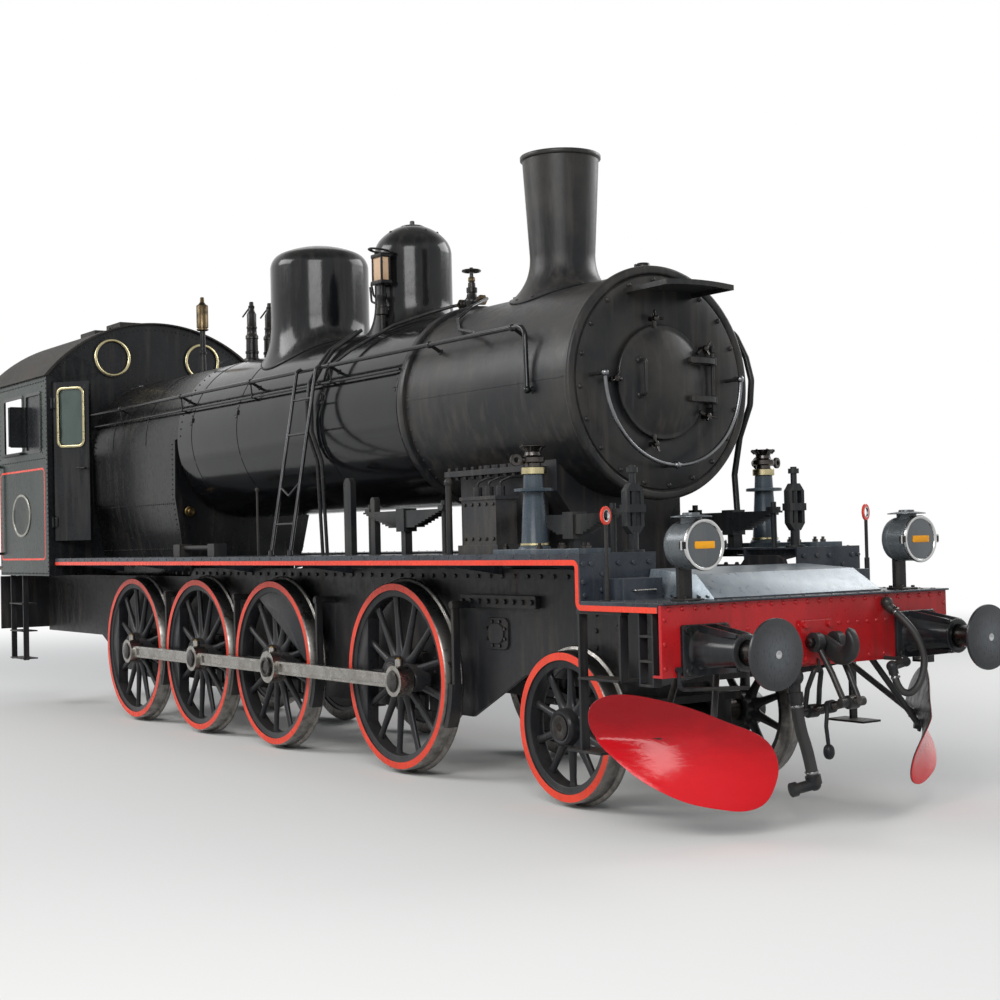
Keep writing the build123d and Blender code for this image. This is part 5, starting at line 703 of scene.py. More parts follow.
# Buffer beam: a riveted steel plate across the engine, enamelled red front and back, with
# an angle along its top that carries the deck, and rows of snap-headed rivets.
beam_red = painted("beam_red_enamel", "#b01c20", "#951a1d", "#55221f", rough=(0.26, 0.42),
    dusty=0.2, grain_mm=10, bump=0.18, streak=0.4, shine=0.3)
eased("buffer_beam", 0.003, (beam_red,))
BEAM_FACE = 3.459
rows = [line((BEAM_FACE, -1.13, 1.277), (BEAM_FACE, 1.13, 1.277), 24),
    line((BEAM_FACE, -0.62, 1.14), (BEAM_FACE, 0.62, 1.14), 16)]
rows += [line((BEAM_FACE, -1.165, 0.95), (BEAM_FACE, -1.165, 1.22), 3),
    line((BEAM_FACE, 1.165, 0.95), (BEAM_FACE, 1.165, 1.22), 3)]
rows += [line((BEAM_FACE, -0.6, 0.935), (BEAM_FACE, -0.2, 0.935), 4), line((BEAM_FACE, 0.2, 0.935),
    (BEAM_FACE, 0.6, 0.935), 4)]
heads("beam_rivets", engine(np.vstack(rows)), AHEAD, 0.0145, 0.0095, beam_red, slot="signal_red")

# Front platform: chequered deck plate, black with a blue grey tint that is a painted sky
# reflection, its valance, the tool boxes, and the sheet cover that slopes down over the cylinders,
# painted pale silver blue as a painted sky reflection.
# Painted reflection: the deck's black is tinted blue grey, lighter in patches, for the sky it
# reflects
deck_paint_sky_tinted = painted("deck_enamel_sky_tinted", "#272b31", "#3b4149", "#6b6a66", rough=(0.2, 0.4), dusty=0.5,
    grain_mm=10, bump=0.2, streak=0.2)
# Painted reflection: the sloping cover is painted pale silver blue for the sky it reflects
cover_sheet_sky_sheen = painted("cover_sheet_painted_sheen", "#838d95", "#6f787f", "#a5a6a2", rough=(0.24, 0.38),
    dusty=0.4, metallic=0.35, grain_mm=16, bump=0.12, streak=0.35)
platform = eased("front_platform", 0.003, (deck_paint_sky_tinted, cover_sheet_sky_sheen))
middle, facing = faces_of(platform)
on_cover = (np.abs(middle[:, 1]) < 0.72) & (middle[:, 2] > 1.3135) & (facing[:, 2] > 0.2)
platform.data.polygons.foreach_set("material_index", on_cover.astype(np.int32))

# Handles of the two tool boxes, bent from round bar
chrome_worn = bare_metal("worn_bright_bar", "#a9a7a2", "#5c5955", rough=(0.22, 0.4), stained=0.5)


def tube(route, radius, sides=14, kind=0, bend=None):
    """A round bar or pipe along a route of points: corners become arcs of radius bend,
    and each ring stands square to the way the route runs there."""
    route = np.asarray(route, float)
    bend = 2.5 * radius if bend is None else bend
    line_points = [route[0]]
    for before, corner, after in zip(route[:-2], route[1:-1], route[2:]):
        a, b = before - corner, after - corner
        la, lb = np.linalg.norm(a), np.linalg.norm(b)
        a, b = a / la, b / lb
        half = math.acos(np.clip(a @ b, -1, 1)) / 2
        cut = min(bend / max(math.tan(half), 1e-6), 0.48 * la, 0.48 * lb)
        if half > math.pi / 2 - 0.01:
            continue
        real = cut * math.tan(half)
        heart = corner + (a + b) / np.linalg.norm(a + b) * real / math.sin(half)
        start, end = corner + a * cut - heart, corner + b * cut - heart
        sweep = math.pi - 2 * half
        count = max(3, int(sweep / 0.2) + 1)
        t = np.linspace(0, 1, count)[:, None]
        line_points += list(heart + (np.sin((1 - t) * sweep) * start + np.sin(t * sweep) * end)
            / math.sin(sweep))
    line_points.append(route[-1])
    p = np.array(line_points)
    ahead = np.gradient(p, axis=0)
    ahead /= np.linalg.norm(ahead, axis=1)[:, None]
    side = np.cross(ahead[0], (0, 0, 1) if abs(ahead[0][2]) < 0.9 else (1, 0, 0))
    sides_list = []
    for way in ahead:
        side = side - way * (side @ way)
        side /= np.linalg.norm(side)
        sides_list.append(side)
    side = np.array(sides_list)
    third = np.cross(ahead, side)
    turn = np.linspace(0, 2 * np.pi, sides, endpoint=False)
    rings = p[:, None] + radius * (np.cos(turn)[:, None] * side[:, None] + np.sin(turn)[:, None]
        * third[:, None])
    rings = np.concatenate((np.broadcast_to(p[0], rings[:1].shape), rings,
        np.broadcast_to(p[-1], rings[:1].shape)))
    return grid_part(rings, kind, loop_v=True, flip=True)


def bar(route, *rest):
    """A bar along a route given from the front coupled axle at rail height."""
    return tube(np.asarray(route) + ENGINE, *rest)


def bars(name, routes, radius, material, body="engine", bend=None, sides=14):
    """One piece from several bent bars given from the front coupled axle at rail height."""
    parts = [bar(route, radius, sides, 0, bend) for route in routes]
    return assembled(name, parts, (material,), body)


HANDLE = [(2.96, -0.97, 1.37), (2.985, -0.97, 1.37), (2.985, -0.81, 1.37), (2.96, -0.81, 1.37)]
bars("box_handles", [HANDLE, [(x, -y, z) for x, y, z in HANDLE]], 0.006, chrome_worn, bend=0.012,
    sides=10)
rows = [line((2.83, -1.1, 1.312), (3.42, -1.1, 1.312), 7), line((3.44, -1.1, 1.312),
    (3.44, 1.1, 1.312), 20)]
heads("deck_rivets", engine(np.vstack((both_sides(rows[0]), rows[1]))), UP, 0.011, 0.006,
    deck_paint_sky_tinted)
places = both_sides([(2.741, -1.17, 1.53), (2.741, -1.11, 1.53), (2.741, -0.898, 1.53),
    (2.741, -0.782, 1.53), (2.741, -1.022, 1.466), (2.741, -1.17, 1.424), (2.741, -1.03, 1.372),
    (2.741, -1.16, 1.345), (2.741, -0.66, 1.53), (2.741, -0.66, 1.40)])
heads("riser_bolts", engine(places), AHEAD, 0.015, 0.012, deck_paint_sky_tinted, hexagon=True)
rows = line((2.76, -0.702, 1.33), (3.3, -0.702, 1.33), 8)
side_heads("cover_edge_bolts", both_sides(rows), 0.009, 0.006, deck_paint_sky_tinted)

# Running boards: plate on brackets with a deep valance. The plate is black in the deck's paint,
# whose blue grey tint is a painted sky reflection; the valance carries a red line in its lower
# half, which runs down the drop at the front and on along the platform with round corners.
eased("running_boards", 0.003, (deck_paint_sky_tinted,))
STRIPE_FACE = 1.1912


def ribbon(route, width, faces_y, bend):
    """A painted line on a plate across the engine: a band of the given width along a
    route in X and Z, its corners rounded about the inside of each turn."""
    route = np.asarray(route, float)
    points = [route[0]]
    for before, corner, after in zip(route[:-2], route[1:-1], route[2:]):
        a, b = (before - corner) / np.linalg.norm(before - corner), (after
            - corner) / np.linalg.norm(after - corner)
        heart = corner + (a + b) * bend
        t = np.linspace(0, np.pi / 2, 9)[:, None]
        points += list(heart - b * bend * np.cos(t) - a * bend * np.sin(t))
    points.append(route[-1])
    p = np.array(points)
    way = np.gradient(p, axis=0)
    way /= np.linalg.norm(way, axis=1)[:, None]
    across = np.column_stack((-way[:, 1], way[:, 0]))
    low, high = p - across * width / 2, p + across * width / 2
    back = faces_y - math.copysign(0.0015, faces_y)
    rows = [(low, back), (low, faces_y), (high, faces_y), (high, back)]
    grid = np.stack([np.column_stack((q[:, 0], np.full(len(q), y), q[:, 1])) for q, y in rows],
        axis=1)
    return grid_part(grid + ENGINE, 0, flip=faces_y < 0)


line_red = painted("line_red_enamel", "#e2442f", "#cf3d2a", "#7d4a38", rough=(0.24, 0.38),
    dusty=0.1, grain_mm=8, bump=0.08, streak=0.25)
STRIPE = [(-6.15, 1.538), (2.711, 1.538), (2.711, 1.272), (3.43, 1.272)]
parts = [ribbon(STRIPE, 0.033, side * STRIPE_FACE, 0.035) for side in (-1, 1)]
assembled("running_board_lines", parts, (line_red,))
rows = line((-6.05, -1.1902, 1.573), (2.62, -1.1902, 1.573), 48)
side_heads("valance_rivets", both_sides(rows), 0.009, 0.005, deck_paint_sky_tinted)
rows = line((-6.05, -1.165, 1.5902), (2.66, -1.165, 1.5902), 60)
heads("board_rivets", engine(both_sides(rows)), UP, 0.009, 0.004, deck_paint_sky_tinted)
eased("board_gear", 0.003, (frame_black,))

# Smokebox: a shell of thick plate with a lap seam along each side, a rear ring where it
# meets the barrel, and a heavy pressed front ring. Heat-proof paint, dull and warm grey
# with soot, since gloss enamel would burn off here.
smokebox_paint = painted("smokebox_graphite", "#1b1c1e", "#32302d", "#4a4540", rough=(0.3, 0.46),
    dusty=0.4, grain_mm=6, bump=0.35, streak=0.5)
AXIS_Z = 2.7
SMOKEBOX_R, BARREL_R = 0.744, 0.75


def lathe(name, profile, node=None):
    """One turned piece of (station, radius) about the boiler's axis, in the smokebox's paint."""
    part = turning(profile, ENGINE + (0, 0, AXIS_Z), AHEAD, 192)
    return assembled(name, [part], (smokebox_paint,), node=node)


def capped(rows):
    """Rows of points with both ends drawn in to their middles, which closes the surface."""
    first, last = (np.broadcast_to(rows[n].mean(axis=0), rows[:1].shape) for n in (0, -1))
    return np.concatenate((first, rows, last))


def wrapped(x, angles, inner, outer, edge=0.002, steps=64):
    """A strap laid round the boiler between two stations and two angles above its right
    side: a rectangle with eased outer corners carried round, closed at both ends."""
    section = np.array([(x[0], inner), (x[0], outer - edge), (x[0] + edge, outer),
        (x[1] - edge, outer), (x[1], outer - edge), (x[1], inner)])
    turn = np.radians(np.linspace(angles[0], angles[1], steps))[:, None]
    ring = np.stack((np.broadcast_to(section[:, 0], (steps, 6)), -section[:, 1] * np.cos(turn),
        AXIS_Z + section[:, 1] * np.sin(turn)), -1)
    return grid_part(capped(ring) + ENGINE, 0, loop_v=True, flip=True)


def on_barrel(x, angles, radius):
    """Places on the boiler's right side at angles above its middle, and the way out there."""
    lean = np.radians(np.atleast_1d(angles))
    x = np.broadcast_to(x, lean.shape)
    out = np.column_stack((np.zeros(len(lean)), -np.cos(lean), np.sin(lean)))
    return np.column_stack((x, out[:, 1] * radius, AXIS_Z + out[:, 2] * radius)), out


eased("smokebox", 0.0, (smokebox_paint,))
RING = [(2.092, 0.35), (2.126, 0.35), (2.128, 0.353), (2.128, 0.702), (2.126, 0.706),
    (2.113, 0.709), (2.111, 0.713), (2.112, 0.717), (2.124, 0.722), (2.129, 0.729), (2.130, 0.738),
    (2.130, 0.757), (2.1285, 0.765), (2.124, 0.773), (2.116, 0.778), (2.106, 0.780), (2.098, 0.780),
    (2.0935, 0.778), (2.092, 0.774), (2.092, 0.35)]
lathe("smokebox_front_ring", RING, "smokebox_front")
REAR_RING = [(0.03, 0.74), (0.03, 0.765), (0.033, 0.772), (0.04, 0.775), (0.1, 0.775),
    (0.107, 0.772), (0.11, 0.765), (0.11, 0.74)]
lathe("smokebox_rear_ring", REAR_RING)
parts = [wrapped((0.11, 2.092), (1.5, 3.2), 0.742, 0.7475, steps=6),
    wrapped((0.11, 2.092), (176.8, 178.5), 0.742, 0.7475, steps=6)]
assembled("smokebox_lap_seams", parts, (smokebox_paint,))
places, out = on_barrel(2.06, np.arange(-60, 240, 4.8), SMOKEBOX_R)
more, way = on_barrel(0.14, np.arange(-60, 240, 6.4), SMOKEBOX_R)
heads("smokebox_rivets", engine(np.vstack((places, more))), np.vstack((out, way)), 0.011, 0.006,
    smokebox_paint, slot="smokebox_black")
turn = np.radians(np.arange(20) * 18 + 4)
places = np.column_stack((np.full(20, 2.128), 0.682 * np.cos(turn), AXIS_Z + 0.682 * np.sin(turn)))
heads("front_ring_bolts", engine(places), AHEAD, 0.019, 0.017, smokebox_paint,
    slot="smokebox_black")

# Smokebox door: a dished plate pressed against the ring by dogs round its rim, hinged on
# the left with two forged straps, and a grab handle.
DOOR_X, HINGE_Y = 2.1305, 0.422
DOOR_R, DOOR_RIM_DEPTH, DOOR_DEPTH = 0.378, 0.022, 0.092
dish_r = DOOR_R - 0.026
dish_rise = DOOR_DEPTH - DOOR_RIM_DEPTH
sphere_r = (dish_r**2 + dish_rise**2) / (2 * dish_rise)
lean = np.linspace(math.asin(dish_r / sphere_r), 0, 22)
profile = [(0.0, 0.0), (0.0, DOOR_R - 0.002), (0.002, DOOR_R), (DOOR_RIM_DEPTH - 0.003, DOOR_R),
    (DOOR_RIM_DEPTH, DOOR_R - 0.003), (DOOR_RIM_DEPTH, dish_r + 0.004)]
profile += np.column_stack((DOOR_DEPTH - sphere_r + sphere_r * np.cos(lean),
    sphere_r * np.sin(lean))).tolist()
parts = [turning(np.array(profile) + (DOOR_X, 0), ENGINE + (0, 0, AXIS_Z), AHEAD, 128)]
for z in (-0.108, 0.150):
    along = np.array((0.18, 0.19, 0.3, 0.39, HINGE_Y))
    depth = np.array((0.089, 0.091, 0.093, 0.077, 0.06))
    tall = np.array((0.012, 0.021, 0.021, 0.021, 0.021))
    corners = [(-1, 0), (-1, 0.92), (-0.85, 1), (0.85, 1), (1, 0.92), (1, 0)]
    grid = np.stack([np.column_stack((DOOR_X + 0.012 + depth * out, along, AXIS_Z + z + tall * up))
        for up, out in corners], axis=1)
    parts.append(grid_part(capped(grid) + ENGINE, 0, loop_v=True, flip=True))
    knuckle = [(-0.028, 0.013), (-0.028, 0.024), (-0.025, 0.028), (0.025, 0.028), (0.028, 0.024),
        (0.028, 0.013)]
    parts.append(turning(knuckle, ENGINE + (2.175, HINGE_Y, AXIS_Z + z), UP, 32))
grab = [(DOOR_X + 0.05, -0.23, 2.605), (DOOR_X + 0.122, -0.23, 2.605),
    (DOOR_X + 0.122, -0.23, 2.834), (DOOR_X + 0.05, -0.23, 2.834)]
parts.append(bar(grab, 0.011, 14, 0, 0.022))
assembled("smokebox_door_dished", parts, (smokebox_paint,), "smokebox_door",
    node="smokebox_door")
places = [(DOOR_X + 0.05, -0.23, 2.605), (DOOR_X + 0.05, -0.23, 2.834)]
heads("door_grab_feet", engine(places), AHEAD, 0.026, 0.02, smokebox_paint, "smokebox_door",
    slot="smokebox_black")

# Dogs: forged clamps on studs in the ring, each with a winged nut, that hold the door's
# rim; they belong to the ring and stay behind when the door swings.
DOGS = (101, 179, 256, 329, 34)
parts = []
for angle in DOGS:
    turn = math.radians(angle)
    out = np.array((0, math.cos(turn), math.sin(turn)))
    flat = np.array((0, -math.sin(turn), math.cos(turn)))
    ahead = np.array((1.0, 0, 0))
    heart = ENGINE + (0, 0, AXIS_Z) + ahead * 2.128
    foot = heart + out * 0.425
    parts.append(turning([(0, 0.016), (0.075, 0.016), (0.078, 0.012), (0.078, 0)], foot, AHEAD, 16))
    a, b = foot + ahead * 0.031 + out * 0.028, foot + ahead * 0.031 - out * 0.062
    parts.append(tube([b, (a + b) / 2 + ahead * 0.008, a], 0.013, 8, 0, 0.03))
    wing = foot + ahead * 0.062
    parts.append(turning([(0, 0.0), (0, 0.022), (0.02, 0.022), (0.024, 0.015), (0.024, 0)],
        wing - ahead * 0.012, AHEAD, 6))
    parts.append(tube([wing, wing + out * 0.05 + flat * 0.02 + ahead * 0.02], 0.008, 10))
    parts.append(tube([wing, wing - out * 0.015 - flat * 0.045 + ahead * 0.02], 0.008, 10))
assembled("door_dogs", parts, (oily_steel,))

# Curved handrail on the smokebox front, rubbed bare by hands, the hinge pin and lugs, and
# the visor of bent plate over the door in place of the arched one on the solid
bright_rail = bare_metal("rubbed_handrail_steel", "#77787a", "#4b4b4c", rough=(0.26, 0.36),
    stained=0.4, grain_mm=30, bump=0.03)
fittings = eased("smokebox_fittings", 0.002, (smokebox_paint, bright_rail))
# The limits of the solid's arched visor, in this frame
ARCHED = ((4.178, 4.592), (-0.289, 0.289), (3.235, 3.4))
work = bmesh.new()
work.from_mesh(fittings.data)
arched = [v for v in work.verts if all(low < at < high for at, (low, high) in zip(v.co, ARCHED))]
bmesh.ops.delete(work, geom=arched, context="VERTS")
work.to_mesh(fittings.data)
work.free()
VISOR_HALF, VISOR_LIP, VISOR_RISE = 0.29, 0.034, 0.014


def visor_plate():
    """A shallow arched plate over the door, z = rise * (1 - (y / half)^2), with its front and
    side edges folded down."""
    y = np.concatenate(([-VISOR_HALF] * 2, [0.007 - VISOR_HALF] * 2, np.linspace(0.02 - VISOR_HALF,
        VISOR_HALF - 0.02, 17), [VISOR_HALF - 0.007] * 2, [VISOR_HALF] * 2))
    depth = np.full(len(y), 0.008)
    depth[[1, 2, -3, -2]] = VISOR_LIP - 0.0005
    x = np.array((2.126, 2.543, 2.543, 2.536, 2.536, 2.126))
    points = np.zeros((len(y), 6, 3))
    points[..., 0] = x
    points[..., 1] = y[:, None]
    points[:, 2:4, 2] = -VISOR_LIP
    points[:, 4:, 2] = -depth[:, None]
    points[..., 2] += 3.31 + VISOR_RISE * (1 - (y[:, None] / VISOR_HALF) ** 2)
    points[[0, -1]] = points[[0, -1]].mean(axis=1, keepdims=True)
    return grid_part(points + ENGINE, 0, loop_v=True)


assembled("door_visor", [visor_plate()], (smokebox_paint,), smooth=30)
middle, facing = faces_of(fittings)
far = np.hypot(middle[:, 1], middle[:, 2] - 2.73)
bright = (middle[:, 0] > 2.24) & (far < 0.62) & (far > 0.54) & (middle[:, 2] < 2.78)
fittings.data.polygons.foreach_set("material_index", bright.astype(np.int32))

# Barrel: lagged with rolled sheet under thin bands, brush-enamelled gloss black and wiped
# with oil, so that the sky and ground show in it as soft streaks.
barrel_gloss = painted("barrel_gloss_enamel", "#0d0e10", "#151618", "#38332e", rough=(0.1, 0.24),
    dusty=0.3, coat=0.15, grain_mm=26, bump=0.1, streak=0.16)
eased("boiler_barrel", 0.0, (barrel_gloss,))
bands = []
clasps = []
for x in (-0.03, -1.184, -2.743, -3.7):
    bands.append(wrapped((x - 0.022, x + 0.022), (-40, 220), BARREL_R - 0.003, BARREL_R + 0.0035,
        0.0015, 140))
    for angle in (12, 168):
        bands.append(wrapped((x - 0.032, x + 0.032), (angle - 1.6, angle + 1.6), BARREL_R,
            BARREL_R + 0.014, 0.003, 5))
        clasps.append(on_barrel(np.array((x, x)), (angle - 3.2, angle + 3.2), BARREL_R + 0.002))
for angle in (-18, 198):
    bands.append(wrapped((-3.7, 0.02), (angle - 0.9, angle + 0.9), BARREL_R - 0.003,
        BARREL_R + 0.002, 0.001, 5))
assembled("barrel_bands", bands, (barrel_gloss,))
heads("band_screws", engine(np.vstack([p for p, _ in clasps])), np.vstack([w for _, w in clasps]),
    0.011, 0.009, oily_steel, slot="boiler_black")

# Firebox casing: flat sheets over the firebox's sides, butted under narrow strips, with
# rows of screws and the brass washout plugs.
casing_paint = painted("casing_enamel", "#0f1012", "#1a1a1b", "#3f3932", rough=(0.2, 0.36),
    dusty=0.35, grain_mm=18, bump=0.25, streak=0.35)
eased("firebox", 0.004, (casing_paint,))
FIRE_HALF = 0.752
rows = [on_barrel(x, np.arange(2, 60, 5.2), FIRE_HALF - 0.001) for x in (-3.93, -4.76, -5.62)]
places = np.vstack([place for place, _ in rows])
out = np.vstack([way for _, way in rows])
heads("casing_screws", engine(np.vstack((places, places * (1, -1, 1)))),
    np.vstack((out, out * (1, -1, 1))), 0.009, 0.006, casing_paint, slot="boiler_black")
SIDE_ROWS = np.array([(0.750, 2.7), (0.738, 2.151),
    (0.640, 1.6203)])  # (half width, height) of the side sheet


def on_side(x, z, proud=0.0):
    """Places on the firebox's right side sheet, which draws in towards the frames."""
    x, z = np.broadcast_arrays(np.asarray(x, float), np.asarray(z, float))
    half = np.interp(-z, -SIDE_ROWS[:, 1], SIDE_ROWS[:, 0]) + proud
    return np.column_stack((x.ravel(), -half.ravel(), z.ravel()))


rows = [on_side(np.linspace(-6.1, -4.16, 40), 2.1), on_side(np.linspace(-6.1, -4.16, 40), 1.66)]
z = np.linspace(1.66, 2.66, 22)
rows += [on_side(-4.13 - 0.06 * (2.7 - z), z)]
rows += [on_side(-6.14, np.linspace(1.66, 2.9, 26))]
places = both_sides(np.vstack(rows))
side_heads("side_sheet_screws", places, 0.0095, 0.007, casing_paint, slot="boiler_black")
parts = []
for side in (-1, 1):
    throat = np.array((-4.09, side * 0.6, 2.02))
    parts.append(turning([(-0.006, 0), (-0.006, 0.05), (0.008, 0.05), (0.012, 0.044), (0.012, 0.03),
        (0.03, 0.028), (0.034, 0.022), (0.034, 0)], throat + ENGINE, (1, 0, -0.08), 32, 0))
bronze_plug = bare_metal("sooty_plug_bronze", "#6f5c3d", "#2a241d", rough=(0.3, 0.5), stained=0.7)
assembled("washout_plugs", parts, (bronze_plug,))
strips = [wrapped((x - 0.02, x + 0.02), (-1, 181), BARREL_R - 0.003, BARREL_R + 0.004, 0.0015, 120)
    for x in (-4.78, -5.64)]
assembled("casing_strips", strips, (casing_paint,))

# Chimney: a cast saddle foot that sweeps up into the waist, and a plain rolled stack that
# widens to a beaded rim; matt and sooty like the smokebox.


def saddle(radius, turn, shell_r):
    """The height of a cylinder along X at a distance and direction from a vertical axis."""
    return AXIS_Z + np.sqrt(shell_r**2 - (radius * np.sin(turn)) ** 2)


def stack(station, shell_r, foot_r, wall, above, lip=0.012, sweep=2.2, inner=None, steps=128,
        rows=16):
    """A turned body on a saddle foot: the foot sweeps up from the shell into the wall at
    wall = (radius, height), and the profile above follows. inner = (radius, depth) lets
    it run down inside again; otherwise the profile ends in a pole."""
    turn = np.linspace(0, 2 * np.pi, steps, endpoint=False)[:, None]
    u = np.linspace(0, 1, rows)[None, :]
    r = wall[0] + (foot_r - wall[0]) * (1 - u) ** sweep
    b = u**1.35
    z = (saddle(r, turn, shell_r) + lip) * (1 - b) + wall[1] * b
    r = np.broadcast_to(r, z.shape)
    first_r = np.full_like(turn, foot_r)
    cols_r = [first_r, first_r + 0.002, r]
    cols_z = [saddle(first_r, turn, shell_r) - 0.003, saddle(first_r, turn, shell_r) + lip * 0.75,
        z]
    for radius, height in above:
        cols_r.append(np.full_like(turn, radius))
        cols_z.append(np.full_like(turn, height))
    if inner:
        cols_r.append(np.full_like(turn, inner))
        cols_z.append(saddle(np.full_like(turn, inner), turn, shell_r) - 0.012)
    r, z = np.hstack(cols_r), np.hstack(cols_z)
    points = np.stack((station + r * np.cos(turn), r * np.sin(turn), z), -1) + ENGINE
    return grid_part(points, 0, loop_u=True, loop_v=bool(inner))


CHIMNEY_X, SAND_DOME_X, STEAM_DOME_X = 1.09, -0.93, -2.52
ABOVE = [(0.2745, 4.384), (0.279, 4.388), (0.288, 4.390), (0.290, 4.393), (0.290, 4.416),
    (0.288, 4.4195), (0.262, 4.4195), (0.258, 4.416), (0.218, 3.7)]
part = stack(CHIMNEY_X, SMOKEBOX_R, 0.380, (0.235, 3.70), ABOVE, inner=0.2175)
assembled("chimney_stack", [part], (smokebox_paint,), node="chimney")
turn = np.radians(np.arange(0, 360, 30) + 15)
places = np.column_stack((CHIMNEY_X + 0.352 * np.cos(turn), 0.352 * np.sin(turn),
    saddle(0.352, turn, SMOKEBOX_R) + 0.012))
out = np.column_stack((np.zeros(12), 0.352 * np.sin(turn), saddle(0.352, turn, SMOKEBOX_R)
    - AXIS_Z))
heads("chimney_foot_bolts", engine(places), out, 0.014, 0.014, smokebox_paint, hexagon=True,
    slot="smokebox_black")

# Domes: spun sheet covers, the front one over the sand and the rear one over the steam
# space, each with a swept foot on the barrel. Gloss black, dusty on the crown.
dome_paint = painted("dome_enamel", "#0e0f11", "#17181a", "#4a4641", rough=(0.12, 0.28), dusty=0.6,
    coat=0.15, grain_mm=24, bump=0.12, streak=0.3)


def crown(radius, top, crown_r, knuckle):
    """The (radius, height) points of a shoulder arc that runs tangent into a crown arc."""
    centre = top - crown_r
    across = radius - knuckle
    height = centre + math.sqrt((crown_r - knuckle) ** 2 - across**2)
    lean = math.atan2(height - centre, across)
    a = np.linspace(0, lean, 14)
    b = np.linspace(lean, np.pi / 2, 16)[1:]
    shoulder = np.column_stack((across + knuckle * np.cos(a), height + knuckle * np.sin(a)))
    over = np.column_stack((crown_r * np.cos(b), centre + crown_r * np.sin(b)))
    over[-1, 0] = 0
    return height, np.vstack((shoulder, over)).tolist()


height, above = crown(0.318, 4.27, 0.36, 0.2)
part = stack(SAND_DOME_X, BARREL_R, 0.388, (0.318, 3.66), above, lip=0.013)
lid = [(0.0, 0.12), (0.0, 0.098), (0.012, 0.096), (0.016, 0.09), (0.018, 0.03), (0.02, 0.022),
    (0.055, 0.02), (0.06, 0.014), (0.062, 0)]
cap = turning(np.array(lid) + (4.25, 0), ENGINE + (SAND_DOME_X, 0, 0), UP, 48)
assembled("sand_dome_cover", [part, cap], (dome_paint,), node="sand_dome")
height, above = crown(0.44, 4.35, 0.9, 0.15)
part = stack(STEAM_DOME_X, BARREL_R, 0.53, (0.44, 3.68), above, lip=0.014)
assembled("steam_dome_cover", [part], (dome_paint,), node="steam_dome")
turn = np.radians(np.arange(0, 360, 45))
places = np.column_stack((SAND_DOME_X + 0.21 * np.cos(turn), 0.21 * np.sin(turn),
    np.full(8, 4.2 + 0.003)))
heads("sand_dome_screws", engine(places), np.column_stack((np.cos(turn) * 0.6, np.sin(turn) * 0.6,
    np.full(8, 0.8))), 0.012, 0.008, dome_paint, slot="boiler_black")

# Foot rims: a beaded strip of packing under the edge of each saddle foot keeps the rain out
RIMS = ((CHIMNEY_X, 0.383, SMOKEBOX_R), (SAND_DOME_X, 0.391, BARREL_R),
    (STEAM_DOME_X, 0.533, BARREL_R))
turn = np.linspace(0, 2 * np.pi, 120, endpoint=False)[:, None]
roll = np.linspace(0, 2 * np.pi, 8, endpoint=False)[None, :]
parts = []
for station, radius, shell_r in RIMS:
    r = radius + 0.009 * np.cos(roll)
    z = saddle(radius, turn, shell_r) + 0.004 + 0.009 * np.sin(roll)
    parts.append(grid_part(np.stack((station + r * np.cos(turn), r * np.sin(turn), z), -1) + ENGINE,
        0, loop_u=True, loop_v=True))
rim_black = painted("packing_black", "#0f1011", "#191919", "#35312d", rough=(0.35, 0.55), dusty=0.2,
    grain_mm=4, bump=0.3)
assembled("foot_rims", parts, (rim_black,))

# Mountings on the boiler's crown: two safety valves side by side, the whistle on its
# standpipe, the blower valve with its hand wheel, and a cap on the smokebox. Turned iron,
# painted black and scorched, with bronze showing where hands and steam have worn them.
CROWN_Z = 3.45
SAFETY_X, WHISTLE_X, BLOWER_X, CAP_X = -3.71, -5.03, -0.08, 1.978
fitting_black = painted("fitting_enamel", "#191a1c", "#2d2b29", "#5a5147", rough=(0.22, 0.42),
    dusty=0.4, metallic=0.3, grain_mm=4, bump=0.25, streak=0.3)
worn_bronze = bare_metal("steam_worn_bronze", "#5c4f3b", "#26221d", rough=(0.28, 0.5), stained=0.75)
VALVE = [(-0.02, 0), (-0.02, 0.078), (0.012, 0.078), (0.016, 0.074), (0.02, 0.06), (0.06, 0.057),
    (0.065, 0.064), (0.085, 0.064), (0.09, 0.057), (0.2, 0.055), (0.205, 0.061), (0.232, 0.061),
    (0.238, 0.056), (0.25, 0.048), (0.3, 0.045), (0.305, 0.05), (0.32, 0.05), (0.325, 0.045),
    (0.44, 0.045), (0.45, 0.041), (0.47, 0.03), (0.5, 0.025), (0.505, 0.03), (0.52, 0.03),
    (0.525, 0.022), (0.555, 0.02), (0.56, 0.016), (0.56, 0)]
WHISTLE_PIPE = [(-0.02, 0), (-0.02, 0.055), (0.01, 0.055), (0.015, 0.034), (0.2, 0.028),
    (0.205, 0.038), (0.225, 0.038), (0.23, 0.028), (0.44, 0.028), (0.445, 0.05)]
WHISTLE_BELL = [(0.445, 0.05), (0.452, 0.06), (0.462, 0.06), (0.466, 0.05), (0.474, 0.05),
    (0.478, 0.06), (0.7, 0.06), (0.708, 0.056), (0.715, 0.04), (0.74, 0.022), (0.785, 0.02),
    (0.79, 0.016), (0.79, 0)]
BLOWER_BODY = [(-0.02, 0), (-0.02, 0.078), (0.012, 0.078), (0.016, 0.072), (0.02, 0.05),
    (0.05, 0.046), (0.07, 0.056), (0.1, 0.056), (0.115, 0.044), (0.15, 0.036), (0.155, 0.042),
    (0.19, 0.042), (0.195, 0.03), (0.23, 0.028), (0.235, 0.02), (0.3, 0.014)]
GLAND = [(0.24, 0.014), (0.24, 0.03), (0.268, 0.03), (0.272, 0.026), (0.272, 0.012)]
WHEEL_HUB = [(0.306, 0.01), (0.306, 0.022), (0.336, 0.022), (0.34, 0.016), (0.348, 0.014),
    (0.35, 0)]
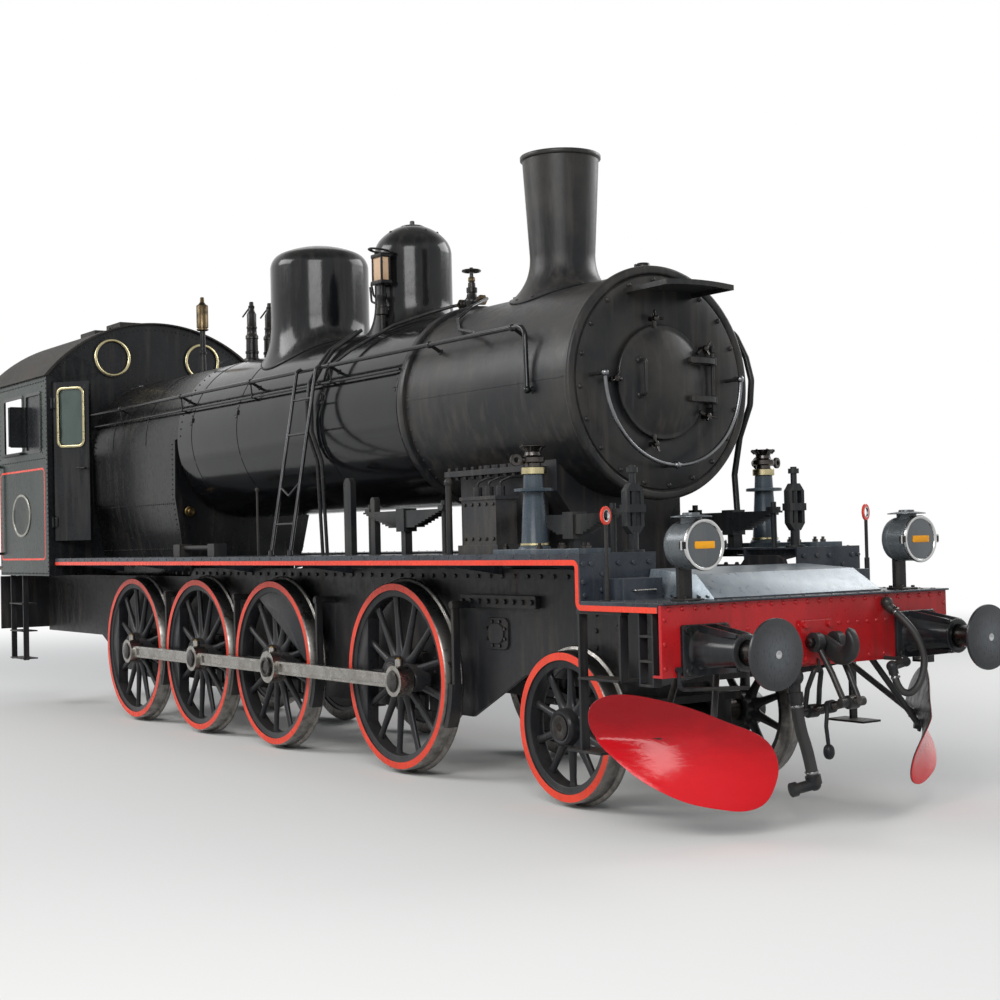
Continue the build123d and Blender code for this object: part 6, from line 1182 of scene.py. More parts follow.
CAP = [(-0.03, 0), (-0.03, 0.05), (0.008, 0.05), (0.012, 0.034), (0.04, 0.034), (0.044, 0.046),
    (0.066, 0.046), (0.072, 0.04), (0.074, 0)]
parts = []
for y in (-0.095, 0.095):
    parts.append(turning(VALVE, ENGINE + (SAFETY_X, y, CROWN_Z), UP, 36, 0))
    lever = [(-3.66, y, 3.945), (-3.74, y, 3.965), (-3.9, y, 3.89)]
    parts.append(bar(lever, 0.008, 8, 0, 0.02))
parts.append(turning(WHISTLE_PIPE, ENGINE + (WHISTLE_X, 0, CROWN_Z), UP, 32, 0))
parts.append(turning(WHISTLE_BELL, ENGINE + (WHISTLE_X, 0, CROWN_Z), UP, 40, 1))
blower = ENGINE + (BLOWER_X, 0, CROWN_Z)
for profile, sides, kind in ((BLOWER_BODY, 32, 0), (GLAND, 6, 1), (WHEEL_HUB, 24, 0)):
    parts.append(turning(profile, blower, UP, sides, kind))
roll = np.linspace(0, 2 * np.pi, 12, endpoint=False)
parts.append(turning(np.column_stack((0.322 + 0.0095 * np.sin(roll),
    0.066 + 0.0095 * np.cos(roll)))[np.r_[:12, 0]], blower, UP, 48, 0))
for number in range(5):
    lean = number * 2 * np.pi / 5 + 0.3
    out = np.array((np.cos(lean), np.sin(lean), 0))
    parts.append(tube(np.array([blower + out * 0.015 + (0, 0, 0.322), blower + out * 0.062
        + (0, 0, 0.322)]), 0.007, 8, 0))
parts.append(turning([(-0.12, 0), (-0.12, 0.034), (-0.1, 0.034), (-0.096, 0.024), (0.096, 0.024),
    (0.1, 0.034), (0.12, 0.034), (0.12, 0)], blower + (0, 0, 0.078), AHEAD, 28, 0))
for x in (-0.108, 0.108):
    parts.append(turning([(-0.013, 0), (-0.013, 0.043), (0.013, 0.043), (0.013, 0)],
        blower + (x * 1.28, 0, 0.078), AHEAD, 6, 1))
parts.append(turning(CAP, ENGINE + (CAP_X, 0, AXIS_Z + SMOKEBOX_R), UP, 32, 0))
parts.append(bar([(CAP_X, -0.07, 3.495), (CAP_X, 0.07, 3.495)], 0.012, 10, 0))

# Gauge lamp beside the sand dome: a riveted black lantern with a rolled hood and amber
# glass all round, faintly lit from within
LANTERN_X, LANTERN_Y, LANTERN_Z = (-0.895, -0.745), (-0.415, -0.33), (3.745, 3.99)
lantern_glass, tree = blank("lantern_glass")
streaks = clouds(tree, 30, 4.0, 0.6, (1, 1, 0.3))
tint = mixed(tree, streaks, "#a98768", "#c9ab8c")
surfaced(tree, {"Base Color": tint, "Roughness": 0.12, "IOR": 1.5, "Emission Color": tint,
    "Emission Strength": 0.1})


def boxed(x, y, z, ease=0.003, kind=0):
    """A box between three pairs of limits, its top and bottom edges eased."""
    outline = np.array([(x[0], y[0]), (x[1], y[0]), (x[1], y[1]), (x[0], y[1])])
    middle = outline.mean(axis=0)
    rows = [(z[0], 1.0), (z[0], ease), (z[0] + ease, 0), (z[1] - ease, 0), (z[1], ease),
        (z[1], 1.0)]
    rings = []
    for height, inset in rows:
        flat = middle + 0 * outline if inset == 1.0 else outline - inset * np.sign(outline - middle)
        rings.append(np.column_stack((flat, np.full(4, height))))
    return grid_part(np.stack(rings, axis=1) + ENGINE, kind, loop_u=True)


parts.append(boxed((LANTERN_X[0] + 0.008, LANTERN_X[1] - 0.008),
    (LANTERN_Y[0] + 0.008, LANTERN_Y[1] - 0.008), (LANTERN_Z[0] + 0.02, LANTERN_Z[1] - 0.02),
    kind=2))
parts.append(boxed((LANTERN_X[0] - 0.008, LANTERN_X[1] + 0.008),
    (LANTERN_Y[0] - 0.008, LANTERN_Y[1] + 0.008), (LANTERN_Z[0], LANTERN_Z[0] + 0.03)))
parts.append(boxed((LANTERN_X[0] - 0.004, LANTERN_X[1] + 0.004),
    (LANTERN_Y[0] - 0.004, LANTERN_Y[1] + 0.004), (LANTERN_Z[1] - 0.03, LANTERN_Z[1])))
for x in LANTERN_X:
    for y in LANTERN_Y:
        step = 0.014 * np.sign((x - sum(LANTERN_X) / 2, y - sum(LANTERN_Y) / 2))
        parts.append(boxed(sorted((x, x - step[0])), sorted((y, y - step[1])),
            (LANTERN_Z[0] + 0.02, LANTERN_Z[1] - 0.02), 0.001))
lantern = ENGINE + (sum(LANTERN_X) / 2, sum(LANTERN_Y) / 2, LANTERN_Z[1])
# a rolled hoop stands round its top, and it sits on a clack valve with a lever
roll = np.linspace(0, 2 * np.pi, 10, endpoint=False)
hoop = np.column_stack((0.024 + 0.0085 * np.sin(roll), 0.1 + 0.0085 * np.cos(roll)))[np.r_[:10, 0]]
parts.append(turning(hoop, lantern, (0.1, 0.14, 1), 56, 0))
for turn in (0.6, 2.7, 4.7):
    arm = np.array((math.cos(turn), math.sin(turn), 0))
    parts.append(tube(np.array([lantern + arm * 0.03 + (0, 0, -0.004), lantern + arm * 0.098
        + (0, 0, 0.022 - 0.1 * (0.1 * arm[0] + 0.14 * arm[1]))]), 0.006, 8, 0))
stem = [(-0.42, 0.0), (-0.42, 0.036), (-0.25, 0.036), (-0.24, 0.05), (-0.19, 0.05), (-0.18, 0.036),
    (-0.12, 0.034), (-0.11, 0.044), (-0.085, 0.044), (-0.08, 0.02), (0.0, 0.02), (0.0, 0)]
clack = lantern + (0, 0, LANTERN_Z[0] - LANTERN_Z[1])
parts.append(turning(stem, clack, UP, 28, 0))
levers = [[(-0.83, -0.38, 3.6), (-0.9, -0.4, 3.67), (-0.93, -0.4, 3.76)],
    [(-0.83, -0.38, 3.58), (-0.93, -0.4, 3.62), (-0.95, -0.4, 3.74)]]
for lever in levers:
    parts.append(bar(lever, 0.009, 8, 0, 0.02))
assembled("crown_fittings", parts, (fitting_black, worn_bronze, lantern_glass),
    node="boiler_fittings", smooth=50)

# Handrails and pipes along the boiler: drawn steel tube on ball stanchions screwed into
# the barrel, in gloss black enamel, with a thin steam pipe clipped below.
RAIL_ANGLE, RAIL_DISTANCE = math.radians(28), 0.85
RAIL_Y, RAIL_Z = -RAIL_DISTANCE * math.cos(RAIL_ANGLE), AXIS_Z + RAIL_DISTANCE * math.sin(
    RAIL_ANGLE)
STANCHIONS = (-5.4, -3.9, -2.43, -1.02, 0.47, 1.5)
rail_end = (1.695, RAIL_Y - 0.03, RAIL_Z - 0.435)
handrail_steel = painted("handrail_enamel", "#151618", "#2e2d2c", "#4e4a44", rough=(0.14, 0.3),
    dusty=0.25, metallic=0.3, coat=0.15, grain_mm=4, bump=0.12, streak=0.2)


def ball(centre, radius, steps=20, kind=0):
    """A ball turned about the vertical through its centre."""
    lean = np.linspace(-np.pi / 2, np.pi / 2, 13)
    profile = np.column_stack((radius * np.sin(lean), radius * np.cos(lean)))
    profile[[0, -1], 1] = 0
    return turning(profile, centre, UP, steps, kind)


def mirrored(part):
    """The part's mirror image on the engine's other side."""
    vertices, faces, kind = part
    return vertices * (1, -1, 1), faces[:, ::-1], kind


parts = [bar([(-6.199, RAIL_Y, RAIL_Z), (1.64, RAIL_Y, RAIL_Z), rail_end], 0.017, 20, 0, 0.09)]
for x in STANCHIONS:
    shell = BARREL_R if x < 0.05 else SMOKEBOX_R
    foot = on_barrel(x, 28, shell - 0.004)[0][0]
    post = np.array((x, RAIL_Y, RAIL_Z))
    parts.append(turning([(0, 0.024), (0.008, 0.024), (0.014, 0.014), (np.linalg.norm(post - foot),
        0.012)], foot + ENGINE, post - foot, 16))
    parts.append(ball(post + ENGINE, 0.027))
    if x < 0:
        pipe_at = on_barrel(x, 20, 0.784)[0][0]
        parts.append(bar([on_barrel(x, 20, BARREL_R - 0.004)[0][0], pipe_at], 0.008, 10))
        parts.append(bar([pipe_at, post], 0.007, 10))
        parts.append(turning([(-0.014, 0.011), (-0.014, 0.0165), (0.014, 0.0165), (0.014, 0.011)],
            pipe_at + ENGINE, AHEAD, 16))
foot = np.array((rail_end[0], -SMOKEBOX_R + 0.004, rail_end[2]))
parts.append(bar([rail_end, foot], 0.013, 16))
parts.append(turning([(0, 0.026), (0.008, 0.026), (0.014, 0.015), (0.02, 0.013)], foot + ENGINE,
    (0, -1, 0), 16))
parts.append(ball(np.array(rail_end) + ENGINE, 0.026))
thin = [on_barrel(x, 20, 0.784)[0][0] for x in (-6.199, 0.03)]
parts.append(bar(thin, 0.011, 14))
parts = parts + [mirrored(part) for part in parts]
assembled("handrail_tubes", parts, (handrail_steel,), node="handrails")

# Ladders: two tube stringers hooked over the handrail, with riveted rungs; one rung has
# been trodden into a shallow V.
ladder_paint = painted("ladder_enamel", "#1b1c1e", "#3a393c", "#5a564f", rough=(0.16, 0.34),
    dusty=0.35, metallic=0.3, coat=0.1, grain_mm=4, bump=0.15, streak=0.3)
LADDER_FEET = (-1.373, -1.046)
LADDER_TOP = (RAIL_Y - 0.05, RAIL_Z - 0.01)


def on_ladder(foot_x, share):
    """A point of a ladder's stringer at a share of the way up."""
    return (foot_x - 0.104 * share, -1.12 + share * (LADDER_TOP[0] + 1.12),
        1.59 + share * (LADDER_TOP[1] - 1.59))


parts = []
for foot_x in LADDER_FEET:
    top = on_ladder(foot_x, 1)
    hook = [on_ladder(foot_x, 0.01), top, (top[0], RAIL_Y - 0.012, RAIL_Z + 0.012)]
    parts.append(bar(hook, 0.015, 16, 0, 0.03))
    foot = [(0.0, 0), (0.0, 0.038), (0.008, 0.038), (0.012, 0.022), (0.045, 0.019), (0.048, 0.015)]
    parts.append(turning(foot, np.array((foot_x, -1.12, 1.59)) + ENGINE, UP, 24))
for share in (0.17, 0.65, 0.84):
    parts.append(bar([on_ladder(LADDER_FEET[0], share), on_ladder(LADDER_FEET[1], share)], 0.010,
        12))
bent = [on_ladder(LADDER_FEET[0], 0.37), on_ladder(sum(LADDER_FEET) / 2, 0.32),
    on_ladder(LADDER_FEET[1], 0.39)]
parts.append(bar(bent, 0.009, 12, 0, 0.03))
parts = parts + [mirrored(part) for part in parts]
assembled("ladder_tubes", parts, (ladder_paint,), node="ladders")

# Pipes: copper and steel pipe painted over with the boiler, in drawn bends: the sand
# pipes, the one down the left of the smokebox, and the blower's pipes on top.
pipe_paint = painted("pipe_enamel", "#1c1d1f", "#2d2c2b", "#4e4841", rough=(0.22, 0.4), dusty=0.4,
    grain_mm=6, bump=0.15, streak=0.3)
eased("sand_pipes", 0.0, (pipe_paint,), angle=50)
SIDE_PIPE = [(1.9, 0.7, 3.166), (1.99, 0.81, 3.078), (2.04, 0.86, 2.918), (2.077, 0.872, 2.754),
    (2.06, 0.87, 2.581), (1.96, 0.86, 2.364), (1.93, 0.828, 2.1), (1.99, 0.808, 1.54)]
side_pipe = bar(SIDE_PIPE, 0.022, 20, 0, 0.09)
assembled("lagged_side_pipe", [side_pipe], (pipe_paint,), node="side_pipe")


def over(x, angle, radius):
    """A point at an angle above the boiler's right side, from the coupled axle."""
    return on_barrel(x, angle, radius)[0][0]


BLOWER = [
    [(0.05, 0, 3.528), (0.16, -0.02, 3.525), over(0.3, 76, 0.785), over(0.38, 66, 0.78),
        over(0.42, 52, 0.77), over(0.62, 40, 0.775), over(0.9, 34, 0.79),
        (1.0, RAIL_Y + 0.025, RAIL_Z + 0.005)],
    [(-0.2, 0, 3.528), (-0.3, -0.03, 3.525), over(-0.4, 78, 0.80), over(-0.65, 62, 0.79),
        over(-0.92, 40, 0.80), (-1.0, RAIL_Y + 0.02, RAIL_Z + 0.01)],
]
bars("blower_pipes", BLOWER, 0.013, pipe_paint, bend=0.06)

# Cab: plate walls, roof and doors, riveted to angles at every edge. Outside the sheets
# are brushed dark green below the windows with a lined panel, and black elsewhere.
cab_green = painted("cab_green_enamel", "#17231f", "#202d28", "#46493d", rough=(0.2, 0.36),
    dusty=0.3, grain_mm=12, bump=0.1, streak=0.4)
cab_black = painted("cab_black_enamel", "#121315", "#1e2022", "#3f3c37", rough=(0.24, 0.42),
    dusty=0.35, grain_mm=12, bump=0.15, streak=0.4, shine=0.25)
roof_paint = painted("roof_bitumen", "#232220", "#34302c", "#4d463e", rough=(0.5, 0.72), dusty=0.55,
    grain_mm=10, bump=0.4, streak=0.4)
floor_wood = painted("oiled_floor_boards", "#4b3826", "#3a2b1e", "#57493a", rough=(0.5, 0.7),
    dusty=0.5, grain_mm=20, bump=0.4, streak=0.2)
seat_leather = painted("worn_seat_cover", "#3b2c22", "#4c3a2c", "#6a5a4a", rough=(0.42, 0.6),
    dusty=0.3, grain_mm=5, bump=0.4, streak=0.1)
CAB_FRONT, CAB_HALF = -6.2, 1.24
sides = eased("cab_sides", 0.003, (cab_black, cab_green))
middle, facing = faces_of(sides)
outer = (np.abs(np.abs(middle[:, 1]) - CAB_HALF) < 0.004) & (np.abs(facing[:, 1]) > 0.9)
sides.data.polygons.foreach_set("material_index", outer.astype(np.int32))
eased("cab_front", 0.003, (cab_black,))
eased("cab_roof", 0.004, (roof_paint,))
eased("cab_floor", 0.003, (floor_wood,))
eased("cab_seats", 0.012, (seat_leather,), segments=4)
eased("backhead_fittings", 0.002, (worn_bronze,))
for word in ("left", "right"):
    eased(f"cab_door_{word}", 0.002, (cab_black,))

# Window glass: float panes with a slight green edge and a film of dust
window_glass, tree = blank("window_glass")
film = clouds(tree, 160, 5.0, 0.6)
haze = ranged(tree, film, low=0.4, high=0.8, first=0.02, last=0.16)
surfaced(tree, {"Base Color": linear("#dfeae4"), "Roughness": haze, "IOR": 1.5,
    "Transmission Weight": 0.92})
finish_node("cab_glass", window_glass)

# Lining: one red line round the side panel with swept corners
LINING = ((-7.73, -6.29), (1.575, 2.545))


def panel_line(x, z, y, width, corner, side):
    """A closed painted line in a plane across the engine: a rounded rectangle's border,
    one lined edge inside the other."""
    outer, inner = rounded(x, z, corner), rounded(x, z, corner, corner - width)
    face, back = side * y, side * (y - 0.0015)
    order = [(outer, back), (outer, face), (inner, face), (inner, back)]
    grid = np.stack([np.column_stack((q[:, 0], np.full(len(q), at), q[:, 1])) for q, at in order],
        axis=1)
    return grid_part(grid + ENGINE, 0, loop_u=True, flip=side < 0)


parts = [panel_line(*LINING, CAB_HALF + 0.0012, 0.02, 0.07, side) for side in (-1, 1)]
assembled("cab_lining", parts, (line_red,))
# Rivets: round the edges of the side sheets, along the eaves and over the front sheet
side_y = -CAB_HALF - 0.0005
rows = [line((-7.72, side_y, 1.435), (-6.24, side_y, 1.435), 34), line((-6.222, side_y, 1.46),
    (-6.222, side_y, 3.46), 44)]
rows += [line((-7.74, side_y, 2.64), (-6.28, side_y, 2.64), 26), line((-7.74, side_y, 3.45),
    (-6.28, side_y, 3.45), 30)]
rows += [line((-6.34, side_y, 2.7), (-6.34, side_y, 3.4), 12), line((-7.735, side_y, 1.5),
    (-7.735, side_y, 3.4), 36)]
places = both_sides(np.vstack(rows))
side_heads("cab_side_rivets", places, 0.0085, 0.005, cab_black, slot="cab_green")
front_x = CAB_FRONT + 0.0005
arch_r = (CAB_HALF**2 + 0.6**2) / (2 * 0.6)
turn = np.linspace(-0.88, 0.88, 56)
arch = np.column_stack((np.full(56, front_x), 1.2 * np.sin(turn) / np.sin(0.88) * 0.985,
    4.04 - arch_r + np.sqrt(arch_r**2 - (1.2 * np.sin(turn) / np.sin(0.88) * 0.985) ** 2)))
rows = [arch, line((front_x, -1.205, 1.46), (front_x, -1.205, 3.4), 40),
    line((front_x, 1.205, 1.46), (front_x, 1.205, 3.4), 40)]
turn = np.radians(np.arange(-60, 241, 5.5))
rows += [np.column_stack((np.full(len(turn), front_x), 0.792 * np.cos(turn),
    AXIS_Z + 0.792 * np.sin(turn)))]
places = np.vstack(rows)
places = places[(places[:, 1] > -1.15) | (places[:, 2] > 3.5)]
heads("cab_front_rivets", engine(places), AHEAD, 0.0095, 0.006, cab_black)

# Porthole rims: brass rings round the two front lights; the same brass serves the frames of the
# door lights below
parts = []
for side in (-1, 1):
    centre = ENGINE + (CAB_FRONT, side * 0.517, 3.715)
    rim = [(0.012, 0.171), (0.02, 0.173), (0.0235, 0.178), (0.0245, 0.186), (0.023, 0.195),
        (0.02, 0.2), (0.012, 0.202)]
    parts.append(turning(rim, centre, AHEAD, 72))
rim_brass = bare_metal("pale_rim_brass", "#b5ab86", "#716749", rough=(0.22, 0.38), stained=0.35)
assembled("porthole_rims", parts, (rim_brass,))

# Door lights: a pressed frame screwed round each door's window and a pane of glass tinted dark grey
# green as painted shade of the cab behind it, both turned with the leaf on its hinge
DOOR_HINGE, DOOR_TURNED = np.array((-6.183, 1.193, 0)), {"left": 0.0, "right": 52.0}


def on_door(points, word):
    """The left door's places, closed, turned on its hinge and mirrored to the door named."""
    lean = math.radians(DOOR_TURNED[word])
    turn = np.array(((math.cos(lean), -math.sin(lean), 0), (math.sin(lean), math.cos(lean), 0),
        (0, 0, 1)))
    turned = (points - DOOR_HINGE) @ turn.T + DOOR_HINGE
    return turned * (1, 1 if word == "left" else -1, 1) + ENGINE


LIGHT_Y, LIGHT_Z = 0.9725, (2.765, 3.345)
door_glass_painted_dark, tree = blank("door_glass_painted_shade")
film = clouds(tree, 120, 5.0, 0.6)
haze = ranged(tree, film, low=0.4, high=0.8, first=0.03, last=0.14)
# Painted shade: the pane's dark grey green stands for the shaded cab seen through it
tint = mixed(tree, film, "#33423e", "#5b6a64")
surfaced(tree, {"Base Color": tint, "Roughness": haze, "IOR": 1.5, "Transmission Weight": 0.55})
for word in ("left", "right"):
    ring = rounded((-0.139, 0.139), (LIGHT_Z[0] - 0.001, LIGHT_Z[1] + 0.001), 0.05)
    centre = ring.mean(axis=0)
    depths = ((-6.212, 0.0), (-6.212, 0.985), (-6.211, 1.0), (-6.208, 1.0), (-6.207, 0.985),
        (-6.207, 0.0))
    pane = np.stack(
        [np.column_stack((np.full(len(ring), x), LIGHT_Y + centre[0] + (ring[:, 0] - centre[0])
        * share, centre[1] + (ring[:, 1] - centre[1]) * share)) for x, share in depths], axis=1)
    part = grid_part(on_door(pane, word), 0, loop_u=True, flip=word == "right")
    assembled(f"door_pane_{word}", [part], (door_glass_painted_dark,), f"cab_door_{word}")
    rings = []
    for x, grow in ((-6.195, 0.001), (-6.186, 0.001), (-6.1845, 0.003), (-6.1845, 0.0225),
            (-6.186, 0.0245), (-6.195, 0.0245)):
        ring = rounded((-0.138 - grow, 0.138 + grow), (LIGHT_Z[0] - grow, LIGHT_Z[1] + grow),
            0.05 + grow * 0.8)
        rings.append(np.column_stack((np.full(len(ring), x), LIGHT_Y + ring[:, 0], ring[:, 1])))
    part = grid_part(on_door(np.stack(rings, axis=1), word), 0, loop_u=True, flip=word == "left")
    assembled(f"door_light_frame_{word}", [part], (rim_brass,), f"cab_door_{word}")
    marks = rounded((-0.1505, 0.1505), (LIGHT_Z[0] - 0.0125, LIGHT_Z[1] + 0.0125), 0.06, steps=3)
    marks = np.vstack((marks, [(y, z) for y in (-0.1505, 0.1505) for z in (2.9, 3.055, 3.21)]))
    places = on_door(np.column_stack((np.full(len(marks), -6.1847), LIGHT_Y + marks[:, 0],
        marks[:, 1])), word)
    way = on_door(np.array([(1.0, 1.193, 0)]), word)[0] - on_door(DOOR_HINGE[None, :], word)[0]
    heads(f"door_light_screws_{word}", places, way / np.linalg.norm(way), 0.0055, 0.003, oily_steel,
        f"cab_door_{word}")

# Door stops: angle irons inside the front sheet that the leaves shut against
parts = []
for side in (-1, 1):
    for y, z in (((1.15, 1.215), (1.75, 3.45)), ((0.735, 0.78), (1.75, 3.45)),
            ((0.78, 1.15), (1.75, 1.8)), ((0.78, 1.15), (3.4, 3.45))):
        parts.append(boxed((-6.245, -6.222), sorted((side * y[0], side * y[1])), z, 0.002))
assembled("door_stops", parts, (cab_black,))

# Window frames: black angle round the side windows, the sliding sash of the open one, and
# the small wind deflector that stands out ahead of it
window_black = painted("window_frame_enamel", "#141517", "#242526", "#4c4741", rough=(0.2, 0.36),
    dusty=0.3, coat=0.2, grain_mm=5, bump=0.12, streak=0.3)
parts = []
for side in (-1, 1):
    for x in ((-6.83, -6.39), (-7.56, -6.95)):
        for grow, width, rise in ((0.026, 0.03, 0.006), (0.004, 0.014, 0.011)):
            parts.append(panel_line((x[0] - grow, x[1] + grow), (2.735 - grow, 3.33 + grow),
                CAB_HALF + rise, width, 0.03 + grow, side))
    edge = [(-6.919, side * 1.25, 2.795), (-6.919, side * 1.396, 2.795),
        (-6.919, side * 1.396, 3.215), (-6.919, side * 1.25, 3.215)]
    parts.append(bar(edge, 0.0095, 10, 0, 0.02))
assembled("side_window_frames", parts, (window_black,))

# Builder's plate: a blank oval casting with a raised rim, screwed to the side panel
turn = np.linspace(0, 2 * np.pi, 64, endpoint=False)
parts = []
for side in (-1, 1):
    rows = [(1.0, 0.0), (1.0, 0.008), (0.985, 0.011), (0.93, 0.012), (0.9, 0.011), (0.885, 0.0075),
        (0.6, 0.0075), (0.0, 0.0085)]
    grid = np.stack([np.column_stack((-7.03 + 0.29 * share * np.cos(turn),
        np.full(64, side * (CAB_HALF + rise)), 2.055 + 0.232 * share * np.sin(turn))) for share,
        rise in rows], axis=1)
    parts.append(grid_part(grid + ENGINE, np.array([0, 0, 0, 0, 0, 1, 1]), loop_u=True,
        flip=side > 0))
plate_metal = bare_metal("rubbed_plate_rim", "#a5a49c", "#55534b", rough=(0.28, 0.45), stained=0.5)
plate_field = painted("plate_field_enamel", "#1c2321", "#33362f", "#5d5c50", rough=(0.3, 0.5),
    dusty=0.4, grain_mm=5, bump=0.3, streak=0.3)
assembled("blank_oval_plates", parts, (plate_metal, plate_field))
# Lifting eyes on the roof
bars("roof_eyes", [[(-6.5, 0.42, 4.02), (-6.5, 0.42, 4.08), (-6.42, 0.42, 4.08),
    (-6.42, 0.42, 4.02)], [(-6.5, -0.42, 4.02), (-6.5, -0.42, 4.08), (-6.42, -0.42, 4.08),
    (-6.42, -0.42, 4.02)]], 0.009, roof_paint, bend=0.035)

# Screw jacks: cast bodies painted slate blue with brass rings, a ratchet head and a
# crowned screw, strapped to slabs on the running boards for re-railing.
jack_blue = painted("jack_slate_enamel", "#343e46", "#4a545b", "#777570", rough=(0.22, 0.38),
    dusty=0.35, grain_mm=8, bump=0.15, streak=0.35)
JACK = np.array((2.04, -1.0, 1.59))
BODY = [(0, 0), (0, 0.102), (0.003, 0.105), (0.036, 0.105), (0.042, 0.1), (0.05, 0.09),
    (0.06, 0.086), (0.386, 0.0665), (0.388, 0.07), (0.39, 0.12), (0.393, 0.125), (0.409, 0.125),
    (0.412, 0.12), (0.414, 0.07), (0.416, 0.065), (0.498, 0.061)]
BRASS_TOP = [(0.498, 0.061), (0.5, 0.072), (0.503, 0.076), (0.542, 0.076), (0.546, 0.072),
    (0.548, 0.05)]
HEAD = [(0.548, 0.05), (0.57, 0.05), (0.574, 0.07), (0.578, 0.075), (0.606, 0.075), (0.61, 0.07),
    (0.62, 0.055), (0.64, 0.05), (0.66, 0.06), (0.677, 0.084), (0.68, 0.084), (0.68, 0.06),
    (0.665, 0.045), (0.665, 0)]
BRASS_FOOT = [(0.052, 0.088), (0.054, 0.0935), (0.066, 0.0925), (0.068, 0.085)]
parts = []
for profile, kind in ((BODY, 0), (BRASS_TOP, 1), (HEAD, 2), (BRASS_FOOT, 1)):
    parts.append(turning(profile, JACK + ENGINE, UP, 56, kind))
for angle in range(0, 360, 60):
    turn = math.radians(angle + 20)
    out = np.array((math.cos(turn), math.sin(turn), 0))
    parts.append(bar([JACK + out * 0.055 + (0, 0, 0.655), JACK + out * 0.078 + (0, 0, 0.678)],
        0.012, 10, 2))
lever = [JACK + (-0.02, 0, 0.59), JACK + (-0.092, 0, 0.59)]
parts.append(bar(lever, 0.026, 20, 2))
eye = [(-0.016, 0.016), (-0.016, 0.04), (-0.012, 0.044), (0.012, 0.044), (0.016, 0.04),
    (0.016, 0.016), (-0.016, 0.016)]
parts.append(turning(eye, JACK + (-0.052, 0, 0.59) + ENGINE, LEFT, 32, 2))
ring = [(-0.011, 0.018), (-0.011, 0.036), (-0.008, 0.039), (0.008, 0.039), (0.011, 0.036),
    (0.011, 0.018), (-0.011, 0.018)]
parts.append(turning(ring, JACK + (0, -0.13, 0.59) + ENGINE, (1, -0.3, 0), 32, 2))
parts.append(bar([JACK + (0, -0.06, 0.59), JACK + (0, -0.096, 0.59)], 0.022, 12, 2))
slab_rows = [(1.59, 0.0), (1.616, 0.0), (1.62, 0.004)]
base = np.array([(1.75, -1.12), (2.65, -1.12), (2.65, -0.88), (1.75, -0.88)])
grid = np.stack([np.column_stack((2.2 + (base[:, 0] - 2.2) * (1 - inset), -1.0 + (base[:, 1] + 1.0)
    * (1 - 4 * inset), np.full(4, z))) for z, inset in slab_rows], axis=1)
grid = np.concatenate((np.broadcast_to(grid[:, :1].mean(axis=0), grid[:, :1].shape), grid,
    np.broadcast_to(grid[:, -1:].mean(axis=0), grid[:, :1].shape)), axis=1)
parts.append(grid_part(grid + ENGINE, 0, loop_u=True))
for dx, dy in ((-0.2, -0.08), (-0.2, 0.08), (0.16, -0.08), (0.16, 0.08), (0.4, -0.08), (0.4, 0.08),
        (0.55, 0.0)):
    parts.append(turning([(0, 0.02), (0.016, 0.02), (0.02, 0.016), (0.02, 0.011), (0.036, 0.011),
        (0.036, 0)], JACK + (dx, dy, 0.03) + ENGINE, UP, 6, 2))
parts += [mirrored(part) for part in parts]
assembled("screw_jack_bodies", parts, (jack_blue, rim_brass, oily_steel),
    node="screw_jacks")

# Lubricator: cast oil box with pump drives and sight feeds, grimy with oil
oil_box = painted("lubricator_enamel", "#25262a", "#35332f", "#5c5246", rough=(0.2, 0.45),
    dusty=0.4, grain_mm=8, bump=0.25, streak=0.5)
eased("lubricator", 0.006, (oil_box,), segments=3)
rows = [line((1.2, -0.9605, 1.69), (1.53, -0.9605, 1.69), 5), line((1.2, -0.9605, 1.92),
    (1.53, -0.9605, 1.92), 5)]
heads("lubricator_screws", engine(np.vstack(rows)), (0, -1, 0), 0.013, 0.01, oily_steel,
    hexagon=True)
FEEDS = [[(x, -0.875, 2.03), (x, -0.875, 2.07), (x + 0.05, -0.83, 2.1), (x + 0.05, -0.74, 2.1)]
    for x in (1.23, 1.365, 1.5)]
bars("lubricator_pipes", FEEDS, 0.008, pipe_paint, bend=0.03, sides=10)

# Headlamps: pressed drums painted silver grey with a bright bezel over the lens, the
# flat face blanked in grey with a yellow bar across it, and a broad vent cap on top.
lamp_grey = painted("lamp_silver_enamel", "#5c6164", "#4a4e51", "#4d4a45", rough=(0.24, 0.4),
    dusty=0.4, metallic=0.25, grain_mm=7, bump=0.12, streak=0.4)
bezel = bare_metal("lamp_bezel_steel", "#c4c5c4", "#77766f", rough=(0.16, 0.3), stained=0.3)
lamp_face = painted("lamp_face_grey", "#484c4f", "#55595c", "#6f6b63", rough=(0.12, 0.2), dusty=0.1,
    coat=0.6, grain_mm=30, bump=0.05, streak=0.2)
lamp_yellow = painted("lamp_bar_yellow", "#f0a51e", "#e0931a", "#9a7a3a", rough=(0.3, 0.42),
    dusty=0.1, grain_mm=10, bump=0.05, streak=0.15)
LAMP = np.array((3.45, -0.9, 1.629))
DRUM = [(-0.15, 0), (-0.15, 0.1), (-0.147, 0.118), (-0.138, 0.13), (-0.122, 0.137), (-0.1, 0.137),
    (-0.098, 0.139), (-0.09, 0.139), (-0.088, 0.137), (0.02, 0.137), (0.022, 0.139), (0.03, 0.139),
    (0.032, 0.137), (0.046, 0.137)]
BEZEL = [(0.044, 0.136), (0.046, 0.143), (0.052, 0.1465), (0.064, 0.147), (0.069, 0.144),
    (0.0705, 0.138), (0.069, 0.13), (0.066, 0.126), (0.061, 0.1245)]
FACE = [(0.061, 0.1245), (0.0635, 0.08), (0.0645, 0.04), (0.065, 0)]
